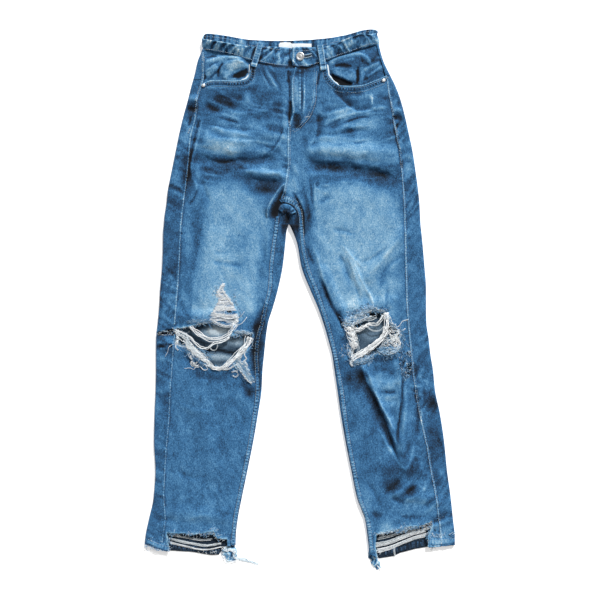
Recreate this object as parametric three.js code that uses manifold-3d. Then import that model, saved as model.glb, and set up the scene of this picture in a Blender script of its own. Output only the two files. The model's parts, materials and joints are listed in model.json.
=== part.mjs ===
// A pair of ripped straight-leg jeans, laid flat with the front side up.
// Millimetres, +Z up. The waist is at +Y, the hems at -Y, and the underside rests on Z = 0.
// "Right" and "left" are the wearer's: the right leg lies at -X.
import * as THREE from 'three';
import { mergeVertices } from 'three/addons/utils/BufferGeometryUtils.js';
import Module from 'manifold-3d';

const wasm = await Module();
wasm.setup();

// ---------------------------------------------------------------- sizes
const U = 1.9;            // one unit of the cutting tables below
const X0 = 299.5, Y0 = 299.5; // table position of the middle of the laid garment
const DENIM = 1.2;        // one layer of denim
const BAND = 2.2;         // doubled waistband
const BAG = 0.8;          // pocket-bag cotton
const GAP = 0.3;          // clearance between neighbouring pieces
const SPLIT = 3.6;        // level between the lower and the upper layer
const CB = 288;           // centre-back line
const LIFT = 1.5;         // seat held up by the patch pockets under it
const LOOP_W = 11, LOOP_T = 1.8;
const BUTTON_D = 17, SHANK_D = 6, RIVET_D = 7.6;
const LABEL_T = 0.8;
const BIG = 60;

// ---------------------------------------------------------------- cutting tables
// y runs down from the waist; out = laid outer edge, seam = outseam on the front side,
// inn = laid inner edge of the leg, ins = inseam on the front side, r = radius of the laid edge in mm
const RIGHT = [
  { y: 38, out: 203.5, seam: 203.5, inn: 298, ins: 298, r: 4.6 },
  { y: 50, out: 201, seam: 202.6, inn: 298, ins: 298, r: 4.6 },
  { y: 60, out: 197, seam: 202.6, inn: 298, ins: 298, r: 4.6 },
  { y: 72, out: 194.4, seam: 202.7, inn: 298, ins: 298, r: 4.6 },
  { y: 84, out: 191, seam: 200.8, inn: 298, ins: 298, r: 4.6 },
  { y: 98, out: 187.5, seam: 196.4, inn: 298, ins: 298, r: 4.5 },
  { y: 114, out: 183, seam: 195.2, inn: 298, ins: 298, r: 4.4 },
  { y: 132, out: 178.7, seam: 190.8, inn: 298, ins: 298, r: 4.4 },
  { y: 152, out: 174.6, seam: 188.2, inn: 298, ins: 298, r: 4.3 },
  { y: 172, out: 170.6, seam: 186.2, inn: 298, ins: 298, r: 4.2 },
  { y: 190, out: 167, seam: 184.3, inn: 298, ins: 298, r: 4.2 },
  { y: 204, out: 165.5, seam: 182.6, inn: 297, ins: 278.6, r: 4.1 },
  { y: 216, out: 163.6, seam: 181.1, inn: 293, ins: 277, r: 4 },
  { y: 224, out: 163, seam: 180.3, inn: 288.2, ins: 276, r: 3.9 },
  { y: 231, out: 162.2, seam: 179.9, inn: 286, ins: 274.8, r: 3.8 },
  { y: 243, out: 162, seam: 179.2, inn: 284.8, ins: 273.4, r: 3.7 },
  { y: 266, out: 161.2, seam: 178, inn: 282.2, ins: 270.6, r: 3.5 },
  { y: 289, out: 159.2, seam: 176.6, inn: 277.4, ins: 269.4, r: 3.3 },
  { y: 307, out: 158.2, seam: 175, inn: 272.4, ins: 264.8, r: 3.2 },
  { y: 323, out: 156.7, seam: 173.7, inn: 267.4, ins: 261.4, r: 3.1 },
  { y: 338, out: 155.2, seam: 172.8, inn: 265.2, ins: 257.4, r: 3.1 },
  { y: 354, out: 155, seam: 172.1, inn: 263.6, ins: 255.8, r: 3 },
  { y: 370, out: 155, seam: 170.8, inn: 262, ins: 256.4, r: 3 },
  { y: 390, out: 154.6, seam: 169.3, inn: 261, ins: 257, r: 3 },
  { y: 414, out: 153.6, seam: 168.5, inn: 257.4, ins: 254.2, r: 2.9 },
  { y: 442, out: 153, seam: 166, inn: 252.6, ins: 249.6, r: 2.9 },
  { y: 470, out: 154.4, seam: 164, inn: 247, ins: 244.2, r: 2.9 },
  { y: 498, out: 152.6, seam: 163, inn: 241.2, ins: 238.6, r: 2.9 },
  { y: 519, out: 148, seam: 164.2, inn: 237.2, ins: 234.6, r: 2.9 },
  { y: 536, out: 144.6, seam: 162, inn: 235.2, ins: 232.6, r: 2.9 },
  { y: 548, out: 143.6, seam: 161, inn: 235, ins: 232.4, r: 2.9 },
  { y: 560, out: 143.6, seam: 160, inn: 236, ins: 233.4, r: 2.9 },
];
const LEFT = [
  { y: 38, out: 377.4, seam: 377, inn: 278, ins: 278, r: 4.6 },
  { y: 50, out: 380, seam: 378.6, inn: 278, ins: 278, r: 4.6 },
  { y: 60, out: 383, seam: 380.6, inn: 278, ins: 278, r: 4.6 },
  { y: 72, out: 388.6, seam: 384, inn: 278, ins: 278, r: 4.6 },
  { y: 84, out: 394.6, seam: 387.4, inn: 278, ins: 278, r: 4.6 },
  { y: 98, out: 400, seam: 389.6, inn: 278, ins: 278, r: 4.5 },
  { y: 114, out: 404.4, seam: 392.6, inn: 278, ins: 278, r: 4.4 },
  { y: 132, out: 408.4, seam: 395.6, inn: 278, ins: 278, r: 4.4 },
  { y: 152, out: 412.6, seam: 399.6, inn: 278, ins: 278, r: 4.3 },
  { y: 172, out: 415.6, seam: 401.6, inn: 278, ins: 278, r: 4.2 },
  { y: 190, out: 418, seam: 403.2, inn: 278, ins: 278, r: 4.2 },
  { y: 204, out: 419.4, seam: 404, inn: 278.4, ins: 290, r: 4.1 },
  { y: 216, out: 420, seam: 404.4, inn: 283.4, ins: 299, r: 4 },
  { y: 224, out: 420.4, seam: 404.6, inn: 288.8, ins: 299.4, r: 3.9 },
  { y: 231, out: 421.2, seam: 404.8, inn: 292.2, ins: 299.6, r: 3.8 },
  { y: 243, out: 422.4, seam: 405, inn: 296.6, ins: 301.4, r: 3.7 },
  { y: 266, out: 424.4, seam: 405.8, inn: 300.8, ins: 306.4, r: 3.5 },
  { y: 289, out: 426, seam: 406.4, inn: 309.6, ins: 315.2, r: 3.3 },
  { y: 307, out: 426, seam: 407, inn: 317.4, ins: 321.6, r: 3.2 },
  { y: 323, out: 426.4, seam: 408.2, inn: 323, ins: 326.6, r: 3.1 },
  { y: 338, out: 428.6, seam: 409.6, inn: 327.4, ins: 330.8, r: 3.1 },
  { y: 354, out: 430.4, seam: 411.2, inn: 331.6, ins: 334.6, r: 3 },
  { y: 370, out: 433, seam: 413, inn: 334, ins: 337.6, r: 3 },
  { y: 390, out: 435, seam: 415.4, inn: 337, ins: 341.2, r: 3 },
  { y: 414, out: 440, seam: 419.8, inn: 340.4, ins: 344.2, r: 2.9 },
  { y: 442, out: 444.2, seam: 426.2, inn: 345.2, ins: 348.2, r: 2.9 },
  { y: 470, out: 447, seam: 430.8, inn: 350.8, ins: 353.6, r: 2.9 },
  { y: 498, out: 450.8, seam: 436, inn: 356.6, ins: 359.4, r: 2.9 },
  { y: 519, out: 453, seam: 439, inn: 364.6, ins: 367.2, r: 2.9 },
  { y: 536, out: 454.8, seam: 440.4, inn: 367, ins: 369.8, r: 2.9 },
  { y: 548, out: 455, seam: 441, inn: 368.4, ins: 371.2, r: 2.9 },
  { y: 560, out: 455, seam: 441, inn: 369, ins: 371.8, r: 2.9 },
];
// centre-front line from the waistband seam down to the crotch
const CENTRE_FRONT = [
  { x: 294.8, y: 67 }, { x: 292.5, y: 73 }, { x: 291, y: 80 }, { x: 291, y: 100 },
  { x: 292, y: 112 }, { x: 290, y: 119 }, { x: 288, y: 127 }, { x: 288, y: 163 },
  { x: 286, y: 179 }, { x: 284.2, y: 189 }, { x: 280.8, y: 199 },
];
// the left inseam just under the crotch runs out sideways before it turns down the leg
const LEFT_CROTCH = [{ x: 290.7, y: 204.5 }, { x: 298, y: 210.6 }];
// lower edge of the front waistband, and of the back waistband, from right to left
const FRONT_SEAM = [
  { x: 190, y: 49 }, { x: 203, y: 49.8 }, { x: 222, y: 53.2 }, { x: 240, y: 57.4 }, { x: 252, y: 61.6 },
  { x: 268, y: 64.6 }, { x: 292, y: 67.2 }, { x: 308, y: 67 }, { x: 320, y: 63 }, { x: 333, y: 58.2 },
  { x: 348, y: 53.6 }, { x: 364, y: 47.6 }, { x: 380, y: 44.8 }, { x: 392, y: 44.4 },
];
const BACK_SEAM = [
  { x: 190, y: 49.4 }, { x: 204, y: 50.4 }, { x: 226, y: 55 }, { x: 250, y: 58 }, { x: 288, y: 60 },
  { x: 325, y: 58.5 }, { x: 348, y: 54.6 }, { x: 366, y: 50 }, { x: 380, y: 45.4 }, { x: 392, y: 45 },
];
const YOKE_SEAM = [{ x: 150, y: 79 }, { x: 205, y: 80 }, { x: 288, y: 97 }, { x: 386, y: 76 }, { x: 430, y: 74 }];
// outer and inner hem ends, from right to left along each leg
const HEM_RIGHT = [
  { x: 130, y: 541 }, { x: 145, y: 541.4 }, { x: 156, y: 546 }, { x: 169, y: 549.6 }, { x: 192.5, y: 552.6 }, { x: 210, y: 555.8 },
  { x: 220.6, y: 555.2 }, { x: 221.4, y: 547.4 }, { x: 236, y: 545 }, { x: 250, y: 544 },
];
const HEM_LEFT = [
  { x: 352, y: 553 }, { x: 369, y: 554.4 }, { x: 379, y: 559 }, { x: 394, y: 556.6 }, { x: 399, y: 553.8 }, { x: 415, y: 549.4 },
  { x: 428, y: 547.4 }, { x: 456, y: 545 }, { x: 470, y: 545 },
];
// pocket mouths: the scoop between the outseam and the waistband seam
const MOUTH_RIGHT = [
  { x: 201.6, y: 84 }, { x: 205.6, y: 81.9 }, { x: 212, y: 80.2 }, { x: 233, y: 80.7 }, { x: 246, y: 78.8 },
  { x: 249.4, y: 75 }, { x: 249.6, y: 61 },
];
const MOUTH_LEFT = [
  { x: 386.4, y: 75.4 }, { x: 372.4, y: 81.2 }, { x: 363.8, y: 84.6 }, { x: 352, y: 85.8 }, { x: 338, y: 85.2 },
  { x: 332, y: 80.6 }, { x: 328, y: 75.4 }, { x: 325.8, y: 61 },
];
// torn knees
const KNEE_RIGHT = [
  { x: 173.8, y: 328.4 }, { x: 190, y: 326 }, { x: 201, y: 323 }, { x: 212, y: 322 }, { x: 232, y: 325 },
  { x: 229, y: 336 }, { x: 246, y: 332 }, { x: 252, y: 335 }, { x: 249, y: 345 }, { x: 244, y: 352 },
  { x: 236, y: 357 }, { x: 222, y: 367 }, { x: 211, y: 368 }, { x: 199, y: 357 }, { x: 190.7, y: 352 },
  { x: 186, y: 345 }, { x: 178, y: 345 }, { x: 174.4, y: 340 },
];
const KNEE_LEFT = [
  { x: 344, y: 320 }, { x: 360, y: 313 }, { x: 365.5, y: 309.5 }, { x: 377, y: 310.4 }, { x: 386, y: 311 },
  { x: 391.4, y: 327 }, { x: 398.6, y: 332 }, { x: 398.6, y: 345 }, { x: 391.4, y: 350.5 }, { x: 381.6, y: 350.5 },
  { x: 370, y: 356 }, { x: 360, y: 359.5 }, { x: 352, y: 358.6 }, { x: 350, y: 338 }, { x: 346, y: 329 },
];
// torn front hems: what is missing between the outer and the inner corner
const TORN_HEM_RIGHT = [
  { x: 166.5, y: 532 }, { x: 196, y: 534 }, { x: 213, y: 530.4 }, { x: 216, y: 538.6 }, { x: 226.4, y: 538.4 },
  { x: 226.4, y: 580 }, { x: 168.8, y: 580 }, { x: 168.6, y: 552 },
];
const TORN_HEM_LEFT = [
  { x: 376, y: 534 }, { x: 396, y: 530 }, { x: 405, y: 527 }, { x: 419, y: 526 }, { x: 432, y: 520.5 },
  { x: 430.6, y: 529 }, { x: 427.4, y: 536 }, { x: 428, y: 580 }, { x: 380, y: 580 }, { x: 375.4, y: 548 },
];
// largest folds of the upper layer: a soft ridge (h > 0) or trough (h < 0), w = half width, both ends in table units
const FOLDS = [
  { name: 'right hip puff', x1: 206, y1: 66, x2: 238, y2: 60, w: 11, h: 2.6 },
  { name: 'left hip puff', x1: 345, y1: 62, x2: 374, y2: 58, w: 11, h: 2.4 },
  { name: 'fly', x1: 301, y1: 72, x2: 300, y2: 124, w: 9, h: 1.6 },
  { name: 'right whisker', x1: 206, y1: 106, x2: 240, y2: 112, w: 8, h: -1.6 },
  { name: 'right lap roll', x1: 206, y1: 140, x2: 270, y2: 134, w: 10, h: 2.2 },
  { name: 'right lap trough', x1: 200, y1: 160, x2: 268, y2: 158, w: 8, h: -2.2 },
  { name: 'right crotch fold', x1: 283, y1: 178, x2: 268, y2: 208, w: 7, h: 3.2 },
  { name: 'left lap roll', x1: 308, y1: 148, x2: 390, y2: 152, w: 10, h: 2.2 },
  { name: 'left lap trough', x1: 312, y1: 166, x2: 394, y2: 174, w: 8, h: -2 },
  { name: 'left thigh fold', x1: 402, y1: 232, x2: 368, y2: 277, w: 9, h: 2.4 },
  { name: 'left inner fold', x1: 322, y1: 270, x2: 344, y2: 318, w: 8, h: 2.4 },
  { name: 'right thigh roll', x1: 214, y1: 236, x2: 206, y2: 296, w: 14, h: 1.6 },
  { name: 'right knee lip', x1: 180, y1: 318, x2: 232, y2: 314, w: 9, h: 2 },
  { name: 'right knee side fold', x1: 160, y1: 340, x2: 180, y2: 352, w: 8, h: 2.2 },
  { name: 'left knee lip', x1: 346, y1: 308, x2: 388, y2: 302, w: 9, h: 2 },
  { name: 'left shin ridge', x1: 364, y1: 372, x2: 396, y2: 440, w: 9, h: 2.8 },
  { name: 'left shin outer ridge', x1: 402, y1: 368, x2: 404, y2: 466, w: 9, h: 2.4 },
  { name: 'left ankle hollow', x1: 396, y1: 482, x2: 416, y2: 478, w: 9, h: -2 },
  { name: 'left ankle roll', x1: 398, y1: 494, x2: 438, y2: 500, w: 8, h: 2.4 },
  { name: 'right shin roll', x1: 196, y1: 400, x2: 214, y2: 470, w: 16, h: 1.6 },
  { name: 'right ankle roll', x1: 176, y1: 512, x2: 224, y2: 516, w: 10, h: 1.8 },
];
// waistband stations, from the tucked-under end round the back to the buttoned end:
// sx, sy, sz = lower edge, tx, ty, tz = top edge (x, y in table units, z in mm, outer face)
const STATIONS = [
  { sx: 313, sy: 65, sz: 7.2, tx: 314, ty: 48.4, tz: 7.4 },
  { sx: 295, sy: 66, sz: 7.4, tx: 295, ty: 48.4, tz: 7.8 },
  { sx: 284, sy: 66.6, sz: 9.4, tx: 283, ty: 47.4, tz: 10 },
  { sx: 268, sy: 64.4, sz: 10.4, tx: 267, ty: 47.2, tz: 12 },
  { sx: 252, sy: 61.4, sz: 11, tx: 252, ty: 47.8, tz: 15.6 },
  { sx: 238, sy: 56.8, sz: 11.4, tx: 237, ty: 46.4, tz: 19 },
  { sx: 222, sy: 53, sz: 11, tx: 221, ty: 43.8, tz: 20.4 },
  { sx: 208, sy: 50.2, sz: 9.6, tx: 208.6, ty: 41.4, tz: 16.6 },
  { sx: 202, sy: 49.4, sz: 5.6, tx: 201.6, ty: 38.4, tz: 9.4 },
  { sx: 205, sy: 50, sz: 1.9, tx: 206, ty: 33, tz: 2.8 },
  { sx: 226, sy: 54.8, sz: 1.5, tx: 226, ty: 35, tz: 1.5 },
  { sx: 250, sy: 57.8, sz: 1.5, tx: 250, ty: 39, tz: 1.5 },
  { sx: 288, sy: 59.8, sz: 1.5, tx: 288, ty: 40, tz: 1.5 },
  { sx: 325, sy: 58.3, sz: 1.5, tx: 325, ty: 37.6, tz: 1.5 },
  { sx: 346, sy: 54.8, sz: 1.5, tx: 346, ty: 34, tz: 1.5 },
  { sx: 362, sy: 51, sz: 1.5, tx: 362, ty: 29.6, tz: 1.5 },
  { sx: 374.6, sy: 47, sz: 1.9, tx: 373.6, ty: 28.8, tz: 2.8 },
  { sx: 378.6, sy: 44.6, sz: 5.6, tx: 377.6, ty: 32, tz: 9.4 },
  { sx: 373.4, sy: 45, sz: 9.6, tx: 371.4, ty: 35.4, tz: 16 },
  { sx: 360, sy: 49, sz: 11, tx: 359.4, ty: 36, tz: 19.6 },
  { sx: 346, sy: 54, sz: 11.4, tx: 345.6, ty: 40.6, tz: 19 },
  { sx: 332, sy: 58.4, sz: 11.2, tx: 333, ty: 45.2, tz: 15.6 },
  { sx: 319, sy: 63.2, sz: 10.8, tx: 322, ty: 47.8, tz: 12.4 },
  { sx: 306, sy: 66.8, sz: 10.8, tx: 306, ty: 47.4, tz: 11 },
  { sx: 292, sy: 67, sz: 10.8, tx: 292, ty: 47.2, tz: 10.8 },
];

// ---------------------------------------------------------------- small helpers
const toX = (x) => (x - X0) * U;
const toY = (y) => (Y0 - y) * U;
const lerp = (a, b, t) => a + (b - a) * t;
const smooth = (a, b, v) => { const t = Math.min(1, Math.max(0, (v - a) / (b - a))); return t * t * (3 - 2 * t); };
function look(table, key, at, col) { // straight interpolation in a table sorted by key
  if (at <= table[0][key]) return table[0][col];
  for (let i = 1; i < table.length; i++) {
    if (at <= table[i][key]) return lerp(table[i - 1][col], table[i][col], (at - table[i - 1][key]) / (table[i][key] - table[i - 1][key]));
  }
  return table[table.length - 1][col];
}

function solidOf(geometry) {
  const g = geometry.clone();
  g.deleteAttribute('normal');
  g.deleteAttribute('uv');
  const m = mergeVertices(g, 1e-4);
  return new wasm.Manifold(new wasm.Mesh({
    numProp: 3,
    vertProperties: new Float32Array(m.attributes.position.array),
    triVerts: new Uint32Array(m.index.array),
  }));
}
function solidFrom(vertices, triangles) {
  let volume = 0;
  const p = (i) => [vertices[3 * i], vertices[3 * i + 1], vertices[3 * i + 2]];
  for (let t = 0; t < triangles.length; t += 3) {
    const a = p(triangles[t]), b = p(triangles[t + 1]), c = p(triangles[t + 2]);
    volume += a[0] * (b[1] * c[2] - b[2] * c[1]) - a[1] * (b[0] * c[2] - b[2] * c[0]) + a[2] * (b[0] * c[1] - b[1] * c[0]);
  }
  if (volume < 0) for (let t = 0; t < triangles.length; t += 3) [triangles[t + 1], triangles[t + 2]] = [triangles[t + 2], triangles[t + 1]];
  const g = new THREE.BufferGeometry();
  g.setAttribute('position', new THREE.Float32BufferAttribute(vertices, 3));
  g.setIndex(triangles);
  return solidOf(g);
}
// an upright prism over an outline given in table units
function prism(outline, z0 = -BIG, z1 = BIG) {
  const shape = new THREE.Shape(outline.map((p) => new THREE.Vector2(toX(p.x), toY(p.y))));
  const g = new THREE.ExtrudeGeometry(shape, { depth: z1 - z0, bevelEnabled: false });
  g.translate(0, 0, z0);
  return solidOf(g);
}
// the same outline with each corner moved out by d millimetres
function grow(outline, d) {
  const n = outline.length, out = [];
  let area = 0;
  for (let i = 0; i < n; i++) { const a = outline[i], b = outline[(i + 1) % n]; area += a.x * b.y - b.x * a.y; }
  const s = area > 0 ? 1 : -1;
  for (let i = 0; i < n; i++) {
    const a = outline[(i + n - 1) % n], b = outline[i], c = outline[(i + 1) % n];
    const u = Math.hypot(b.x - a.x, b.y - a.y), v = Math.hypot(c.x - b.x, c.y - b.y);
    const n1 = [(b.y - a.y) / u * s, -(b.x - a.x) / u * s], n2 = [(c.y - b.y) / v * s, -(c.x - b.x) / v * s];
    const k = 1 + n1[0] * n2[0] + n1[1] * n2[1];
    const f = (d / U) / Math.max(k, 0.35);
    out.push({ x: b.x + (n1[0] + n2[0]) * f, y: b.y + (n1[1] + n2[1]) * f });
  }
  return out;
}
// a closed wall from a grid of outer points and the inner points behind them; loop joins the last column to the first
function wall(outer, inner, loop = false) {
  const rows = outer.length, cols = outer[0].length, v = [], t = [];
  for (const grid of [outer, inner]) for (const row of grid) for (const p of row) v.push(...p);
  const o = (i, j) => i * cols + (j % cols), n = (i, j) => rows * cols + o(i, j);
  const quad = (a, b, c, d) => t.push(a, b, c, a, c, d);
  const last = loop ? cols : cols - 1;
  for (let i = 0; i < rows - 1; i++) for (let j = 0; j < last; j++) {
    quad(o(i, j), o(i, j + 1), o(i + 1, j + 1), o(i + 1, j));
    quad(n(i, j), n(i + 1, j), n(i + 1, j + 1), n(i, j + 1));
  }
  for (let j = 0; j < last; j++) {
    quad(o(0, j), n(0, j), n(0, j + 1), o(0, j + 1));
    quad(o(rows - 1, j), o(rows - 1, j + 1), n(rows - 1, j + 1), n(rows - 1, j));
  }
  if (!loop) for (let i = 0; i < rows - 1; i++) {
    quad(o(i, 0), o(i + 1, 0), n(i + 1, 0), n(i, 0));
    quad(o(i, cols - 1), n(i, cols - 1), n(i + 1, cols - 1), o(i + 1, cols - 1));
  }
  return solidFrom(v, t);
}

// ---------------------------------------------------------------- the laid form
// height of the outer face of the upper layer, in mm, at a table position
function topHeight(x, y) {
  const outR = look(RIGHT, 'y', y, 'out'), outL = look(LEFT, 'y', y, 'out');
  const side = x < CB ? RIGHT : LEFT;
  const out = look(side, 'y', y, 'out'), inn = look(side, 'y', y, 'inn'), r = look(side, 'y', y, 'r');
  const hip = 1 - smooth(196, 236, y);
  const sh = Math.min(1, Math.max(0, (x - outR) / (outL - outR)));
  const sl = Math.min(1, Math.max(0, (x - inn) / (out - inn)));
  const crownHip = 2.4 * (1 - Math.abs(2 * sh - 1) ** 3);
  const crownLeg = 1.5 * (1 - Math.abs(2 * sl - 1) ** 4);
  const edge = Math.min(Math.abs(x - out), lerp(Math.abs(x - inn), 30, hip));
  const mask = smooth(3, 14, edge);
  let z = 2 * r + lerp(crownLeg, crownHip, hip);
  for (const f of FOLDS) {
    const dx = f.x2 - f.x1, dy = f.y2 - f.y1;
    const t = Math.min(1, Math.max(0, ((x - f.x1) * dx + (y - f.y1) * dy) / (dx * dx + dy * dy)));
    const d = Math.hypot(x - f.x1 - dx * t, y - f.y1 - dy * t) / f.w;
    if (d < 1) z += mask * f.h * (1 - d * d) ** 2;
  }
  return z;
}
// one laid leg with its half of the seat: a flattened tube of one layer of denim
const TOP_STEPS = 7, EDGE_STEPS = 3;
const UNDER = [0, 0.13, 0.84, 1]; // columns across the lower layer
function laidHalf(table) {
  const outer = [], inner = [];
  for (const row of table) {
    const dir = Math.sign(row.out - row.inn), r = row.r;
    const xo = row.out - dir * r / U, xi = row.inn + dir * r / U;
    const o = [], n = [];
    for (let j = 0; j <= TOP_STEPS; j++) {
      const x = lerp(xi, xo, j / TOP_STEPS);
      const z = j === 0 || j === TOP_STEPS ? 2 * r : topHeight(x, row.y);
      o.push([toX(x), toY(row.y), z]);
      n.push([toX(x), toY(row.y), z - DENIM]);
    }
    const arc = (cx, a0, a1, steps) => {
      for (let k = 1; k < steps; k++) {
        const a = lerp(a0, a1, k / steps);
        o.push([toX(cx) + Math.cos(a) * r, toY(row.y), r + Math.sin(a) * r]);
        n.push([toX(cx) + Math.cos(a) * (r - DENIM), toY(row.y), r + Math.sin(a) * (r - DENIM)]);
      }
    };
    const half = Math.PI / 2;
    if (dir > 0) arc(xo, half, -half, EDGE_STEPS); else arc(xo, half, 3 * half, EDGE_STEPS);
    for (let j = 0; j < UNDER.length; j++) {
      const x = lerp(xo, xi, UNDER[j]);
      const lifted = j > 0 && row.y > 94 && row.y < 195 ? LIFT : 0;
      o.push([toX(x), toY(row.y), lifted]);
      n.push([toX(x), toY(row.y), lifted + DENIM]);
    }
    if (dir > 0) arc(xi, -half, -3 * half, EDGE_STEPS); else arc(xi, -half, half, EDGE_STEPS);
    outer.push(o); inner.push(n);
  }
  return wall(outer, inner, true);
}
// a layer under (d > 0) the upper layer's outer face, on the same rows and columns, so both stay parallel
function layer(table, d, thick) {
  const top = [], low = [];
  for (const row of table) {
    const dir = Math.sign(row.out - row.inn), a = [], b = [];
    const xo = row.out - dir * row.r / U, xi = row.inn + dir * row.r / U;
    for (let j = 0; j <= TOP_STEPS; j++) {
      const x = lerp(xi, xo, j / TOP_STEPS);
      const z = (j === 0 || j === TOP_STEPS ? 2 * row.r : topHeight(x, row.y)) - d;
      a.push([toX(x), toY(row.y), z]);
      b.push([toX(x), toY(row.y), z - thick]);
    }
    top.push(a); low.push(b);
  }
  return wall(top, low);
}
const seatRows = (table) => table.filter((row) => row.y < 200);
// a strip of cloth along a path of { x, y, z } stations (z = upper face), w wide, t thick
function strip(path, w, t) {
  const top = [], low = [];
  path.forEach((p, i) => {
    const a = path[Math.max(0, i - 1)], b = path[Math.min(path.length - 1, i + 1)];
    const dx = toX(b.x) - toX(a.x), dy = toY(b.y) - toY(a.y), l = Math.hypot(dx, dy);
    const nx = -dy / l * w / 2, ny = dx / l * w / 2;
    top.push([[toX(p.x) - nx, toY(p.y) - ny, p.z], [toX(p.x) + nx, toY(p.y) + ny, p.z]]);
    low.push([[toX(p.x) - nx, toY(p.y) - ny, p.z - t], [toX(p.x) + nx, toY(p.y) + ny, p.z - t]]);
  });
  return wall(top, low);
}

// ---------------------------------------------------------------- outlines of the pieces
const below = (seam, from, to) => seam.filter((p) => p.x > from && p.x < to);
function seamAt(seam, x) { return { x, y: look(seam, 'x', x, 'y') }; }
function frontOutline(table, sign) {
  const legRows = table.filter((r) => r.y > 56);
  const outEdge = legRows.map((r) => ({ x: r.seam, y: r.y }));
  const inEdge = table.filter((r) => r.y > 212).map((r) => ({ x: r.ins, y: r.y }));
  const start = seamAt(FRONT_SEAM, table[1].seam);
  const midX = CENTRE_FRONT[0].x;
  const top = sign < 0 ? below(FRONT_SEAM, start.x + 1, midX - 1) : below(FRONT_SEAM, midX + 1, start.x - 1).reverse();
  const crotch = sign < 0 ? [] : LEFT_CROTCH;
  return [start, ...top, ...CENTRE_FRONT, ...crotch, ...inEdge, ...outEdge.reverse()];
}
const frontR = frontOutline(RIGHT, -1), frontL = frontOutline(LEFT, 1);
const sky = [{ x: 450, y: -20 }, { x: 100, y: -20 }];       // closes an outline above the waist
const ground = [{ x: 500, y: 640 }, { x: 100, y: 640 }];   // closes an outline below the hems
const mouthCut = (mouth, corner) => [...mouth, ...corner];
const scoopR = mouthCut(MOUTH_RIGHT, [{ x: 249.6, y: 30 }, { x: 180, y: 30 }, { x: 180, y: 84 }]);
const scoopL = mouthCut(MOUTH_LEFT, [{ x: 325.8, y: 30 }, { x: 410, y: 30 }, { x: 410, y: 75.4 }]);
const crotchLine = [{ x: 281, y: 199.4 }, { x: 288, y: 224 }, { x: 288, y: 640 }];

const halfR = laidHalf(RIGHT), halfL = laidHalf(LEFT);
const cutAll = (solid, ...tools) => tools.reduce((s, t) => s.subtract(t), solid);

// fronts
const HALF_GAP = GAP / 2;
const bandZone = prism([...FRONT_SEAM, { x: 500, y: 44 }, { x: 500, y: -20 }, { x: 100, y: -20 }, { x: 100, y: 49 }]);
const frontRight = cutAll(
  halfR.intersect(prism(grow(frontR, -HALF_GAP), SPLIT, BIG)),
  prism(scoopR), prism(KNEE_RIGHT), prism(TORN_HEM_RIGHT), prism([...HEM_RIGHT, ...ground.map((p) => ({ ...p }))]),
);
const frontLeft = cutAll(
  halfL.intersect(prism(grow(frontL, -HALF_GAP), SPLIT, BIG)),
  prism(scoopL), prism(KNEE_LEFT), prism(TORN_HEM_LEFT), prism([...HEM_LEFT, ...ground]),
);

// backs and yokes: everything of the laid tube that the fronts leave
const keepTopR = [{ x: 100, y: -20 }, { x: 240, y: -20 }, { x: 240, y: 196 }, ...crotchLine, { x: 100, y: 640 }];
const keepTopL = [{ x: 500, y: -20 }, { x: 340, y: -20 }, { x: 340, y: 196 }, { x: 296, y: 198 }, ...crotchLine, { x: 500, y: 640 }];
const keepLowR = [{ x: 100, y: -20 }, { x: CB, y: -20 }, { x: CB, y: 640 }, { x: 100, y: 640 }];
const keepLowL = [{ x: 500, y: -20 }, { x: CB, y: -20 }, { x: CB, y: 640 }, { x: 500, y: 640 }];
const backHalf = (half, keepTop, keepLow, front, hem) => {
  const keep = prism(grow(keepTop, -HALF_GAP), SPLIT - 0.5, BIG).add(prism(grow(keepLow, -HALF_GAP), -BIG, SPLIT));
  return cutAll(half.intersect(keep), prism(grow(front, HALF_GAP), SPLIT, BIG), prism([...hem, ...ground]));
};
const backR = backHalf(halfR, keepTopR, keepLowR, frontR, HEM_RIGHT);
const backL = backHalf(halfL, keepTopL, keepLowL, frontL, HEM_LEFT);
const seatZone = [...YOKE_SEAM, { x: 500, y: 74 }, { x: 500, y: 640 }, { x: 100, y: 640 }, { x: 100, y: 79 }];
const bandLow = [...BACK_SEAM, { x: 500, y: 45 }, { x: 500, y: -20 }, { x: 100, y: -20 }, { x: 100, y: 49.4 }];
const yokeOf = (back) => cutAll(back, prism(grow(seatZone, HALF_GAP)), prism(grow(bandLow, GAP)));
const seatOf = (back) => back.intersect(prism(grow(seatZone, -HALF_GAP)));

// front pocket facings: they show in the mouths and run on under the fronts
const FACING_DROP = 2.6, BAG_TOP = 1.5, BAG_LOW = 4.9;
const facingOutlineR = [
  { x: 204.4, y: 51.6 }, { x: 222, y: 55 }, { x: 240, y: 59.2 }, { x: 250, y: 62.8 }, { x: 254, y: 74 },
  { x: 252, y: 90 }, { x: 238, y: 97 }, { x: 204.4, y: 99 },
];
const facingOutlineL = [
  { x: 378, y: 47.4 }, { x: 364, y: 50 }, { x: 348, y: 56 }, { x: 333, y: 60.4 }, { x: 322, y: 64.4 }, { x: 321, y: 78 },
  { x: 325, y: 92 }, { x: 338, y: 99 }, { x: 385, y: 98 }, { x: 384, y: 84 }, { x: 381, y: 70 },
];
const facingR = layer(seatRows(RIGHT), FACING_DROP, DENIM).intersect(prism(facingOutlineR));
const facingL = layer(seatRows(LEFT), FACING_DROP, DENIM).intersect(prism(facingOutlineL));

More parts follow.
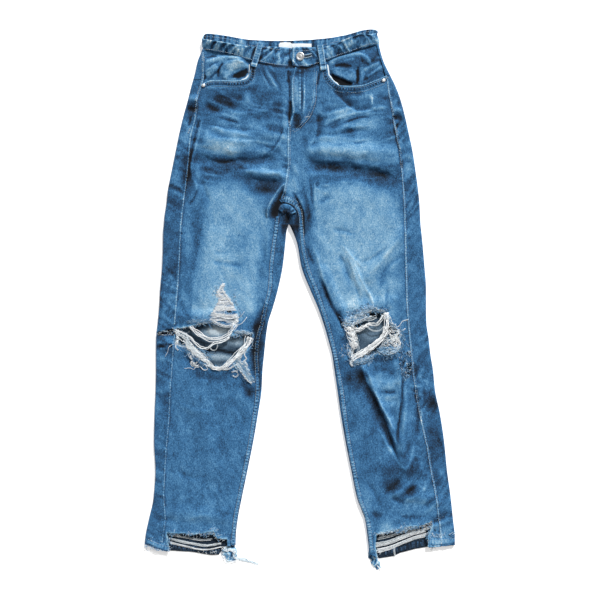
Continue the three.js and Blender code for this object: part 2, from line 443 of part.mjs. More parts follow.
// pocket bags: a flat cotton envelope open at the mouth; the facing lies in it
function bagOf(table, outline, scoop, open) {
  const rows = seatRows(table);
  const body = layer(rows, BAG_TOP, BAG_LOW - BAG_TOP).intersect(prism(outline));
  const hollow = layer(rows, BAG_TOP + BAG, BAG_LOW - BAG_TOP - 2 * BAG).intersect(prism(open));
  const mouth = layer(rows, -20, 20 + BAG_LOW - BAG).intersect(prism(scoop));
  return cutAll(body, hollow, mouth);
}
const bagR = bagOf(
  RIGHT,
  [{ x: 204.6, y: 52.6 }, { x: 222, y: 55.6 }, { x: 240, y: 60 }, { x: 252, y: 64 }, { x: 264, y: 68 }, { x: 265, y: 150 }, { x: 254, y: 163 }, { x: 216, y: 163 }, { x: 204.6, y: 150 }],
  grow(scoopR, 1),
  [{ x: 200, y: 40 }, { x: 262.6, y: 40 }, { x: 262.8, y: 149 }, { x: 253, y: 161 }, { x: 217, y: 161 }, { x: 206.8, y: 149 }, { x: 206.8, y: 101 }, { x: 200, y: 101 }],
);
const bagL = bagOf(
  LEFT,
  [{ x: 378.6, y: 49 }, { x: 364, y: 51.4 }, { x: 348, y: 57 }, { x: 333, y: 61.6 }, { x: 319, y: 66 }, { x: 319, y: 150 }, { x: 330, y: 163 }, { x: 374, y: 163 }, { x: 386, y: 150 }, { x: 386, y: 86 }, { x: 381.6, y: 70 }],
  grow(scoopL, 1),
  [{ x: 392, y: 36 }, { x: 320.8, y: 36 }, { x: 321, y: 149 }, { x: 331, y: 161 }, { x: 373, y: 161 }, { x: 384, y: 149 }, { x: 384, y: 101 }, { x: 392, y: 101 }],
);

// fly: facing under the left front, zip, then the shield on the right front's side
const flyOutline = [
  { x: 293.6, y: 70 }, { x: 315, y: 70 }, { x: 315.4, y: 100 }, { x: 311, y: 113 }, { x: 300, y: 128 }, { x: 292.6, y: 130 }, { x: 292, y: 112 },
];
const shieldOutline = [{ x: 286, y: 70 }, { x: 311, y: 70 }, { x: 310, y: 104 }, { x: 296, y: 126 }, { x: 287, y: 126 }];
const tapeOutline = [{ x: 294.6, y: 72 }, { x: 308.6, y: 72 }, { x: 307.6, y: 100 }, { x: 299, y: 121 }, { x: 294.8, y: 121 }];
const chainOutline = [{ x: 298.6, y: 80.4 }, { x: 301.6, y: 80.4 }, { x: 301.6, y: 117 }, { x: 298.6, y: 117 }];
const sliderOutline = [{ x: 297.4, y: 73 }, { x: 302.8, y: 73 }, { x: 302.8, y: 79.6 }, { x: 297.4, y: 79.6 }];
const flyFacing = layer(seatRows(LEFT), 1.6, 1).intersect(prism(flyOutline));
const flyShield = layer(seatRows(LEFT), 5.6, DENIM).intersect(prism(shieldOutline));
const tape = layer(seatRows(LEFT), 3, 0.9).intersect(prism(tapeOutline));
const chain = layer(seatRows(LEFT), 3.4, 1.9).intersect(prism(chainOutline));
const zip = tape.add(chain);
const slider = layer(seatRows(LEFT), 4.2, 1.1).intersect(prism(sliderOutline));

// waistband: a doubled strip through its stations, buttoned left over right
function bandWall() {
  const n = STATIONS.length, outer = [], inner = [], mid = 1;
  const P = STATIONS.map((s) => [new THREE.Vector3(toX(s.sx), toY(s.sy), s.sz), new THREE.Vector3(toX(s.tx), toY(s.ty), s.tz)]);
  for (let i = 0; i < n; i++) {
    const a = P[Math.max(0, i - 1)], b = P[Math.min(n - 1, i + 1)];
    const up = new THREE.Vector3().subVectors(P[i][1], P[i][0]);
    const along = new THREE.Vector3().addVectors(new THREE.Vector3().subVectors(b[0], a[0]), new THREE.Vector3().subVectors(b[1], a[1]));
    const normal = new THREE.Vector3().crossVectors(up, along).normalize(); // points out of the loop
    const o = [], m = [];
    for (let k = 0; k <= mid; k++) {
      const p = new THREE.Vector3().lerpVectors(P[i][0], P[i][1], k / mid);
      o.push(p.toArray());
      m.push(p.addScaledVector(normal, -BAND).toArray());
    }
    outer.push(o); inner.push(m);
  }
  return wall(outer, inner);
}
const holeAt = { x: 299.7, y: 56.4 };
const buttonHole = prism([
  { x: holeAt.x - 2.4, y: holeAt.y - 1.9 }, { x: holeAt.x + 6, y: holeAt.y - 1.9 }, { x: holeAt.x + 7.6, y: holeAt.y },
  { x: holeAt.x + 6, y: holeAt.y + 1.9 }, { x: holeAt.x - 2.4, y: holeAt.y + 1.9 },
], 8.1, BIG);
const band = bandWall().subtract(buttonHole);

// button and rivets
function lathe(profile, segments = 16) {
  const g = new THREE.LatheGeometry(profile.map((p) => new THREE.Vector2(p.r, p.z)), segments);
  g.rotateX(Math.PI / 2);
  return solidOf(g);
}
const buttonCap = lathe([
  { r: 0, z: -2.7 }, { r: SHANK_D / 2 - 0.6, z: -2.7 }, { r: SHANK_D / 2 - 0.6, z: 0.1 }, { r: BUTTON_D / 2 - 0.6, z: 0.1 },
  { r: BUTTON_D / 2, z: 0.9 }, { r: BUTTON_D / 2 - 0.9, z: 1.9 }, { r: BUTTON_D / 2 - 2.4, z: 1.7 }, { r: 0, z: 2.4 },
]).translate([toX(holeAt.x), toY(holeAt.y), 11.2]);
const rivetAt = (x, y) => lathe([
  { r: 0, z: 0 }, { r: RIVET_D / 2, z: 0 }, { r: RIVET_D / 2, z: 0.6 }, { r: RIVET_D / 4, z: 1.3 }, { r: 0, z: 1.4 },
], 12).translate([toX(x), toY(y), Math.max(topHeight(x - 2, y), topHeight(x + 2, y), topHeight(x, y - 2), topHeight(x, y + 2)) + 0.35]);

// belt loops
const loopFrontRight = strip([
  { x: 260.4, y: 42.6, z: 15.2 }, { x: 259.6, y: 47, z: 17 }, { x: 257.6, y: 54, z: 16.2 }, { x: 255, y: 61.4, z: 14.4 }, { x: 254, y: 67.4, z: 14 },
], LOOP_W, LOOP_T);
const loopFrontLeft = strip([
  { x: 319.4, y: 44, z: 14.4 }, { x: 320, y: 47.6, z: 16 }, { x: 321.2, y: 55, z: 15.2 }, { x: 322.2, y: 63, z: 14.2 }, { x: 322.8, y: 70.6, z: 14 },
], LOOP_W, LOOP_T);
const backLoop = (x, y0, y1) => strip([{ x, y: y0, z: 1.2 }, { x, y: (y0 + y1) / 2, z: 1.2 }, { x, y: y1, z: 1.2 }], LOOP_W, 1.2);

// back patch pockets
const patch = (cx) => prism([
  { x: cx - 31, y: 101 }, { x: cx + 31, y: 101 }, { x: cx + 30, y: 168 }, { x: cx, y: 181 }, { x: cx - 30, y: 168 },
], 0, DENIM);

// blank label inside the back of the waistband
const label = prism([{ x: 278, y: 42 }, { x: 311, y: 42 }, { x: 311, y: 56 }, { x: 278, y: 56 }], 4.1, 4.1 + LABEL_T);

// plain solids for the reach of the torn threads and tails
const over = (path, lift) => path.map((p) => ({ ...p, z: topHeight(p.x, p.y) + lift }));
const kneeThreadsR = strip(over([
  { x: 178, y: 334 }, { x: 188, y: 342 }, { x: 193.6, y: 351 }, { x: 203, y: 359 }, { x: 212, y: 364.6 },
  { x: 222, y: 363.6 }, { x: 231, y: 357 }, { x: 240, y: 346 }, { x: 247, y: 337.6 },
], 1.9), 7, 1.2);
const kneeThreadsL = strip(over([
  { x: 386, y: 315 }, { x: 386, y: 326 }, { x: 382.5, y: 335 }, { x: 370, y: 347 }, { x: 356, y: 356.6 },
], 1.9), 9, 1.2);
const hemThreadsR = strip([
  { x: 169.4, y: 541, z: 4 }, { x: 185, y: 543.5, z: 3.8 }, { x: 207, y: 546.4, z: 3.6 }, { x: 225.6, y: 545, z: 4 },
], 9, 1.2);
const hemThreadsL = strip([
  { x: 376.8, y: 548, z: 4 }, { x: 394, y: 545, z: 3.8 }, { x: 412, y: 539, z: 3.8 }, { x: 426.8, y: 531.6, z: 4 },
], 13, 1.2);
const tailR = prism([
  { x: 221.8, y: 548.4 }, { x: 236, y: 546 }, { x: 237.6, y: 555.6 }, { x: 246, y: 560 }, { x: 257.7, y: 562.8 },
  { x: 257.7, y: 565.6 }, { x: 243, y: 564 }, { x: 226, y: 561 }, { x: 222.4, y: 556.6 },
], 0, 1.6);
const tailL = prism([
  { x: 369.4, y: 555.6 }, { x: 380, y: 560 }, { x: 379.4, y: 565 }, { x: 378.8, y: 571 }, { x: 374.6, y: 571 }, { x: 371.4, y: 564 },
], 0, 1.6);

// ---------------------------------------------------------------- scene graph
const jeans = new THREE.Group();
function add(name, solid, color, roughness = 0.9, metalness = 0) {
  const bodies = solid.decompose();
  let body = bodies[0];
  for (const b of bodies) if (Math.abs(b.volume()) > Math.abs(body.volume())) body = b;
  const mesh = body.getMesh(), step = mesh.numProp, count = mesh.vertProperties.length / step;
  const position = new Float32Array(count * 3);
  for (let i = 0; i < count; i++) for (let k = 0; k < 3; k++) position[3 * i + k] = mesh.vertProperties[step * i + k];
  const g = new THREE.BufferGeometry();
  g.setAttribute('position', new THREE.BufferAttribute(position, 3));
  g.setIndex(Array.from(mesh.triVerts));
  const m = new THREE.Mesh(g, new THREE.MeshStandardMaterial({ color, roughness, metalness }));
  m.name = name;
  jeans.add(m);
}
const BLUE = 0x4a7fae, DARK = 0x2f5478, WHITE = 0xe8ebe8, THREAD = 0xdfe4e6, METAL = 0xcfd2d4;
add('front_right', frontRight, BLUE);
add('front_left', frontLeft, BLUE);
add('back_right', seatOf(backR), BLUE);
add('back_left', seatOf(backL), BLUE);
add('yoke_right', yokeOf(backR), BLUE);
add('yoke_left', yokeOf(backL), BLUE);
add('waistband', band, BLUE);
add('belt_loop_front_right', loopFrontRight, BLUE);
add('belt_loop_front_left', loopFrontLeft, BLUE);
add('belt_loop_side_right', backLoop(228, 36.6, 53.6), BLUE);
add('belt_loop_side_left', backLoop(349, 34.6, 52.4), BLUE);
add('belt_loop_back', backLoop(288, 41, 58.6), BLUE);
add('pocket_facing_right', facingR, DARK);
add('pocket_facing_left', facingL, DARK);
add('pocket_bag_right', bagR, WHITE);
add('pocket_bag_left', bagL, WHITE);
add('back_pocket_right', patch(245), BLUE);
add('back_pocket_left', patch(331), BLUE);
add('fly_facing', flyFacing, DARK);
add('fly_shield', flyShield, DARK);
add('fly_zip', zip, DARK, 0.6);
add('zip_slider', slider, METAL, 0.35, 1);
add('button', buttonCap, METAL, 0.3, 1);
add('rivet_right', rivetAt(203.6, 85.3), METAL, 0.35, 1);
add('rivet_left', rivetAt(383, 80.3), METAL, 0.35, 1);
add('waist_label', label, WHITE);
add('knee_threads_right', kneeThreadsR, THREAD);
add('knee_threads_left', kneeThreadsL, THREAD);
add('hem_threads_right', hemThreadsR, THREAD);
add('hem_threads_left', hemThreadsL, THREAD);
add('hem_tail_right', tailR, THREAD);
add('hem_tail_left', tailL, THREAD);

// origin: middle of the laid garment, on the surface it rests on
const box = new THREE.Box3().setFromObject(jeans);
const middle = box.getCenter(new THREE.Vector3());
jeans.position.set(-middle.x, -middle.y, -box.min.z);

export default jeans;
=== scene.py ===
import bpy, json, math
import numpy as np
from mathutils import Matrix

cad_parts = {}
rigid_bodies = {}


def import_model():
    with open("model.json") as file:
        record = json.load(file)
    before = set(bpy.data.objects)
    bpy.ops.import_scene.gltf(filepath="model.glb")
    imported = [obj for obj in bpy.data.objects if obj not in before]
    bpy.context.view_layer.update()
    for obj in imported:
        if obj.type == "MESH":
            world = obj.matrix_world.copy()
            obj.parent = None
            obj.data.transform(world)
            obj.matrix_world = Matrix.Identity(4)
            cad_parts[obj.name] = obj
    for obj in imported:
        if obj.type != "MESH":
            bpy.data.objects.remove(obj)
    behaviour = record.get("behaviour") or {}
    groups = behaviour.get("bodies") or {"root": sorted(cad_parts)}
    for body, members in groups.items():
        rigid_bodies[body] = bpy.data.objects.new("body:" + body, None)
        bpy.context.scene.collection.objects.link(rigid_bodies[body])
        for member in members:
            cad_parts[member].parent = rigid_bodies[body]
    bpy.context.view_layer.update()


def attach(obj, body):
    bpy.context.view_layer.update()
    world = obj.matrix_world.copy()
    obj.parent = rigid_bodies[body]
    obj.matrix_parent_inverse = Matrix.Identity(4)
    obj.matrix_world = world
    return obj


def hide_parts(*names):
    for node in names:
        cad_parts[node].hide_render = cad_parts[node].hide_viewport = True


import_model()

# ------------------------------------------------------------------ units
# Everything is laid out on the same cutting grid as the solids: 1 unit = 1.9 mm,
# x to the wearer's left, y down from the waist. Heights are in millimetres.
PX = 0.0019
OX, OY = -0.0000981, 0.0007600
CB = 288.0


def MX(x): return (np.asarray(x, float) - 299.5) * PX + OX
def MY(y): return (299.5 - np.asarray(y, float)) * PX + OY


# ------------------------------------------------------------------ section tables (as in the solids)
#         y    out    seam   inn    ins    r
RIGHT = [(38, 203.5, 203.5, 298, 298, 4.6), (50, 201, 202.6, 298, 298, 4.6), (60, 197, 202.6, 298, 298, 4.6),
         (72, 194.4, 202.7, 298, 298, 4.6), (84, 191, 200.8, 298, 298, 4.6), (98, 187.5, 196.4, 298, 298, 4.5),
         (114, 183, 195.2, 298, 298, 4.4), (132, 178.7, 190.8, 298, 298, 4.4), (152, 174.6, 188.2, 298, 298, 4.3),
         (172, 170.6, 186.2, 298, 298, 4.2), (190, 167, 184.3, 298, 298, 4.2), (204, 165.5, 182.6, 297, 278.6, 4.1),
         (216, 163.6, 181.1, 293, 277, 4), (224, 163, 180.3, 288.2, 276, 3.9), (231, 162.2, 179.9, 286, 274.8, 3.8),
         (243, 162, 179.2, 284.8, 273.4, 3.7), (266, 161.2, 178, 282.2, 270.6, 3.5), (289, 159.2, 176.6, 277.4, 269.4, 3.3),
         (307, 158.2, 175, 272.4, 264.8, 3.2), (323, 156.7, 173.7, 267.4, 261.4, 3.1), (338, 155.2, 172.8, 265.2, 257.4, 3.1),
         (354, 155, 172.1, 263.6, 255.8, 3), (370, 155, 170.8, 262, 256.4, 3), (390, 154.6, 169.3, 261, 257, 3),
         (414, 153.6, 168.5, 257.4, 254.2, 2.9), (442, 153, 166, 252.6, 249.6, 2.9), (470, 154.4, 164, 247, 244.2, 2.9),
         (498, 152.6, 163, 241.2, 238.6, 2.9), (519, 148, 164.2, 237.2, 234.6, 2.9), (536, 144.6, 162, 235.2, 232.6, 2.9),
         (548, 143.6, 161, 235, 232.4, 2.9), (560, 143.6, 160, 236, 233.4, 2.9)]
LEFT = [(38, 377.4, 377, 278, 278, 4.6), (50, 380, 378.6, 278, 278, 4.6), (60, 383, 380.6, 278, 278, 4.6),
        (72, 388.6, 384, 278, 278, 4.6), (84, 394.6, 387.4, 278, 278, 4.6), (98, 400, 389.6, 278, 278, 4.5),
        (114, 404.4, 392.6, 278, 278, 4.4), (132, 408.4, 395.6, 278, 278, 4.4), (152, 412.6, 399.6, 278, 278, 4.3),
        (172, 415.6, 401.6, 278, 278, 4.2), (190, 418, 403.2, 278, 278, 4.2), (204, 419.4, 404, 278.4, 290, 4.1),
        (216, 420, 404.4, 283.4, 299, 4), (224, 420.4, 404.6, 288.8, 299.4, 3.9), (231, 421.2, 404.8, 292.2, 299.6, 3.8),
        (243, 422.4, 405, 296.6, 301.4, 3.7), (266, 424.4, 405.8, 300.8, 306.4, 3.5), (289, 426, 406.4, 309.6, 315.2, 3.3),
        (307, 426, 407, 317.4, 321.6, 3.2), (323, 426.4, 408.2, 323, 326.6, 3.1), (338, 428.6, 409.6, 327.4, 330.8, 3.1),
        (354, 430.4, 411.2, 331.6, 334.6, 3), (370, 433, 413, 334, 337.6, 3), (390, 435, 415.4, 337, 341.2, 3),
        (414, 440, 419.8, 340.4, 344.2, 2.9), (442, 444.2, 426.2, 345.2, 348.2, 2.9), (470, 447, 430.8, 350.8, 353.6, 2.9),
        (498, 450.8, 436, 356.6, 359.4, 2.9), (519, 453, 439, 364.6, 367.2, 2.9), (536, 454.8, 440.4, 367, 369.8, 2.9),
        (548, 455, 441, 368.4, 371.2, 2.9), (560, 455, 441, 369, 371.8, 2.9)]
CENTRE_FRONT = [(294.8, 67), (292.5, 73), (291, 80), (291, 100), (292, 112), (290, 119), (288, 127), (288, 163),
                (286, 179), (284.2, 189), (280.8, 199)]
FRONT_SEAM = [(190, 49), (203, 49.8), (222, 53.2), (240, 57.4), (252, 61.6), (268, 64.6), (292, 67.2), (308, 67),
              (320, 63), (333, 58.2), (348, 53.6), (364, 47.6), (380, 44.8), (392, 44.4)]
YOKE_SEAM = [(150, 79), (205, 80), (288, 97), (386, 76), (430, 74)]
BACK_SEAM = [(190, 49.4), (204, 50.4), (226, 55), (250, 58), (288, 60), (325, 58.5), (348, 54.6), (366, 50), (380, 45.4), (392, 45)]


# ------------------------------------------------------------------ curves, noise, outlines
def hermite(xs, ys):
    """smooth, non-overshooting curve through a table, sampled finely"""
    xs, ys = np.asarray(xs, float), np.asarray(ys, float)
    h = np.diff(xs); d = np.diff(ys) / h
    m = np.zeros_like(xs); m[0], m[-1] = d[0], d[-1]
    for i in range(1, len(xs) - 1):
        m[i] = 0 if d[i - 1] * d[i] <= 0 else 2 * d[i - 1] * d[i] / (d[i - 1] + d[i])
    X = np.linspace(xs[0], xs[-1], int((xs[-1] - xs[0]) * 3) + 2)
    i = np.clip(np.searchsorted(xs, X, side="right") - 1, 0, len(xs) - 2)
    t = (X - xs[i]) / h[i]
    Y = ((2 * t ** 3 - 3 * t ** 2 + 1) * ys[i] + (t ** 3 - 2 * t ** 2 + t) * h[i] * m[i]
         + (-2 * t ** 3 + 3 * t ** 2) * ys[i + 1] + (t ** 3 - t ** 2) * h[i] * m[i + 1])
    return X, Y


COL = {"out": 1, "seam": 2, "inn": 3, "ins": 4, "r": 5}
_tab = {}
for _n, _t in (("R", RIGHT), ("L", LEFT)):
    for _c, _k in COL.items():
        _tab[_n, _c] = hermite([r[0] for r in _t], [r[_k] for r in _t])


def tab(side, col, y):
    X, Y = _tab[side, col]
    return np.interp(y, X, Y)


def seam_y(table, x):
    X, Y = hermite([p[0] for p in table], [p[1] for p in table])
    return np.interp(x, X, Y)


def smooth(a, b, v):
    t = np.clip((np.asarray(v, float) - a) / (b - a), 0, 1)
    return t * t * (3 - 2 * t)


def spline(pts, n=6):
    """Catmull-Rom through the points of a path (any number of columns)"""
    P = np.asarray(pts, float)
    if len(P) < 3:
        return np.array([P[0] + (P[-1] - P[0]) * t for t in np.linspace(0, 1, n + 1)])
    Q = np.vstack([2 * P[0] - P[1], P, 2 * P[-1] - P[-2]])
    out = []
    for i in range(1, len(Q) - 2):
        for k in range(n):
            t = k / n
            out.append(0.5 * ((2 * Q[i]) + (-Q[i - 1] + Q[i + 1]) * t + (2 * Q[i - 1] - 5 * Q[i] + 4 * Q[i + 1] - Q[i + 2]) * t * t
                              + (-Q[i - 1] + 3 * Q[i] - 3 * Q[i + 1] + Q[i + 2]) * t ** 3))
    out.append(P[-1])
    return np.array(out)


def resample(path, step):
    P = np.asarray(path, float)
    d = np.r_[0, np.cumsum(np.hypot(*np.diff(P[:, :2], axis=0).T))]
    n = max(2, int(round(d[-1] / step)) + 1)
    s = np.linspace(0, d[-1], n)
    return np.column_stack([np.interp(s, d, P[:, k]) for k in range(P.shape[1])]), s


def _hash(i, j, seed):
    n = (i.astype(np.int64) * 374761393 + j.astype(np.int64) * 668265263 + seed * 982451653) & 0xffffffff
    n = ((n ^ (n >> 13)) * 1274126177) & 0xffffffff
    return ((n ^ (n >> 16)) & 0xffff) / 65535.0


def noise(x, y, seed=0):
    """smooth value noise, -1..1, one feature per unit"""
    x, y = np.asarray(x, float), np.asarray(y, float)
    i, j = np.floor(x), np.floor(y)
    u, v = x - i, y - j
    u, v = u * u * (3 - 2 * u), v * v * (3 - 2 * v)
    a, b = _hash(i, j, seed), _hash(i + 1, j, seed)
    c, d = _hash(i, j + 1, seed), _hash(i + 1, j + 1, seed)
    return 2 * ((a * (1 - u) + b * u) * (1 - v) + (c * (1 - u) + d * u) * v) - 1


def fbm(x, y, seed=0, octaves=3):
    s, a, t = 0, 1, 0
    for k in range(octaves):
        s = s + a * noise(x * 2 ** k, y * 2 ** k, seed + 17 * k); t += a; a *= 0.5
    return s / t


def seg_dist(x, y, pts):
    """distance to a polyline, place along it 0..1, and signed side (positive on its right hand, walking on screen)"""
    P = np.asarray(pts, float)
    L = np.r_[0, np.cumsum(np.hypot(*np.diff(P, axis=0).T))]
    best = np.full(x.shape, 1e9); tt = np.zeros(x.shape); sd = np.zeros(x.shape)
    for k in range(len(P) - 1):
        ax, ay = P[k]; dx, dy = P[k + 1] - P[k]
        l2 = dx * dx + dy * dy
        t = np.clip(((x - ax) * dx + (y - ay) * dy) / l2, 0, 1)
        ex, ey = x - ax - dx * t, y - ay - dy * t
        d = np.hypot(ex, ey)
        m = d < best
        best[m] = d[m]
        tt[m] = ((L[k] + t * (L[k + 1] - L[k])) / L[-1])[m]
        sd[m] = (dx * ey - dy * ex)[m]
    return best, tt, sd


def poly_sd(x, y, poly):
    """signed distance to a closed outline, positive inside"""
    P = np.asarray(poly, float)
    inside = np.zeros(x.shape, bool)
    best = np.full(x.shape, 1e9)
    for k in range(len(P)):
        ax, ay = P[k]; bx, by = P[(k + 1) % len(P)]
        dx, dy = bx - ax, by - ay
        l2 = dx * dx + dy * dy
        if l2 < 1e-12: continue
        t = np.clip(((x - ax) * dx + (y - ay) * dy) / l2, 0, 1)
        best = np.minimum(best, np.hypot(x - ax - dx * t, y - ay - dy * t))
        c = ((ay > y) != (by > y))
        if dy != 0:
            c &= x < (bx - ax) * (y - ay) / dy + ax
        inside ^= c
    return np.where(inside, best, -best)


# ------------------------------------------------------------------ the laid form
# name of fold, two ends, half width, height: the solids' largest folds
FOLDS = [(206, 66, 238, 60, 11, 2.6), (345, 62, 374, 58, 11, 2.4), (301, 72, 300, 124, 9, 1.6), (206, 106, 240, 112, 8, -1.6),
         (206, 140, 270, 134, 10, 2.2), (200, 160, 268, 158, 8, -2.2), (283, 178, 268, 208, 7, 3.2), (308, 148, 390, 152, 10, 2.2),
         (312, 166, 394, 174, 8, -2), (402, 232, 368, 277, 9, 2.4), (322, 270, 344, 318, 8, 2.4), (214, 236, 206, 296, 14, 1.6),
         (180, 318, 232, 314, 9, 2), (160, 340, 180, 352, 8, 2.2), (346, 308, 388, 302, 9, 2), (364, 372, 396, 440, 9, 2.8),
         (402, 368, 404, 466, 9, 2.4), (396, 482, 416, 478, 9, -2), (398, 494, 438, 500, 8, 2.4), (196, 400, 214, 470, 16, 1.6),
         (176, 512, 224, 516, 10, 1.8)]

# creases placed one by one: path, half width (left, right of the path), height mm, wash, taper at the ends. The wash is
# partly the real fade of denim creases (lighter ridges, darker troughs) and partly painted: painted shade in the
# troughs and hollows, painted highlight on the lit ridges
CREASES = []


def C(pts, w, h, wash, taper=0.3, soft=2.0):
    wl, wr = w if isinstance(w, tuple) else (w, w)
    CREASES.append((spline(pts, 5) if len(pts) > 2 else np.asarray(pts, float), wl, wr, h, wash, taper, soft))


# --- right hip (at -X)
C([(209, 97), (218, 99.6), (228, 104), (238, 109.4)], 2.6, -0.7, -0.2)
C([(213, 94.5), (224, 97), (233, 101)], 1.2, -0.4, -0.12)
C([(202, 103), (211, 107), (222, 112.4)], 2.2, -0.7, -0.2)
C([(206, 99.6), (218, 104.4), (230, 110)], 0.8, 0.5, 0.1)
C([(213, 115.4), (226, 118.6), (243.6, 123.8)], (0.9, 1.7), -0.8, -0.22)
C([(218, 112.6), (230, 116), (240, 119.6)], 0.8, 0.4, 0.1)
C([(246, 113), (254, 117), (262, 120)], 1.8, -0.3, -0.09)
C([(222, 108.6), (238, 112.4), (256, 112), (272, 108)], (1.6, 3.4), 0.8, 0.13)
C([(208, 136.6), (226, 139.4), (246, 143), (262, 141)], (1.6, 3.6), 0.8, 0.12)
C([(224, 125), (240, 129.6), (258, 129.6)], (2.6, 1.2), -0.7, -0.12)
C([(322, 133), (336, 129.4), (352, 127), (372, 126)], (1.6, 3.4), 0.8, 0.14)
C([(322, 121), (334, 115), (350, 111.6)], (2.8, 1.2), 0.6, 0.12)
C([(308, 140), (322, 137.4), (338, 137.6)], (1.4, 3.0), 0.7, 0.12)
C([(203, 88.4), (220, 87.6), (240, 88), (251, 84), (256, 76)], 1.1, 0.4, 0.15, 0.15)
C([(206, 92.5), (225, 92), (240, 94.5)], 2.6, 0.5, 0.05)
C([(204.4, 124.6), (214, 127.4), (229, 131.2), (247, 135), (262, 138)], (0.9, 3.4), 0.9, 0.15)
C([(206, 122.6), (216, 125.4), (230, 129)], 0.7, -0.4, -0.1)
C([(198, 146), (218, 146), (240, 148), (262, 146)], (9, 6), 1.2, 0.10)
C([(196.5, 151.4), (205, 157.4), (219, 161.8), (240.6, 160), (260.6, 158.6), (272, 154.4), (281, 147.4)], (2.3, 6.5), -1.35, -0.15, 0.16)
C([(208, 158.6), (222, 161), (238, 159.6)], 1.6, -0.7, -0.16)
C([(192, 163), (206, 167), (222, 169.6), (240, 168)], (5, 8), -1.2, -0.10)
C([(282.4, 125), (280.6, 134), (276.6, 142), (271, 149.6), (262, 156.4)], (1.2, 0.8), -0.5, -0.16, 0.2)
C([(284, 127), (282.4, 136), (278.6, 144), (273, 151)], 0.8, 0.7, 0.12, 0.12)
C([(262, 143), (268, 146.4), (276, 146)], 1.0, -0.4, -0.12)
C([(262, 64), (270, 77), (279, 93)], 1.4, 0.8, 0.2)
C([(258.6, 67), (265, 81), (271, 94)], 1.2, 0.5, 0.13)
C([(266.5, 64), (276, 74)], 1.2, 0.6, 0.17)
C([(262, 70), (270, 87)], 1.2, -0.5, -0.14)
C([(270, 70), (278, 84), (283, 97)], 1.6, -0.5, -0.14)
C([(288, 69), (287.6, 84)], 1.0, -0.7, -0.34, 0.2)
C([(290.4, 70), (289.2, 82), (289.4, 99)], 0.9, -0.8, -0.25, 0.1)
C([(289.2, 96), (290.0, 108), (288.2, 124)], (1.0, 1.6), -1.4, -0.42, 0.25)
C([(285.4, 92), (284, 110), (285, 124), (286, 150)], 2.4, 0.5, 0.12)
C([(268, 98), (273, 112)], 6, -0.3, -0.06)
C([(240, 95), (252, 101), (256, 112)], 5, 0.3, 0.08)
C([(226, 97), (245, 98)], 3, -0.3, -0.07)
C([(242, 170), (256, 171.6), (270, 172.6), (284, 173)], (2.2, 4), 1.9, 0.14, 0.12)
C([(236, 166), (246, 168.4), (252, 169)], 1.2, -0.6, -0.14)
C([(243, 178), (258, 180), (270, 181.6), (284, 181)], (2.4, 9), -1.5, -0.15, 0.12)
C([(262, 186), (272, 192), (280, 194)], (4, 5), -0.6, -0.12)
C([(284.4, 182), (276.5, 191.5), (270.6, 200.5), (266.6, 210), (266.3, 218)], (2.6, 0.8), 2.0, 0.12, 0.12)
C([(284.5, 190), (280.6, 198), (277.6, 206), (274, 213), (271, 217)], (2.6, 2.4), -2.8, -0.20, 0.15)
C([(268, 214), (270, 204), (276, 195)], 0.6, 0.5, 0.25)
# --- right hip side: the outseam's slack falls in a long fold that turns in below the hip
C([(202.4, 115), (199.4, 130), (195, 147), (191.4, 166), (192.6, 177), (195.8, 184), (194.6, 194), (188, 203)], 0.9, 1.0, 0.14, 0.1)
C([(198.6, 118), (195.6, 132), (191.6, 150), (188.6, 168), (189, 180)], 1.1, -0.9, -0.2, 0.1)
C([(196.6, 188), (193.6, 197), (187.6, 204.6)], (1.6, 1.0), -0.9, -0.24, 0.15)
C([(199, 176), (203, 186), (206, 196), (210, 204)], (2.6, 3.4), -0.9, -0.1)
C([(187, 100.5), (192, 99), (198.4, 99)], (3.4, 2.6), 2.2, 0.27, 0.15)
C([(186, 106.8), (197.5, 107.6)], (1.2, 3.4), -1.6, -0.27, 0.15)
C([(204, 57), (212, 56.4), (218, 57)], 1.0, -0.4, -0.2)
C([(183, 117), (188, 128), (186, 136)], 1.6, 0.5, 0.12)
C([(192, 112), (187.5, 128)], 1.2, -0.5, -0.18)
C([(170, 181), (176, 184.4), (183, 187)], 0.8, 0.4, 0.12)
C([(170, 186), (182, 189)], 0.9, -0.4, -0.12)
# --- left hip (at +X)
C([(318.6, 71), (317.4, 86)], 0.9, -0.7, -0.32, 0.25)
C([(301.6, 78), (301.2, 96), (301.3, 114)], 0.8, -0.7, -0.26, 0.15)
C([(303.4, 72), (303.6, 96), (303, 116)], 0.8, 0.6, 0.16, 0.15)
C([(296, 74), (296, 96), (296.4, 108)], 3.0, 0.5, 0.12, 0.2)
C([(299.4, 66), (300, 69.6)], 8, -0.5, -0.22, 0.0)
C([(296, 112), (296.4, 120), (296.6, 129)], (3.6, 3.6), -0.8, -0.34, 0.12)
C([(316.4, 76), (315.8, 98), (310, 116), (297, 131)], 0.9, -0.5, -0.14, 0.1)
C([(314.2, 76), (313.6, 98), (308.4, 113)], 0.8, 0.3, 0.1, 0.1)
C([(316.6, 112), (317.6, 128), (314.6, 140), (308, 150)], (5.5, 0.9), -1.0, -0.18, 0.15)
C([(303, 134), (304, 146), (303, 154)], 3.4, -0.5, -0.1)
C([(330.4, 88), (338.9, 96.6), (350.3, 106.4), (361, 110.4), (374, 108)], (4.6, 0.9), -1.3, -0.26, 0.12)
C([(340, 93.6), (352, 93), (366, 95)], 2.6, -0.5, -0.14)
C([(374, 96), (382, 97), (390, 100)], 3.4, -0.4, -0.14)
C([(355, 101), (362, 97), (371, 94.6)], 2.4, 0.4, 0.10)
C([(370.8, 91.4), (371.2, 98), (372.6, 106)], 0.8, 0.3, 0.42, 0.3)
C([(367, 94), (374, 100)], 1.4, 0.2, 0.14)
C([(389.6, 107.4), (374.6, 108.6), (363, 111.4), (343, 116.4), (320, 126.6)], (0.9, 2.2), 0.9, 0.17, 0.12)
C([(388, 112), (376, 113), (362, 113.6)], 0.9, 0.6, 0.1)
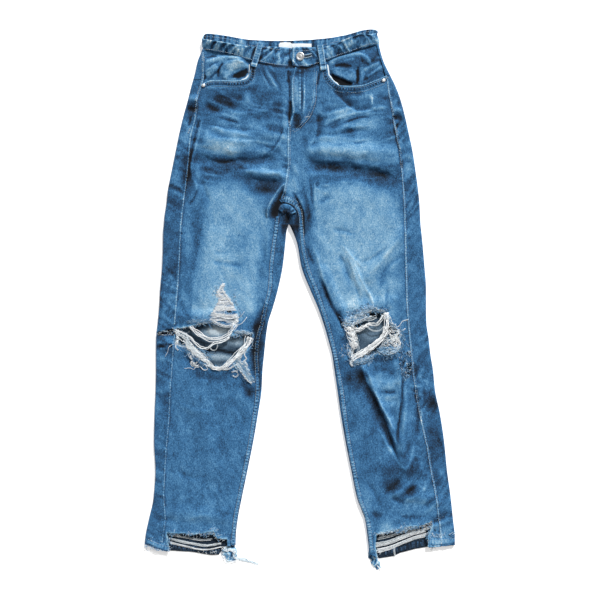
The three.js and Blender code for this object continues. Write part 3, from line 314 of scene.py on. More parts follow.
C([(373, 117), (360.3, 116.8), (347.4, 120.6), (338, 124)], (1.3, 0.8), -0.9, -0.26)
C([(370, 121.6), (350, 124), (336, 128)], 1.2, 0.5, 0.1)
C([(338, 133), (354, 131.6), (372, 130)], 3.2, -0.9, -0.15)
C([(350.6, 142.6), (358, 143), (366, 141)], 0.9, -0.6, -0.24)
C([(348, 140), (358, 140.4), (368, 138.6)], 0.9, 0.5, 0.12)
C([(324, 141), (334, 145), (346, 144)], 1.4, -0.4, -0.1)
C([(300, 151), (330, 152), (360, 154), (394, 160)], (9, 6), 1.2, 0.10)
C([(303.6, 156.6), (314.6, 162), (328.9, 164.2), (346, 164.6), (360.3, 168), (377.4, 170.6), (391.7, 177.6), (403, 184.6)], (2.3, 8.5), -1.45, -0.17, 0.14)
C([(366, 170), (380, 173.6), (392, 180)], (1.4, 3.6), -0.9, -0.2)
C([(316, 164), (330, 166.4), (344, 166)], 1.8, -0.6, -0.14)
C([(318, 169), (345, 172), (372, 175), (392, 181)], (6, 7), -1.2, -0.09)
C([(316, 180), (318, 186), (330, 190)], 2, -0.4, -0.12)
# --- left hip side
C([(391.8, 110.6), (396, 110), (402, 110.8)], (2.8, 2.2), 2.2, 0.27, 0.15)
C([(391, 116.2), (402, 117)], (1.0, 3.0), -1.6, -0.3, 0.15)
C([(397, 122), (395.6, 128)], 1.0, -0.7, -0.3)
C([(392, 124), (396.6, 140), (399.6, 155), (402, 170)], (0.9, 1.4), -0.6, -0.2, 0.12)
# --- crotch, left of the wearer
C([(290, 190), (296, 198), (301.5, 210), (303, 224), (304, 240)], 1.0, -1.3, -0.36, 0.25)
C([(294, 190), (301, 201), (305, 214), (306.5, 228)], 1.0, 0.7, 0.14, 0.25)
C([(311, 184), (312, 200), (313, 214)], 1.2, -0.6, -0.16)
C([(318, 203), (322, 200), (331, 195)], 2.6, -0.7, -0.18)
C([(322, 193), (330, 188)], 2.4, 0.7, 0.12)
C([(310, 236), (318, 262), (330.6, 299.5), (346, 326)], 1.5, 0.9, 0.16, 0.2)
C([(306, 244), (310, 258), (315, 266)], 1.4, -0.9, -0.2)
C([(319, 274), (325.5, 294), (334, 310), (343, 326), (347, 344)], (2.2, 1.8), -1.7, -0.32, 0.25)
C([(309, 176), (310.4, 190), (311.6, 208)], 0.8, -0.6, -0.16)
C([(313.6, 178), (314.6, 192), (314.4, 206)], 0.8, 0.5, 0.12)
C([(300, 176), (303, 190), (308, 206), (310, 222)], 1.0, -0.5, -0.12)
C([(314, 192), (322, 186.6), (332, 183)], 2.4, 0.7, 0.12)
C([(292, 176), (296, 186), (298, 194)], 1.6, 0.5, 0.10)
C([(291, 160), (296, 170), (300, 176)], 1.6, 0.5, 0.12)
# --- thighs
C([(212, 252), (230, 252.6)], 1.5, -0.3, -0.12)
C([(206, 260), (226, 263), (246, 265)], 2.2, -0.5, -0.13)
C([(174, 233), (188, 232)], 1.1, -0.3, -0.1)
C([(262, 222), (262, 250), (256, 290), (250, 318)], 4, -0.5, -0.1)
C([(268, 224), (266, 262)], 1.2, 0.5, 0.1)
C([(329, 228), (345, 231), (357, 234)], 1.8, -0.6, -0.1)
C([(339.5, 242), (347, 251), (365, 271)], 1.2, 0.8, 0.1)
C([(350, 254), (361, 279), (374, 306)], 1.1, 1.1, 0.13)
C([(353.6, 283), (362.5, 308)], 1.1, -0.7, -0.12)
C([(402, 232), (386, 254), (367.6, 276.5)], 2.0, 1.4, 0.12)
C([(408, 251), (389, 264), (381.6, 276.5), (380, 290)], 2.2, -1.0, -0.12)
C([(388, 286), (385.6, 298), (385, 309)], 1.5, -0.8, -0.17)
C([(392, 300), (398, 296)], 3, 0.6, 0.1)
# --- right knee surroundings
C([(156, 333.4), (164, 332), (174, 329.4)], 1.2, -2.6, -0.6, 0.05)
C([(156, 341), (164, 343.4), (173, 342.8)], 1.2, 1.4, 0.16, 0.1)
C([(155.5, 351), (162, 347.6), (170, 346)], 1.2, 0.9, 0.12, 0.1)
C([(156, 347), (166, 344.6)], 1.2, -0.8, -0.2, 0.1)
C([(180, 349), (186, 358), (194, 364), (204, 371)], 3.6, -1.0, -0.22)
C([(186, 370), (206, 376), (226, 376), (240, 372)], 5.5, -0.9, -0.2)
C([(240, 380), (247, 388), (251, 398)], 4.2, -1.2, -0.26)
C([(249, 362), (250, 376)], 3, 0.3, 0.1)
C([(258, 326), (262, 316), (266, 304)], 3.2, -0.8, -0.12)
C([(253, 330), (259, 322)], 3, -0.6, -0.2)
C([(262, 302), (256.5, 322), (252.4, 342), (251.6, 362), (253.4, 384)], (4.4, 3.0), -0.8, -0.2, 0.25)
C([(262, 372), (258, 392), (254, 420)], 2.0, -0.4, -0.12)
C([(265, 300), (259.6, 322), (256, 342), (255, 362), (256.4, 388)], (5.0, 6.0), -0.8, -0.15, 0.2)
C([(156, 334.6), (165, 333.2), (175, 330.8)], (1.4, 3.6), -1.4, -0.34, 0.08)
C([(155, 346), (163, 345), (172, 343.6)], (1.0, 2.4), -0.9, -0.2, 0.1)
# --- left knee and shin
C([(343, 247), (350, 262), (356, 280), (364, 300)], (5.0, 1.6), 1.0, 0.13)
C([(338, 250), (345, 266), (352, 286)], (1.2, 4.0), -0.8, -0.12)
C([(388, 244), (376, 255), (362, 262), (356, 262)], (3.0, 1.4), -0.7, -0.10)
C([(361, 364), (370, 386), (380, 410), (390, 436), (397, 458), (404, 470)], (0.9, 6.5), -1.5, -0.20, 0.12)
C([(363, 364), (372, 386), (382, 410), (392, 436), (399, 458)], (2.6, 0.8), 0.9, 0.13, 0.12)
C([(376, 424), (388, 446), (398, 462), (405, 468.6), (411, 458), (414, 440)], 1.5, 1.0, 0.15, 0.14)
C([(382, 424), (392, 444), (401, 457), (406, 452), (409, 438)], 2.2, -0.9, -0.13, 0.14)
C([(414, 386), (417, 402), (418, 420), (417, 438)], (1.2, 2.8), -1.2, -0.20, 0.14)
C([(419, 396), (421, 412), (420.6, 428)], 1.2, 0.8, 0.13)
C([(374, 400), (388, 402), (400, 400)], (2.8, 1.2), -0.6, -0.09)
C([(372, 380), (388, 383), (404, 380)], (3.2, 1.6), 0.5, 0.06)
C([(385, 499), (396, 492), (408, 483), (416, 473)], (1.2, 2.6), 0.9, 0.12)
C([(381, 496), (392, 487), (402, 477)], (2.8, 1.2), -1.0, -0.15)
C([(399, 504), (412, 497), (424, 487), (430, 478)], (1.2, 3.0), 0.8, 0.11)
C([(397, 500), (409, 491), (420, 481)], (2.2, 1.2), -0.9, -0.15)
C([(424, 513), (436, 503), (447, 492)], (1.2, 2.6), 0.9, 0.12)
C([(420, 510), (432, 500), (442, 488)], (2.4, 1.2), -0.8, -0.12)
C([(366, 482), (374, 492), (378, 506)], (2.6, 1.4), -0.7, -0.10)
C([(436, 428), (441, 446), (446, 466)], (1.4, 3.0), -0.8, -0.12)
# --- right shin: shallow laundered folds
C([(176, 402), (196, 410), (216, 408)], (1.4, 4.0), 0.5, 0.05)
C([(232, 400), (240, 416), (242, 438)], (4.0, 1.4), -0.5, -0.07)
C([(172, 470), (190, 478), (206, 476)], (4.0, 1.4), -0.5, -0.06)
C([(186, 520), (200, 514), (216, 517)], (1.4, 3.6), 0.5, 0.07)
C([(368, 290), (374.6, 306)], 1.1, 1.0, 0.22)
C([(336, 306), (341, 320), (345, 330)], 2.4, -1.2, -0.24)
C([(340, 336), (346, 346), (349, 352)], 3.4, -1.0, -0.22)
C([(341, 352), (346, 362)], 3.0, 0.8, 0.14)
C([(361, 362), (367.4, 381), (378.4, 400), (388.4, 419), (394.4, 432)], (0.9, 1.3), 1.7, 0.24, 0.08)
C([(358.4, 366), (364.8, 382), (375.6, 401), (385.6, 420), (391, 431)], (1.2, 9.0), -1.6, -0.24, 0.14)
C([(368, 358), (380, 361), (394, 362)], 5.6, -0.6, -0.20, 0.1)
C([(372, 368), (386, 370), (396, 372)], 4.0, -0.4, -0.16, 0.2)
C([(372, 384), (384, 386), (396, 385)], 3.6, 0.9, 0.14)
C([(383, 392), (397, 392)], 2.0, -0.8, -0.22)
C([(399, 358), (401.6, 372), (402, 388), (400.6, 404), (398, 424), (396, 446)], 1.0, -1.1, -0.3, 0.12)
C([(404.4, 380), (405, 400), (403, 424), (402, 446)], 1.5, 0.9, 0.12)
C([(390, 352), (398, 349)], 3, 0.6, 0.1)
C([(420, 388), (430, 396), (434, 410)], 3, -0.6, -0.16)
C([(391, 404), (394, 424), (392, 444)], 3, -0.6, -0.1)


C([(430, 524), (443, 518), (456, 512)], (4.4, 1.0), -1.3, -0.26, 0.1)
C([(433, 526.5), (444, 521), (455.6, 516)], (0.9, 2.6), 1.2, 0.15, 0.12)
C([(390, 497), (397, 500.6), (406, 502)], 2.6, -0.8, -0.15)
C([(371, 510), (376, 514), (382, 517)], 2.6, -0.8, -0.15)
C([(396, 516), (412, 517.6), (430, 516.6)], (2.4, 1.2), -0.7, -0.13)
C([(150, 516), (160, 519), (176, 520)], 3.0, -0.8, -0.12)
C([(212, 508), (222, 514), (232, 512)], 2.4, -0.7, -0.13)
C([(172, 533), (173.4, 543)], 1.0, 0.5, 0.14)
C([(196, 512), (206, 508), (216, 500)], 2.0, 0.6, 0.08)


def crease_fields(x, y):
    H = np.zeros(x.shape); W = np.zeros(x.shape)
    for pts, wl, wr, h, wash, taper, soft in CREASES:
        m = 3 * max(wl, wr)
        k = np.nonzero((x > pts[:, 0].min() - m) & (x < pts[:, 0].max() + m) & (y > pts[:, 1].min() - m) & (y < pts[:, 1].max() + m))[0]
        if not len(k): continue
        xx, yy = x[k], y[k]
        wob = 0.35 * min(wl, wr) * noise(xx * 0.16, yy * 0.16, 5)
        d, t, s = seg_dist(xx + wob, yy - wob, pts)
        w = np.where(s > 0, wr, wl)
        g = np.exp(-np.abs(d / w) ** soft)
        if taper > 0:
            g = g * smooth(0, taper, t) * smooth(0, taper, 1 - t)
        g = g * (1 + 0.25 * noise(xx * 0.12, yy * 0.12, 9))
        wide = float(smooth(2.2, 3.6, max(wl, wr)))
        # W: crease wash, partly the fade of ridges and the dark of troughs, partly painted shade in the troughs and
        # painted highlight on the ridges
        H[k] += (1.35 + 0.85 * wide) * h * g; W[k] += (1.2 - 0.35 * wide) * wash * g
    return np.where(H < -2.4, -2.4 - 1.8 * np.tanh((-H - 2.4) / 1.8), H), W


def edge_dist(x, y):
    side = np.where(x < CB, 0, 1)
    out = np.where(side == 0, tab("R", "out", y), tab("L", "out", y))
    inn = np.where(side == 0, tab("R", "inn", y), tab("L", "inn", y))
    hip = 1 - smooth(214, 232, y)
    return np.minimum(np.abs(x - out), np.abs(x - inn) * (1 - hip) + 30 * hip)


def base_top(x, y):
    oR, oL = tab("R", "out", y), tab("L", "out", y)
    R = x < CB
    out = np.where(R, oR, oL)
    inn = np.where(R, tab("R", "inn", y), tab("L", "inn", y))
    r = np.where(R, tab("R", "r", y), tab("L", "r", y))
    hip = 1 - smooth(196, 236, y)
    sh = np.clip((x - oR) / (oL - oR), 0, 1)
    sl = np.clip((x - inn) / (out - inn), 0, 1)
    crown = (1 - hip) * 1.5 * (1 - np.abs(2 * sl - 1) ** 4) + hip * 2.4 * (1 - np.abs(2 * sh - 1) ** 3)
    edge = np.minimum(np.abs(x - out), np.abs(x - inn) * (1 - hip) + 30 * hip)
    mask = smooth(2, 12, edge)
    z = 2 * r + crown
    for x1, y1, x2, y2, w, h in FOLDS:
        dx, dy = x2 - x1, y2 - y1
        t = np.clip(((x - x1) * dx + (y - y1) * dy) / (dx * dx + dy * dy), 0, 1)
        d = np.hypot(x - x1 - dx * t, y - y1 - dy * t) / w
        z = z + mask * h * np.where(d < 1, (1 - d * d) ** 2, 0)
    return z


def streaks(x, y):
    """short pressed-in creases that follow the pull of the cloth, -1 .. 1, different on each part"""
    out = np.zeros(x.shape)
    sR, sL = tab("R", "seam", y), tab("L", "seam", y)
    mid = (x > sR) & (x < sL)
    hipm = smooth(84, 98, y) * smooth(190, 176, y)
    for ang, fu, fv, amp, seed, m in ((14, 0.040, 0.165, 1.35, 511, mid * hipm * smooth(292, 284, x)), (-12, 0.040, 0.165, 1.35, 513, mid * hipm * smooth(304, 312, x)),
                                      (28, 0.05, 0.26, 1.35, 515, (x <= sR) * smooth(90, 110, y)), (-48, 0.06, 0.26, 1.5, 517, (x >= sL) * smooth(84, 100, y)),
                                      (64, 0.05, 0.18, 0.45, 519, mid * (x < 290) * smooth(196, 210, y)), (-58, 0.05, 0.18, 0.5, 521, mid * (x > 290) * smooth(196, 210, y))):
        a = math.radians(ang); c, s_ = math.cos(a), math.sin(a)
        u, v = x * c + y * s_, -x * s_ + y * c
        v = v + 2.6 * noise(x * 0.05, y * 0.05, seed + 40)
        r = 1 - 3.0 * np.abs(noise(u * fu, v * fv, seed)) + 0.36 * noise(u * fu * 2.2, v * fv * 2.1, seed + 60)
        gate = 0.45 + 0.9 * smooth(-0.25, 0.45, noise(x * 0.035, y * 0.035, seed + 20))
        out = out + amp * gate * m * np.clip(r - 0.22, -1, 0.9)
    return out


def top_z(x, y):
    """height in mm of the outer face of the upper layer, and its wash from the creases: fade plus painted shade in the
    troughs and painted highlight on the ridges
    """
    x, y = np.asarray(x, float), np.asarray(y, float)
    H, W = crease_fields(x, y)
    m = smooth(0.8, 4.5, edge_dist(x, y))
    ripple = 0.75 * fbm(x * 0.075, y * 0.05, 3, 3) + 0.17 * fbm(x * 0.42, y * 0.26, 31, 2)
    k = streaks(x, y)
    return base_top(x, y) + (H + ripple * 1.2 + 0.34 * k) * m, W + 0.062 * k


# ------------------------------------------------------------------ wash: how far the indigo has gone, 0 raw .. 1 bare weft; on the cloth it also carries painted shade and painted highlight, from the creases, the patches and a few named spots
# soft patches: centre, radii, turn in degrees, change, edge (1 soft .. 0.2 sharp). They are partly fades of the cloth
# and partly painted light: painted shade on the shaded sides of folds, along the inner edges of the legs, in the
# crotch, on the cloth under the tears and under the loose threads at the tear edges, and painted highlight on the lit
# hip folds
PATCHES = [
    (214, 272, 26, 54, 0, 0.06, 0.8), (250, 296, 18, 28, 10, 0.06, 0.9), (346, 304, 26, 24, -20, 0.06, 0.9), (366, 240, 30, 44, 0, 0.05, 0.9),
    (224, 146, 30, 12, 4, 0.12, 1), (352, 152, 52, 12, 2, 0.13, 1), (350, 190, 34, 12, 4, 0.10, 1), (226, 190, 30, 14, 0, 0.04, 1),
    (208, 102, 30, 20, 0, -0.08, 1), (232, 140, 44, 20, 3, 0.06, 1), (352, 146, 52, 22, 2, 0.08, 1), (300, 170, 14, 30, 0, 0.06, 1),
    (186, 270, 12, 80, 0, 0.10, 0.8), (204, 312, 18, 16, 0, 0.10, 1), (168, 320, 10, 14, 0, 0.05, 1), (262, 196, 22, 12, 0, -0.05, 1), (274, 110, 12, 26, 0, -0.03, 1),
    (432, 440, 12, 56, 0, -0.15, 1), (394, 474, 22, 20, 0, -0.12, 1), (370, 470, 10, 20, 0, -0.06, 1),
    (196, 518, 48, 16, 0, 0.08, 1), (404, 508, 36, 14, 0, 0.06, 1), (366, 526, 10, 14, 0, 0.1, 1), (447, 528, 10, 16, 0, 0.1, 1),
    (165, 344, 14, 12, 0, -0.06, 1), (344, 368, 12, 26, -10, -0.14, 1),
    (206, 70, 14, 14, 0, 0.04, 1), (168, 180, 16, 60, 0, -0.03, 1), (412, 220, 12, 90, 0, 0.02, 1),
    (270, 116, 22, 30, 0, -0.05, 1), (320, 104, 14, 26, 0, -0.02, 1), (262, 186, 26, 12, 0, -0.05, 1),
    (205, 372, 42, 14, 0, -0.03, 1), (208, 424, 40, 40, 0, -0.01, 1), (386, 376, 20, 14, 0, -0.02, 1),
    (206, 350, 60, 24, 0, 0.03, 1), (376, 320, 36, 22, 0, 0.06, 1),
    (259, 345, 9, 48, 6, -0.16, 0.9), (354, 384, 12, 20, -22, -0.13, 0.9), (380, 374, 13, 9, 0, 0.10, 0.9), (388, 400, 9, 16, -16, 0.07, 0.9), (385, 391.6, 9, 2.6, 0, -0.16, 0.9),
    (421, 386, 12, 18, 0, 0.08, 1), (436, 404, 6, 16, 6, -0.12, 1), (441, 540, 15, 8, 0, 0.12, 0.4), (157, 545, 12, 7, 14, 0.04, 0.5),
    (410, 490, 10, 9, 0, -0.16, 1), (390, 470, 18, 9, 0, -0.08, 1), (450, 470, 8, 9, 0, -0.10, 1), (360, 452, 14, 9, 0, -0.08, 1), (430, 430, 9, 9, 0, -0.10, 1), (398, 410, 16, 9, 0, -0.08, 1), (376, 390, 14, 9, 0, -0.10, 1), (372, 370, 16, 9, -20, -0.13, 1), (408, 370, 7, 9, 0, -0.08, 1),
    (190, 352, 9, 6, 0, -0.08, 1), (270, 330, 7, 9, 0, -0.10, 1), (330, 330, 8, 9, 0, -0.08, 1), (185, 326, 14, 6, 0, 0.08, 1), (350, 306, 10, 8, 0, 0.08, 1), (390, 304, 8, 8, 0, -0.07, 1), (390, 270, 9, 9, 0, -0.08, 1), (410, 268, 8, 10, 0, 0.07, 1), (190, 250, 9, 12, 0, 0.08, 1), (280, 250, 9, 9, 0, -0.06, 1),
    (270, 208, 10, 9, 0, -0.06, 1), (310, 214, 8, 20, 0, -0.09, 1), (350, 210, 9, 9, 0, 0.08, 1), (410, 208, 8, 9, 0, 0.08, 1), (390, 190, 9, 9, 0, -0.07, 1), (230, 190, 9, 8, 0, -0.05, 1), (410, 160, 8, 16, 0, 0.08, 1), (215, 150, 20, 9, 0, 0.06, 1), (315, 150, 20, 9, 0, 0.07, 1), (290, 130, 8, 9, 0, -0.06, 1),
    (350, 130, 8, 9, 0, -0.06, 1), (210, 110, 18, 9, 0, -0.07, 1), (345, 110, 18, 9, 0, 0.05, 1), (250, 88, 14, 8, 0, -0.06, 1), (190, 90, 6, 8, 0, -0.05, 1),
    (349, 320.6, 3.2, 1.5, -32, -0.5, 0.5), (356, 317, 3.6, 1.5, -26, -0.5, 0.5), (363, 313, 3.2, 1.4, -20, -0.5, 0.5), (352.6, 325, 2.6, 1.2, -10, -0.45, 0.5), (361, 319.6, 3.0, 1.2, -20, -0.45, 0.5), (232, 311.6, 5, 1.2, 0, -0.5, 0.5), (229, 319.4, 5, 1.0, 10, -0.45, 0.5),
    (350, 190, 12, 9, 0, -0.08, 1), (230, 190, 10, 8, 0, -0.06, 1), (350, 130, 9, 9, 0, -0.06, 1), (170, 312, 14, 16, 0, 0.04, 1), (410, 490, 9, 9, 0, -0.10, 1), (450, 468, 8, 9, 0, -0.08, 1), (390, 530, 12, 8, 0, 0.08, 1), (272, 330, 7, 9, 0, -0.08, 1), (170, 548, 12, 6, 0, -0.06, 1), (214, 168, 12, 6, 0, 0.05, 1),
    (230, 150, 36, 9, 0, 0.08, 1), (335, 150, 22, 9, 0, 0.06, 1), (395, 150, 10, 9, 0, 0.06, 1), (390, 450, 8, 9, 0, 0.10, 1), (410, 470, 9, 9, 0, -0.09, 1), (412, 490, 9, 8, 0, -0.08, 1), (190, 308, 10, 10, 0, 0.08, 1), (250, 308, 8, 9, 0, 0.06, 1), (350, 304, 9, 8, 0, 0.06, 1),
    (350, 130, 9, 9, 0, -0.06, 1), (290, 128, 8, 9, 0, -0.06, 1), (228, 128, 12, 8, 0, -0.06, 1), (228, 108, 10, 9, 0, -0.07, 1), (300, 72, 16, 8, 0, -0.07, 1),
    (198, 321, 14, 2.4, 0, 0.22, 1), (392, 448, 7, 8, 0, 0.12, 1), (412, 478, 9, 14, 0, -0.10, 1), (285, 212, 26, 16, 0, -0.06, 1), (225, 148, 34, 8, 0, 0.08, 1), (390, 150, 14, 9, 0, 0.07, 1), (250, 168, 9, 8, 0, 0.07, 1), (410, 168, 8, 9, 0, 0.07, 1),
    (375, 373, 36, 8, 0, -0.07, 1), (270, 330, 8, 10, 0, -0.10, 1), (255, 352, 6, 9, 0, -0.07, 1), (252, 392, 7, 9, 0, -0.07, 1), (407, 371, 5.0, 7.0, 0, -0.5, 0.6), (408.4, 354, 3.2, 2.2, 0, -0.45, 0.6), (403, 362, 2.0, 5, 8, -0.3, 0.6), (284, 212, 26, 20, 0, -0.14, 1), (388, 528, 15, 8, -10, 0.12, 1), (178, 300, 18, 48, 0, 0.06, 1), (350, 303, 14, 10, 0, 0.13, 1), (394, 488, 13, 9, 0, -0.13, 1), (366, 374, 12, 10, -24, -0.12, 1), (404, 310, 8, 30, 0, 0.07, 1), (366, 268, 12, 12, 0, 0.08, 1), (185, 172, 9, 40, 3, -0.05, 1), (250, 68, 22, 9, 0, -0.05, 1), (290, 186, 9, 12, 0, 0.05, 1),
    (345, 310, 8, 16, -14, -0.08, 1), (356, 315, 13, 5, -24, -0.20, 1), (384, 308, 10, 3.4, 4, -0.14, 1), (400, 338, 5, 12, 0, -0.10, 1), (351, 362, 8, 4, 10, -0.16, 1), (242, 371, 9, 8, 40, -0.16, 1), (199, 321, 13, 3, -8, -0.12, 1), (384, 357, 15, 6, 0, -0.06, 1), (404, 535, 30, 10, -14, 0.05, 1),
    (218, 146, 30, 16, 2, 0.13, 1), (228, 150, 18, 9, 2, 0.10, 1), (326, 146, 30, 15, 0, 0.14, 1), (390, 150, 22, 18, 6, 0.15, 1), (240, 136, 50, 26, 0, 0.04, 1), (350, 136, 46, 30, 0, 0.05, 1), (368, 124, 22, 14, -4, 0.15, 1), (348, 110, 24, 12, -8, 0.18, 1), (268, 170, 18, 9, 4, 0.12, 1), (348, 166, 14, 8, 4, 0.08, 1), (405, 168, 9, 12, 0, 0.12, 1), (290, 186, 10, 12, 0, 0.14, 1), (276, 150, 18, 12, 0, 0.07, 1),
    (188, 172, 10, 34, 3, -0.20, 0.9), (190, 104, 12, 26, 0, -0.08, 1), (228, 90, 24, 9, 0, -0.08, 1), (250, 88, 14, 12, 0, -0.10, 1), (407, 168, 9, 14, 0, 0.16, 0.9), (306, 216, 9, 26, -6, -0.26, 1), (262, 206, 12, 12, 0, -0.10, 1), (172, 304, 9, 22, 0, 0.08, 1), (224, 312, 30, 14, 0, 0.04, 1), (258, 192, 14, 9, -24, -0.10, 1), (236, 174, 24, 8, 6, -0.06, 1), (384, 182, 16, 7, 10, -0.08, 1),
    (186, 232, 10, 22, 0, 0.11, 1), (264, 70, 34, 12, 4, -0.15, 1), (236, 88, 18, 7, 0, -0.10, 1), (312, 68, 18, 8, 0, -0.14, 1), (258, 190, 22, 10, -16, -0.10, 1), (186, 240, 9, 22, 0, 0.10, 1), (210, 168, 20, 6, 4, -0.08, 1), (296, 92, 8, 18, 0, 0.08, 1), (192, 108, 9, 18, 0, -0.08, 1),
    (167, 292, 9, 26, 0, 0.10, 1), (192, 308, 14, 14, 0, 0.08, 1), (250, 304, 12, 14, 0, 0.08, 1), (250, 392, 9, 16, 0, -0.12, 1), (166, 352, 12, 8, 0, -0.08, 1),
    (368, 440, 12, 26, -14, -0.09, 1), (392, 486, 17, 12, 0, -0.17, 1), (412, 466, 13, 14, 0, -0.11, 1), (450, 474, 9, 22, 0, -0.10, 1), (430, 402, 9, 18, -22, -0.16, 0.9), (412, 368, 9, 14, 0, -0.10, 1),
    (386, 526, 16, 9, -12, 0.08, 1), (386, 370, 16, 12, 0, -0.10, 1), (356, 368, 10, 12, -20, -0.10, 1), (388, 410, 10, 12, 0, -0.10, 1), (366, 546, 8, 12, 0, 0.12, 1), (440, 534, 16, 14, 0, 0.08, 1), (366, 500, 8, 20, 0, 0.07, 1), (240, 240, 26, 26, 0, -0.05, 1), (232, 268, 24, 14, 0, -0.03, 1), (384, 276, 8, 22, 12, -0.09, 1), (410, 250, 8, 24, 0, -0.05, 1),
]


# the worn fronts of both thighs: outline, softness of the edge outside and inside it, change
FADES = [([(201, 184), (232, 182), (262, 186), (271, 204), (270, 250), (264, 290), (256, 316), (238, 326), (206, 320), (191.5, 322), (191.4, 290), (195, 262), (199, 243), (202.6, 222), (202, 204)], 4, 12, 0.215),
         ([(309, 188), (345, 182), (394, 188), (403, 214), (404, 250), (402, 290), (396, 318), (372, 310), (346, 330), (334, 310), (319, 274), (309, 244), (306, 214)], 4, 12, 0.225),
         ([(360, 361), (399, 359), (402, 378), (400, 419), (394.4, 434), (388.6, 420.4), (378.6, 401), (367.6, 382)], 0.6, 3.5, 0.125)]


def patch_field(x, y):
    W = np.zeros(x.shape)
    for poly, so, si, amp in FADES:
        px_, py_ = [p[0] for p in poly], [p[1] for p in poly]
        k = np.nonzero((x > min(px_) - 8) & (x < max(px_) + 8) & (y > min(py_) - 8) & (y < max(py_) + 8))[0]
        if len(k):
            xx, yy = x[k], y[k]
            sd = poly_sd(xx, yy, poly) + 0.2 * si * fbm(xx * 0.06, yy * 0.06, 79, 2)
            W[k] += amp * smooth(-so, si, sd)
    for cx, cy, rx, ry, turn, amp, edge in PATCHES:
        a = math.radians(turn); c, s = math.cos(a), math.sin(a)
        u = ((x - cx) * c + (y - cy) * s) / rx
        v = (-(x - cx) * s + (y - cy) * c) / ry
        d = np.hypot(u, v) + 0.12 * noise(x * 0.05, y * 0.05, 77)
        W += amp * (1 - smooth(1 - edge, 1.0, d))
    return W


MID = 0.44


def wash_and_shade_of(x, y, W):
    """crease wash and painted crease shade + patches (fades, painted shade and painted highlight) + unevenness"""
    w = MID + W + patch_field(x, y)
    # the thigh fade of the right leg stops along a straight pressed edge
    ex = np.interp(y, [200, 222, 243, 260, 289, 318, 330], [208, 203, 199, 196, 192.5, 191, 191])
    k = smooth(196, 226, y) * (1 - smooth(322, 332, y)) * (x < CB)
    w = w - k * (0.11 * (1 - smooth(-1.2, 0.8, x - ex))) * smooth(176, 184, x)
    w = w - k * 0.06 * (1 - smooth(-2, 2, x - 180)) * smooth(150, 160, x)
    w = w + 0.035 * fbm(x * 0.09, y * 0.06, 41, 3) + 0.03 * fbm(x * 0.5, y * 0.16, 43, 2)
    hip = smooth(84, 100, y) * smooth(212, 190, y)
    w = w + 0.20 * hip * (w - 0.44)
    w = np.where(w > 0.60, w - 0.55 * hip * smooth(110, 124, y) * (w - 0.60), w)
    w = np.where(w > 0.68, 0.68 + (w - 0.68) * 0.6, w)
    veins = np.exp(-((x - 419) / 11) ** 2 - ((y - 386) / 24) ** 2) + 0.6 * np.exp(-((x - 176) / 12) ** 2 - ((y - 300) / 40) ** 2) + 0.5 * np.exp(-((x - 420) / 12) ** 2 - ((y - 470) / 40) ** 2)
    w = w + 0.30 * veins * np.clip(0.75 - 4.0 * np.abs(noise(x * 0.17 + 0.05 * y, y * 0.13 - 0.04 * x, 613)), -0.4, 1)
    return w


# ------------------------------------------------------------------ meshes
def clip_mesh(P, F, T):
    """keeps the part of a triangle mesh where F > 0; P is (n, k) with any columns"""
    F = np.where(np.abs(F) < 0.04, 0.04, F)
    s = F[T] > 0
    k = s.sum(1)
    keep = [T[k == 3]]
    edges, tris1, tris2 = [], T[k == 1], T[k == 2]
    N = len(P)
    s1, s2 = s[k == 1], s[k == 2]
    r1 = np.argmax(s1, axis=1); r2 = np.argmax(~s2, axis=1)
    idx = np.arange(3)
    a1 = np.take_along_axis(tris1, (r1[:, None] + idx) % 3, 1)
    a2 = np.take_along_axis(tris2, (r2[:, None] + idx) % 3, 1)
    E = np.vstack([a1[:, [0, 1]], a1[:, [0, 2]], a2[:, [0, 1]], a2[:, [0, 2]]])
    Es = np.sort(E, axis=1)
    if len(Es):
        uniq, inv = np.unique(Es, axis=0, return_inverse=True)
        inv = inv.ravel()
        fa, fb = F[uniq[:, 0]], F[uniq[:, 1]]
        t = (fa / (fa - fb))[:, None]
        new = P[uniq[:, 0]] * (1 - t) + P[uniq[:, 1]] * t
        P = np.vstack([P, new])
        n1, n2 = len(a1), len(a2)
        i01, i02 = N + inv[:n1], N + inv[n1:2 * n1]
        j01, j02 = N + inv[2 * n1:2 * n1 + n2], N + inv[2 * n1 + n2:]
        keep.append(np.column_stack([a1[:, 0], i01, i02]))
        keep.append(np.column_stack([j01, a2[:, 1], a2[:, 2]]))
        keep.append(np.column_stack([j01, a2[:, 2], j02]))
    T = np.vstack(keep)
    used = np.unique(T)
    back = np.full(len(P), -1); back[used] = np.arange(len(used))
    return P[used], back[T]


def grid_tris(rows, cols, wrap=False):
    i, j = np.meshgrid(np.arange(rows - 1), np.arange(cols if wrap else cols - 1), indexing="ij")
    a = i * cols + j; b = i * cols + (j + 1) % cols; c = (i + 1) * cols + (j + 1) % cols; d = (i + 1) * cols + j
    flip = ((i + j) % 2 == 0)
    t1 = np.where(flip[..., None], np.stack([a, b, c], -1), np.stack([a, b, d], -1)).reshape(-1, 3)
    t2 = np.where(flip[..., None], np.stack([a, c, d], -1), np.stack([b, c, d], -1)).reshape(-1, 3)
    return np.vstack([t1, t2])


def vertex_normals(V, T):
    n = np.cross(V[T[:, 1]] - V[T[:, 0]], V[T[:, 2]] - V[T[:, 0]])
    N = np.zeros_like(V)
    for k in range(3):
        np.add.at(N, T[:, k], n)
    return N / np.maximum(np.linalg.norm(N, axis=1, keepdims=True), 1e-12)


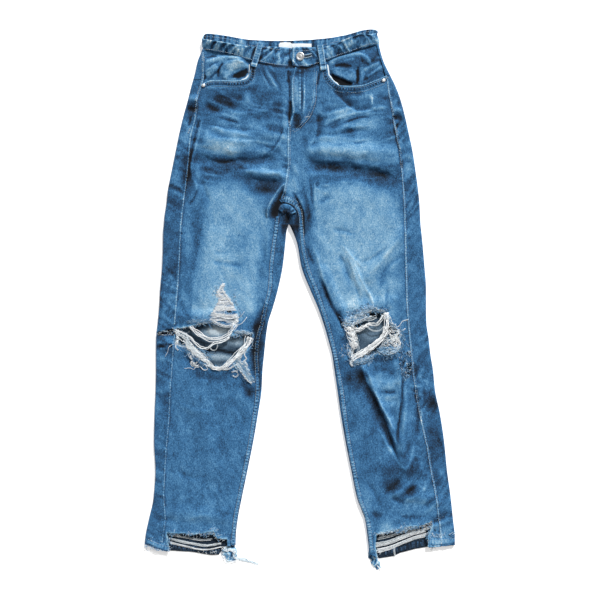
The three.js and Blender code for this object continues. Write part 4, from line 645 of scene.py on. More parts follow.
def thicken(V, T, t, A):
    """closed thin shell: V outer face in metres, t thickness in metres, A dict of point attributes; returns material index per face"""
    N = vertex_normals(V, T)
    n = len(V)
    V2 = np.vstack([V, V - N * t])
    E = np.vstack([T[:, [0, 1]], T[:, [1, 2]], T[:, [2, 0]]])
    key = np.sort(E, axis=1)
    _, first, cnt = np.unique(key[:, 0].astype(np.int64) * (n + 1) + key[:, 1], return_index=True, return_counts=True)
    B = E[first[cnt == 1]]
    rim = np.vstack([np.column_stack([B[:, 1], B[:, 0], B[:, 0] + n]), np.column_stack([B[:, 1], B[:, 0] + n, B[:, 1] + n])])
    T2 = np.vstack([T, T[:, ::-1] + n, rim])
    mat = np.r_[np.zeros(len(T), int), np.ones(len(T), int), np.full(len(rim), 1)]
    return V2, T2, {k: np.r_[v, v] for k, v in A.items()}, mat


def new_object(name, V, T, A, mats, mat_index=None, smooth_shade=True):
    me = bpy.data.meshes.new(name)
    V = np.array(V, np.float32); T = np.asarray(T, np.int32)
    V[:, 2] = np.maximum(V[:, 2], -0.00015)        # everything lies on the table
    me.vertices.add(len(V)); me.vertices.foreach_set("co", V.ravel())
    me.loops.add(T.size); me.loops.foreach_set("vertex_index", T.ravel())
    me.polygons.add(len(T))
    me.polygons.foreach_set("loop_start", np.arange(0, T.size, T.shape[1], dtype=np.int32))
    me.polygons.foreach_set("loop_total", np.full(len(T), T.shape[1], np.int32))
    me.update(calc_edges=True)
    me.validate()
    for m in mats: me.materials.append(m)
    if mat_index is not None and len(me.polygons) == len(mat_index):
        me.polygons.foreach_set("material_index", np.asarray(mat_index, np.int32))
    me.polygons.foreach_set("use_smooth", np.full(len(me.polygons), smooth_shade))
    for k, v in A.items():
        at = me.attributes.new(k, "FLOAT", "POINT")
        at.data.foreach_set("value", np.asarray(v, np.float32))
    me.update()
    ob = bpy.data.objects.new(name, me)
    bpy.context.scene.collection.objects.link(ob)
    return ob


class Soup:
    """collects several triangle meshes into one object"""
    def __init__(self): self.V, self.T, self.A, self.M, self.n = [], [], [], [], 0

    def add(self, V, T, wash, mat=0):
        V = np.asarray(V, float); T = np.asarray(T)
        if not len(T): return
        self.V.append(V); self.T.append(T + self.n); self.n += len(V)
        self.A.append(np.broadcast_to(np.asarray(wash, float), (len(V),)).copy())
        self.M.append(np.broadcast_to(np.asarray(mat), (len(T),)).copy())

    def build(self, name, mats):
        V, T = np.vstack(self.V), np.vstack(self.T)
        return new_object(name, V, T, {"wash": np.concatenate(self.A)}, mats, np.concatenate(self.M))


def tube(path, r, sides=5, caps=True):
    """path: metres (n,3); r scalar or per point"""
    P = np.asarray(path, float); n = len(P)
    T = np.gradient(P, axis=0); T /= np.maximum(np.linalg.norm(T, axis=1, keepdims=True), 1e-9)
    up = np.tile(np.array([0.0, 0.0, 1.0]), (n, 1))
    flat = np.abs((T * up).sum(1)) > 0.95
    up[flat] = (1, 0, 0)
    S = np.cross(T, up); S /= np.maximum(np.linalg.norm(S, axis=1, keepdims=True), 1e-9)
    U = np.cross(S, T)
    R = np.broadcast_to(np.asarray(r, float), (n,))
    a = np.arange(sides) / sides * 2 * math.pi
    V = (P[:, None, :] + R[:, None, None] * (np.cos(a)[None, :, None] * S[:, None, :] + np.sin(a)[None, :, None] * U[:, None, :])).reshape(-1, 3)
    i, j = np.meshgrid(np.arange(n - 1), np.arange(sides), indexing="ij")
    A = i * sides + j; B = i * sides + (j + 1) % sides; Cc = (i + 1) * sides + (j + 1) % sides; D = (i + 1) * sides + j
    F = [np.stack([A, B, Cc], -1).reshape(-1, 3), np.stack([A, Cc, D], -1).reshape(-1, 3)]
    if caps:
        V = np.vstack([V, P[:1], P[-1:]])
        c0, c1 = len(V) - 2, len(V) - 1
        k = np.arange(sides)
        F.append(np.column_stack([np.full(sides, c0), (k + 1) % sides, k]))
        F.append(np.column_stack([np.full(sides, c1), (n - 1) * sides + k, (n - 1) * sides + (k + 1) % sides]))
    return V, np.vstack(F)


def tubes(P, r, sides=4):
    """many tubes at once: P (m, n, 3) metres, r scalar, (m,) or (m, n)"""
    P = np.asarray(P, float); m, n, _ = P.shape
    T = np.gradient(P, axis=1); T /= np.maximum(np.linalg.norm(T, axis=2, keepdims=True), 1e-9)
    up = np.zeros_like(P); up[..., 2] = 1
    S = np.cross(T, up); L = np.linalg.norm(S, axis=2, keepdims=True)
    S = np.where(L > 0.05, S / np.maximum(L, 1e-9), np.array([1.0, 0, 0]))
    U = np.cross(S, T)
    r = np.asarray(r, float) * (1.18 if sides == 3 else 1.0)
    if r.ndim == 0: r = np.full((m, n), float(r))
    elif r.ndim == 1: r = np.repeat(r[:, None], n, 1)
    a = np.arange(sides) / sides * 2 * math.pi + (math.pi / 2 if sides == 3 else 0)
    V = P[:, :, None, :] + r[:, :, None, None] * (np.cos(a)[None, None, :, None] * S[:, :, None, :] + np.sin(a)[None, None, :, None] * U[:, :, None, :])
    V = V.reshape(m, n * sides, 3)
    V = np.concatenate([V, P[:, :1], P[:, -1:]], axis=1)
    i, j = np.meshgrid(np.arange(n - 1), np.arange(sides), indexing="ij")
    A = i * sides + j; B = i * sides + (j + 1) % sides; Cc = (i + 1) * sides + (j + 1) % sides; D = (i + 1) * sides + j
    k = np.arange(sides); c0, c1 = n * sides, n * sides + 1
    F = np.vstack([np.stack([A, B, Cc], -1).reshape(-1, 3), np.stack([A, Cc, D], -1).reshape(-1, 3),
                   np.column_stack([np.full(sides, c0), (k + 1) % sides, k]),
                   np.column_stack([np.full(sides, c1), (n - 1) * sides + k, (n - 1) * sides + (k + 1) % sides])])
    nv = V.shape[1]
    return V.reshape(-1, 3), (F[None] + (np.arange(m) * nv)[:, None, None]).reshape(-1, 3), nv


def P3(x, y, z):
    return np.stack([MX(x), MY(y), np.asarray(z, float) * 0.001 + 0 * MX(x)], -1)


# ------------------------------------------------------------------ outlines
def cf_x(y):
    return np.interp(y, [p[1] for p in CENTRE_FRONT], [p[0] for p in CENTRE_FRONT])


HEM_RIGHT = [(130, 543.6), (145, 544.6), (156, 548.6), (169, 551), (192.5, 552.6), (210, 555.8), (220.6, 555.2), (221.4, 547.4), (236, 545), (250, 544)]
HEM_LEFT = [(352, 553), (369, 554.4), (379, 559), (394, 556.6), (399, 553.8), (415, 549.4), (428, 547.4), (456, 545), (470, 545)]
MOUTH_RIGHT = [(201.6, 84), (205.6, 81.9), (212, 80.2), (222, 80.2), (233, 80.7), (240, 80.2), (246, 78.8), (249, 75.2), (249.8, 70), (249.6, 61)]
MOUTH_LEFT = [(386.4, 75.4), (379, 78.6), (372.4, 81.2), (363.8, 84.6), (355, 85.9), (346, 86), (338, 85.2), (332, 80.6), (328, 75.4), (325.8, 61)]
SCOOP_RIGHT = MOUTH_RIGHT + [(249.6, 40), (190, 40), (190, 86)]
SCOOP_LEFT = MOUTH_LEFT + [(325.8, 38), (400, 36), (400, 74)]
KNEE_RIGHT = [(173.8, 328.4), (182, 327.6), (190, 326), (196, 324.4), (201, 323), (206, 322.2), (212, 322), (220, 323.6), (228, 325), (232.4, 325), (233, 330),
              (229, 336), (237, 334.6), (246, 332), (252, 335), (251, 340), (249, 345), (244, 352), (240, 355), (236, 357), (229, 362), (222, 367), (216, 368.6), (211, 368),
              (205, 363), (199, 357), (190.7, 352), (188, 348), (186, 345), (182, 344.6), (178, 345), (174.4, 340)]
KNEE_LEFT = [(344, 320), (352, 316), (360, 313), (365.5, 309.5), (371, 309.4), (377, 310.4), (386, 311), (388, 319), (391.4, 327), (396, 329), (398.6, 332), (399.2, 339),
             (398.6, 345), (391.4, 350.5), (381.6, 350.5), (370, 356), (360, 359.5), (352, 358.6), (350.4, 350), (350, 338), (346, 329)]
TORN_HEM_RIGHT = [(166.5, 532), (175, 533.2), (183.6, 533), (196, 534), (205, 532.4), (213, 530.4), (214.4, 534), (216, 538.6), (226.4, 538.4), (226.4, 580), (168.8, 580), (168.6, 552)]
TORN_HEM_LEFT = [(376, 534), (386, 532.2), (396, 530), (405, 527), (412, 526), (419, 526), (426, 523.4), (432, 520.5), (430.6, 529), (427.4, 536), (428, 580), (380, 580), (375.4, 548)]
# small worn holes and slits: outline, jaggedness
SLITS_RIGHT = [[(156.6, 333.6), (163, 331.6), (174.5, 330.4), (174, 333.4), (165, 334)],
               [(225.4, 309.6), (230, 309), (231.4, 312.4), (227, 312)]]
SLITS_LEFT = [[(405.4, 351.8), (410.6, 351), (410.8, 354.6), (406.6, 355.4)], [(406.2, 363), (411.2, 361.8), (411.4, 369.4), (408, 371.4), (406.4, 368)],
              [(401.8, 369), (407, 371), (407.6, 376.6), (404.6, 379.4), (402, 376)]]
FLAME = [(223.4, 282), (220.6, 286), (217.4, 290.6), (216.7, 295), (219, 299), (217.8, 303), (215.4, 307), (212.6, 312), (210.2, 317.6), (211.6, 320.4), (218.3, 324),
         (226.7, 326.7), (233.3, 325), (236.8, 321.5), (236.9, 315.6), (234.4, 309.6), (232, 303.6), (228.6, 298.6), (224.8, 293.6), (221.9, 289.2), (223.4, 285)]


def rag(x, y, amp, seed):
    return amp * (fbm(x * 0.42, y * 0.42, seed, 3) + 0.5 * noise(x * 1.3, y * 1.3, seed + 5))


def z_upper(x, y):
    """outer face of the upper layer in mm, rounded off towards the outline, and its crease wash (fade plus painted
    crease shade and highlight)
    """
    x, y = np.asarray(x, float), np.asarray(y, float)
    z, w = top_z(x, y)
    R = x < CB
    r = np.where(R, tab("R", "r", y), tab("L", "r", y))
    d = edge_dist(x, y)
    q = np.clip(d * 1.9 / r, 0, 1)
    return r + (z - r) * np.sqrt(np.clip(1 - (1 - q) ** 2, 0, 1)), w


def lift_near(x, y, polys, reach, h):
    """rip edges curl up a little, unevenly"""
    L = np.zeros(x.shape)
    for p in polys:
        sd = -poly_sd(x, y, p)
        L = np.maximum(L, np.exp(-(np.clip(sd, 0, None) / reach) ** 2) * (sd > -3))
    return h * L * (0.6 + 0.6 * noise(x * 0.16, y * 0.16, 21))


def front_right_F(x, y):
    cx = cf_x(y) + np.where(y < 126, 4.0 * smooth(128, 122, y), 0)
    lim = np.where(y < 199, cx, tab("R", "ins", y))
    f = np.minimum(x - tab("R", "seam", y), y - seam_y(FRONT_SEAM, x) + 1.2)
    f = np.minimum(f, lim - x)
    f = np.minimum(f, -poly_sd(x, y, SCOOP_RIGHT))
    f = np.minimum(f, -poly_sd(x, y, KNEE_RIGHT) + rag(x, y, 0.8, 51))
    for s in SLITS_RIGHT: f = np.minimum(f, -poly_sd(x, y, s) + rag(x, y, 0.4, 52))
    f = np.minimum(f, hermite_y(HEM_RIGHT, x) - y + rag(x, y, 0.25, 55))
    return np.minimum(f, -poly_sd(x, y, TORN_HEM_RIGHT) + rag(x, y, 0.8, 53))


def front_left_F(x, y):
    lim = np.where(y < 199, cf_x(y), tab("L", "ins", y))
    f = np.minimum(tab("L", "seam", y) - x, y - seam_y(FRONT_SEAM, x) + 1.2)
    f = np.minimum(f, x - lim)
    f = np.minimum(f, -poly_sd(x, y, SCOOP_LEFT))
    f = np.minimum(f, -poly_sd(x, y, KNEE_LEFT) + rag(x, y, 0.8, 61))
    for s in SLITS_LEFT: f = np.minimum(f, -poly_sd(x, y, s) + rag(x, y, 0.5, 62))
    f = np.minimum(f, hermite_y(HEM_LEFT, x) - y + rag(x, y, 0.25, 65))
    return np.minimum(f, -poly_sd(x, y, TORN_HEM_LEFT) + rag(x, y, 0.8, 63))


def hermite_y(table, x):
    return np.interp(x, [p[0] for p in table], [p[1] for p in table])


STEP = 1.3


def flat_grid(x0, x1, y0, y1, step):
    nx, ny = int((x1 - x0) / step) + 1, int((y1 - y0) / step) + 1
    X, Y = np.meshgrid(np.linspace(x0, x1, nx), np.linspace(y0, y1, ny))
    return np.column_stack([X.ravel(), Y.ravel()]), grid_tris(ny, nx)[:, ::-1]


# ------------------------------------------------------------------ materials
def srgb(r, g, b):
    return tuple(((c / 255) / 12.92 if c / 255 <= 0.04045 else ((c / 255 + 0.055) / 1.055) ** 2.4) for c in (r, g, b)) + (1,)


def new_material(name, rough=0.9, sheen=0.0, metallic=0.0, spec=0.3):
    m = bpy.data.materials.new(name); m.use_nodes = True
    nt = m.node_tree; nt.nodes.clear()
    out = nt.nodes.new("ShaderNodeOutputMaterial"); b = nt.nodes.new("ShaderNodeBsdfPrincipled")
    nt.links.new(b.outputs[0], out.inputs[0])
    b.inputs["Roughness"].default_value = rough
    b.inputs["Metallic"].default_value = metallic
    b.inputs["Specular IOR Level"].default_value = spec
    if sheen:
        b.inputs["Sheen Weight"].default_value = sheen; b.inputs["Sheen Roughness"].default_value = 0.5
        b.inputs["Sheen Tint"].default_value = (0.75, 0.85, 1, 1)
    return m, nt, b


def node(nt, kind, **kw):
    n = nt.nodes.new(kind)
    for k, v in kw.items():
        if k in n.inputs.keys() if isinstance(k, str) and hasattr(n, "inputs") else False: n.inputs[k].default_value = v
        else: setattr(n, k, v)
    return n


def math_node(nt, op, a, b=None, clamp=False):
    n = nt.nodes.new("ShaderNodeMath"); n.operation = op; n.use_clamp = clamp
    for i, v in enumerate((a, b)):
        if v is None: continue
        if isinstance(v, (int, float)): n.inputs[i].default_value = v
        else: nt.links.new(v, n.inputs[i])
    return n.outputs[0]


def noise_node(nt, coord, scale, stretch=(1, 1, 1), detail=2, rough=0.55, turn=0, off=0):
    mp = nt.nodes.new("ShaderNodeMapping"); mp.inputs["Scale"].default_value = stretch
    mp.inputs["Rotation"].default_value = (0, 0, turn); mp.inputs["Location"].default_value = (off, off * 0.7, 0)
    nt.links.new(coord, mp.inputs["Vector"])
    n = nt.nodes.new("ShaderNodeTexNoise"); n.inputs["Scale"].default_value = scale; n.inputs["Detail"].default_value = detail
    n.inputs["Roughness"].default_value = rough
    nt.links.new(mp.outputs[0], n.inputs["Vector"])
    return math_node(nt, "SUBTRACT", n.outputs["Fac"], 0.5)


def ramp(nt, fac, stops):
    r = nt.nodes.new("ShaderNodeValToRGB"); e = r.color_ramp.elements
    while len(e) < len(stops): e.new(0.5)
    for k, (p, c) in enumerate(stops): e[k].position = p; e[k].color = srgb(*c)
    nt.links.new(fac, r.inputs[0])
    return r.outputs[0]


INDIGO = [(0, (6, 10, 17)), (.12, (19, 34, 50)), (.28, (33, 66, 99)), (.44, (50, 102, 147)), (.58, (80, 133, 175)), (.70, (113, 159, 192)),
          (.82, (150, 187, 209)), (.92, (190, 213, 225)), (1, (232, 239, 241))]
INSIDE = [(0, (6, 11, 17)), (.25, (26, 42, 58)), (.5, (66, 88, 108)), (.75, (112, 136, 155)), (1, (190, 205, 214))]


def cloth_material(name, stops, grain=1.0, sheen=0.12, bump=0.5, twill=True):
    m, nt, b = new_material(name, 0.92, sheen, 0, 0.2)
    tc = nt.nodes.new("ShaderNodeTexCoord").outputs["Object"]
    w = nt.nodes.new("ShaderNodeAttribute"); w.attribute_name = "wash"; w = w.outputs["Fac"]
    warp = noise_node(nt, tc, 820, (1, 0.34, 0.6), 3, 0.65)                     # slubs along the warp
    weft = noise_node(nt, tc, 860, (0.36, 1, 0.6), 2, 0.6, 0, 3.1)              # cross threads showing through
    heather = noise_node(nt, tc, 1250, (1, 1, 1), 2, 0.6, 0, 5.3)
    mott = noise_node(nt, tc, 62, (1, 0.8, 1), 3, 0.6, 0, 1.7)
    big = noise_node(nt, tc, 24, (1, 0.7, 1), 2, 0.5, 0, 2.9)
    t = w
    for src, k in ((warp, 0.70), (weft, 0.42), (heather, 0.52), (mott, 0.30), (big, 0.12)):
        t = math_node(nt, "ADD", t, math_node(nt, "MULTIPLY", src, k * grain))
    t = math_node(nt, "MAXIMUM", t, 0.0)
    nt.links.new(ramp(nt, t, stops), b.inputs["Base Color"])
    h = math_node(nt, "ADD", math_node(nt, "MULTIPLY", warp, 1.0), math_node(nt, "MULTIPLY", weft, 0.7))
    h = math_node(nt, "ADD", h, math_node(nt, "MULTIPLY", heather, 0.6))
    if twill:
        wv = nt.nodes.new("ShaderNodeTexWave"); wv.wave_type = "BANDS"; wv.bands_direction = "DIAGONAL"
        wv.inputs["Scale"].default_value = 330; wv.inputs["Distortion"].default_value = 1.2; wv.inputs["Detail"].default_value = 1
        nt.links.new(tc, wv.inputs["Vector"])
        h = math_node(nt, "ADD", h, math_node(nt, "MULTIPLY", wv.outputs["Fac"], 0.35))
    bp = nt.nodes.new("ShaderNodeBump"); bp.inputs["Strength"].default_value = bump; bp.inputs["Distance"].default_value = 0.0006
    nt.links.new(h, bp.inputs["Height"]); nt.links.new(bp.outputs[0], b.inputs["Normal"])
    return m


DENIM = cloth_material("denim_washed", INDIGO)
INNER = cloth_material("denim_inside", INSIDE, 0.8, 0.05, 0.4)
COTTON = cloth_material("pocket_cotton_weave", [(0, (90, 110, 125)), (.5, (185, 205, 216)), (1, (244, 248, 249))], 0.5, 0.1, 0.35, False)
THREAD = cloth_material("loose_thread", [(0, (60, 84, 106)), (.35, (148, 175, 196)), (.7, (218, 230, 236)), (1, (252, 253, 253))], 0.6, 0.2, 0.2, False)
FUZZ = cloth_material("blue_fuzz", [(0, (12, 30, 52)), (.35, (60, 114, 162)), (.65, (124, 172, 206)), (1, (226, 236, 241))], 0.8, 0.2, 0.2, False)
STITCH = cloth_material("stitch_thread", [(0, (44, 78, 110)), (.35, (108, 142, 170)), (.7, (180, 203, 217)), (1, (232, 240, 244))], 0.5, 0.1, 0.2, False)
LABEL = cloth_material("label_weave", [(0, (120, 140, 155)), (.5, (215, 222, 226)), (1, (248, 250, 251))], 0.35, 0.1, 0.25, False)
TAPE = cloth_material("zip_tape_weave", [(0, (5, 8, 14)), (.5, (22, 30, 46)), (1, (60, 76, 96))], 0.5, 0.1, 0.3, False)


def metal_material(name, lo, hi, rough):
    m, nt, b = new_material(name, rough, 0, 1.0, 0.5)
    tc = nt.nodes.new("ShaderNodeTexCoord").outputs["Object"]
    n = noise_node(nt, tc, 420, (1, 1, 1), 4, 0.6); n2 = noise_node(nt, tc, 1500, (1, 0.3, 1), 2, 0.5, 0.5, 2)
    t = math_node(nt, "ADD", math_node(nt, "ADD", 0.6, n), math_node(nt, "MULTIPLY", n2, 0.4))
    nt.links.new(ramp(nt, t, [(0.1, lo), (0.8, hi)]), b.inputs["Base Color"])
    nt.links.new(math_node(nt, "ADD", math_node(nt, "MULTIPLY", n, 0.3), rough), b.inputs["Roughness"])
    bp = nt.nodes.new("ShaderNodeBump"); bp.inputs["Strength"].default_value = 0.3; bp.inputs["Distance"].default_value = 0.0003
    nt.links.new(n, bp.inputs["Height"]); nt.links.new(bp.outputs[0], b.inputs["Normal"])
    return m


METAL = metal_material("worn_silver", (176, 184, 190), (248, 250, 251), 0.42)

# ------------------------------------------------------------------ front panels
made = {}


def done(ob, slot, *nodes):
    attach(ob, "root")
    if nodes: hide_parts(*nodes)
    made[ob.name] = ob
    return ob


def panel(name, F, box, step, zfn, thick, wfn, mats, inner=0.5):
    P, T = flat_grid(*box, step)
    P, T = clip_mesh(P, F(P[:, 0], P[:, 1]), T)
    z, w = zfn(P[:, 0], P[:, 1])
    wash = wfn(P[:, 0], P[:, 1], w)
    V, T2, A, mat = thicken(P3(P[:, 0], P[:, 1], z), T, thick * 0.001, {"wash": wash})
    n = len(P)
    A["wash"] = A["wash"].copy(); A["wash"][n:] = inner if np.isscalar(inner) else inner(P[:, 0], P[:, 1])
    return V, T2, A, mat


def fr_z(x, y):
    z, w = z_upper(x, y)
    c = cf_x(y)
    z = z - 1.7 * smooth(-2.2, 0.2, x - c) * smooth(132, 120, y)
    z = z + lift_near(x, y, [KNEE_RIGHT, TORN_HEM_RIGHT], 3.2, 0.9)
    z = z - 1.2 * smooth(4, 0, y - seam_y(FRONT_SEAM, x))
    return z, w


def fl_z(x, y):
    z, w = z_upper(x, y)
    z = z + 0.5 * smooth(3, 0, x - cf_x(y)) * smooth(128, 118, y)
    z = z + lift_near(x, y, [KNEE_LEFT, TORN_HEM_LEFT], 3.2, 0.9)
    z = z - 1.2 * smooth(4, 0, y - seam_y(FRONT_SEAM, x))
    return z, w


def edge_fray_wash(x, y, polys, reach=2.2, amount=0.3):
    L = np.zeros(x.shape)
    for p in polys:
        sd = -poly_sd(x, y, p)
        L = np.maximum(L, smooth(reach, 0, sd + 1.2 * noise(x * 0.5, y * 0.5, 88)))
    return amount * L


# outline of the hollow beside the crotch fold, which fr_w fills with painted shade
HOOK_SHADE_WEDGE = [(284.6, 186), (280, 191), (275.6, 197), (271.6, 204), (268.6, 211), (267.6, 217.6), (274, 218.4), (279.6, 217), (281.6, 208), (280.6, 200), (284, 192.6)]


def fr_w(x, y, w):
    s = wash_and_shade_of(x, y, w)
    # painted shade in the hollow beside the crotch fold: darker inside the wedge, darker still deeper inside
    hw = poly_sd(x, y, HOOK_SHADE_WEDGE)
    s = s - 0.20 * smooth(-0.6, 0.6, hw) - 0.20 * smooth(1.6, 4.6, hw + 0.5 * (x - 274) * 0.4)
    hm = smooth(8.5, 6, hermite_y(HEM_RIGHT, x) - y)
    s = s + hm * (0.06 + 0.34 * noise(x * 0.55, y * 0.07, 615))
    s = s + edge_fray_wash(x, y, [KNEE_RIGHT, TORN_HEM_RIGHT] + SLITS_RIGHT)
    fl = poly_sd(x, y, FLAME)
    s = np.where(fl > -2, s + (0.45 - s) * smooth(-0.8, 0.8, fl + 0.8 * noise(x * 0.8, y * 0.8, 12)) + 0.16 * noise(x * 0.3, y * 1.6, 4) * (fl > 0), s)
    s = s - 0.12 * smooth(3.4, 0, x - tab("R", "seam", y)) * (y > 96)
    s = s - 0.10 * smooth(3.5, 0, tab("R", "ins", y) - x) * (y > 222)
    s = s - 0.25 * smooth(2.4, 0, y - seam_y(FRONT_SEAM, x))
    return s


def fl_w(x, y, w):
    s = wash_and_shade_of(x, y, w)
    hm = smooth(9.5, 7, hermite_y(HEM_LEFT, x) - y)
    s = s + hm * (0.13 + 0.34 * noise(x * 0.62, y * 0.07, 611))
    s = s + edge_fray_wash(x, y, [KNEE_LEFT, TORN_HEM_LEFT] + SLITS_LEFT)
    s = s - 0.12 * smooth(3.4, 0, tab("L", "seam", y) - x) * (y > 96)
    s = s - 0.10 * smooth(3.5, 0, x - tab("L", "ins", y)) * (y > 222)
    s = s - 0.25 * smooth(2.4, 0, y - seam_y(FRONT_SEAM, x))
    return s


V, T, A, M = panel("front_right", front_right_F, (148, 302, 42, 562), STEP, fr_z, 1.2, fr_w, None)
done(new_object("front_right_cloth", V, T, A, [DENIM, INNER], M), "denim", "front_right")
V, T, A, M = panel("front_left", front_left_F, (278, 460, 40, 562), STEP, fl_z, 1.2, fl_w, None)
done(new_object("front_left_cloth", V, T, A, [DENIM, INNER], M), "denim", "front_left")

# ------------------------------------------------------------------ back panels, yokes, crotch
# folds of the lower layer that show through the tears: path, half width, height mm
UNDER_FOLDS = [([(214, 344), (224, 341), (237, 344)], 3.0, 1.6), ([(206, 356), (216, 359), (228, 358)], 3.4, 1.3), ([(208, 330), (226, 329)], 3, 0.9),
               ([(356, 330), (370, 340), (380, 344)], 4, 1.4), ([(360, 322), (378, 320)], 3, 1.0), ([(172, 542), (196, 545), (220, 546)], 3, 0.8),
               ([(380, 548), (405, 543), (428, 538)], 3, 0.8),
               # out of sight, pressed on the table: the back of both thighs and calves
               ([(175, 232), (205, 240), (240, 234), (258, 227)], 3.2, 1.3), ([(180, 250), (214, 258), (250, 249)], 2.8, 1.1),
               ([(172, 274), (196, 268), (228, 272)], 3.0, 0.9), ([(206, 292), (232, 286), (248, 290)], 2.6, 0.9),
               ([(168, 306), (182, 300), (198, 303)], 2.4, 0.8), ([(166, 384), (186, 392), (214, 388)], 3.0, 1.1),
               ([(200, 404), (224, 398), (236, 402)], 2.6, 0.9), ([(164, 424), (180, 440), (188, 462)], 2.8, 0.9),
               ([(212, 440), (221, 462), (219, 486)], 3.0, 0.8), ([(160, 500), (180, 494), (206, 500)], 2.6, 0.8),
               ([(298, 211), (276, 219), (252, 221)], 2.6, 1.0), ([(308, 211), (332, 220), (352, 222)], 2.6, 1.0),
               ([(330, 230), (356, 239), (384, 237), (408, 229)], 3.2, 1.3), ([(338, 252), (364, 260), (398, 252)], 2.8, 1.1),
               ([(372, 280), (396, 272), (411, 276)], 2.8, 0.9), ([(350, 291), (364, 285), (382, 290)], 2.4, 0.8),
               ([(362, 388), (384, 396), (412, 391)], 3.0, 1.1), ([(360, 411), (376, 405), (392, 409)], 2.6, 0.9),
               ([(398, 426), (411, 446), (413, 470)], 2.8, 0.9), ([(376, 444), (385, 466), (383, 492)], 3.0, 0.8),
               ([(384, 512), (408, 506), (430, 508)], 2.6, 0.8)]


def z_lower(x, y):
    lift = 1.5 * smooth(91, 96, y) * smooth(198, 193, y)
    z = lift + 0 * x
    for pts, w, h in UNDER_FOLDS:
        d, t, s = seg_dist(x, y, spline(pts, 4))
        z = z + h * np.exp(-(d / w) ** 2)
    return z


def shell_grid(side):
    """rows down the garment, columns round the tube: outseam over the outer edge, under, and back up to the inseam"""
    dr = 2.0
    ys = np.arange(44, 561.5, dr)
    sgn = 1 if side == "R" else -1
    out, seam, inn, ins, r = (tab(side, c, ys) for c in ("out", "seam", "inn", "ins", "r"))
    rp = r / 1.9
    leg = ys >= 224
    cols = []
    nt_, nr, nb, ni = ((11, 7, 28, 7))
    x0 = np.where(sgn > 0, np.maximum(seam, out + rp + 0.2), np.minimum(seam, out - rp - 0.2))
    for k in range(nt_):
        t = k / nt_
        x = x0 + (out + sgn * rp - x0) * t
        z, _ = z_upper(x, ys)
        cols.append((x, z - (0.25 if k == 0 else 0), np.ones_like(x)))
    xe = out + sgn * rp; zt, _ = z_upper(xe, ys)
    for k in range(nr + 1):
        a = math.pi / 2 - math.pi * k / nr
        x = xe - sgn * rp * math.cos(a)
        z = r + (zt - r if a > 0 else r) * math.sin(a)
        cols.append((x, z, np.full_like(x, 1 if a > -0.2 else 0)))
    xi = np.where(leg, inn - sgn * rp, CB)
    for k in range(1, nb + 1):
        t = k / nb
        x = xe + (xi - xe) * t
        z = z_lower(x, ys)
        cols.append((x, z, np.zeros_like(x)))
    kA = len(cols)
    zt, _ = z_upper(xi, ys)
    for k in range(1, nr + 1):
        a = -math.pi / 2 + math.pi * k / nr
        x = xi + sgn * rp * math.cos(a)
        z = r + (zt - r if a > 0 else r) * math.sin(a)
        cols.append((x, z, np.full_like(x, 1 if a > -0.2 else 0)))
    for k in range(1, ni + 1):
        t = k / ni
        x = xi + (ins - xi) * t
        z, _ = z_upper(x, ys)
        cols.append((x, z - (0.25 if k == ni else 0), np.ones_like(x)))
    X = np.stack([c[0] for c in cols], 1); Z = np.stack([c[1] for c in cols], 1); top = np.stack([c[2] for c in cols], 1)
    Y = np.repeat(ys[:, None], X.shape[1], 1)
    nc = X.shape[1]
    T = grid_tris(len(ys), nc)
    row, col = T // nc, T % nc
    keep = ~((col.max(1) >= kA) & (row.min(1) < np.argmax(leg)))
    T = T[keep]
    if sgn < 0: T = T[:, ::-1]
    return np.column_stack([X.ravel(), Y.ravel(), Z.ravel(), top.ravel()]), T


# tone of the inside face of the lower layer seen through the tears and at the hems: its own grey-blue, with painted
# shade under the torn edges and threads, painted light where light falls in, and darker below y 520 as painted shade
# inside the hems
def inner_shade(x, y):
    s = 0.42 + 0.10 * fbm(x * 0.1, y * 0.1, 7, 3)
    for cx, cy, rx, ry, a in ((217, 331, 18, 6, 0.17), (204, 340, 12, 5, 0.12), (232, 344, 10, 4, 0.14), (214, 356, 14, 6, 0.1), (220, 360, 16, 8, 0.14), (222, 330, 14, 6, 0.34), (210, 332, 10, 5, 0.34), (203, 340, 8, 4, -0.1), (226, 344, 12, 5, 0.2), (226, 351, 12, 3, -0.2), (236, 335, 8, 3.4, -0.3),
                              (199, 327, 5, 4, -0.3), (239, 343, 7, 5, 0.2), (371, 312, 10, 5, -0.4), (352, 322, 8, 5, -0.3), (368, 336, 16, 12, 0.12), (382, 334, 14, 12, 0.08)):
        s = s + a * np.exp(-((x - cx) / rx) ** 2 - ((y - cy) / ry) ** 2)
    for pts, wd, a in (([(196, 346), (206, 349.4), (219, 350), (234, 353.4)], 1.5, -0.42), ([(207, 358), (216, 355.6), (230, 358)], 3.4, 0.20), ([(228, 339), (236, 338), (244, 337)], 2.0, 0.26),
                       ([(222, 343), (230, 346), (238, 348)], 2.2, -0.2), ([(208, 364), (218, 362), (226, 361)], 1.4, -0.2), ([(360, 330), (370, 328), (382, 326)], 2.6, 0.10), ([(372, 345), (381, 338), (388, 331)], 2.0, -0.24)):
        d, t, q = seg_dist(x, y, spline(pts, 5))
        s = s + a * np.exp(-(d / wd) ** 2)
    s = np.where(y > 520, s - 0.22, s)
    return s


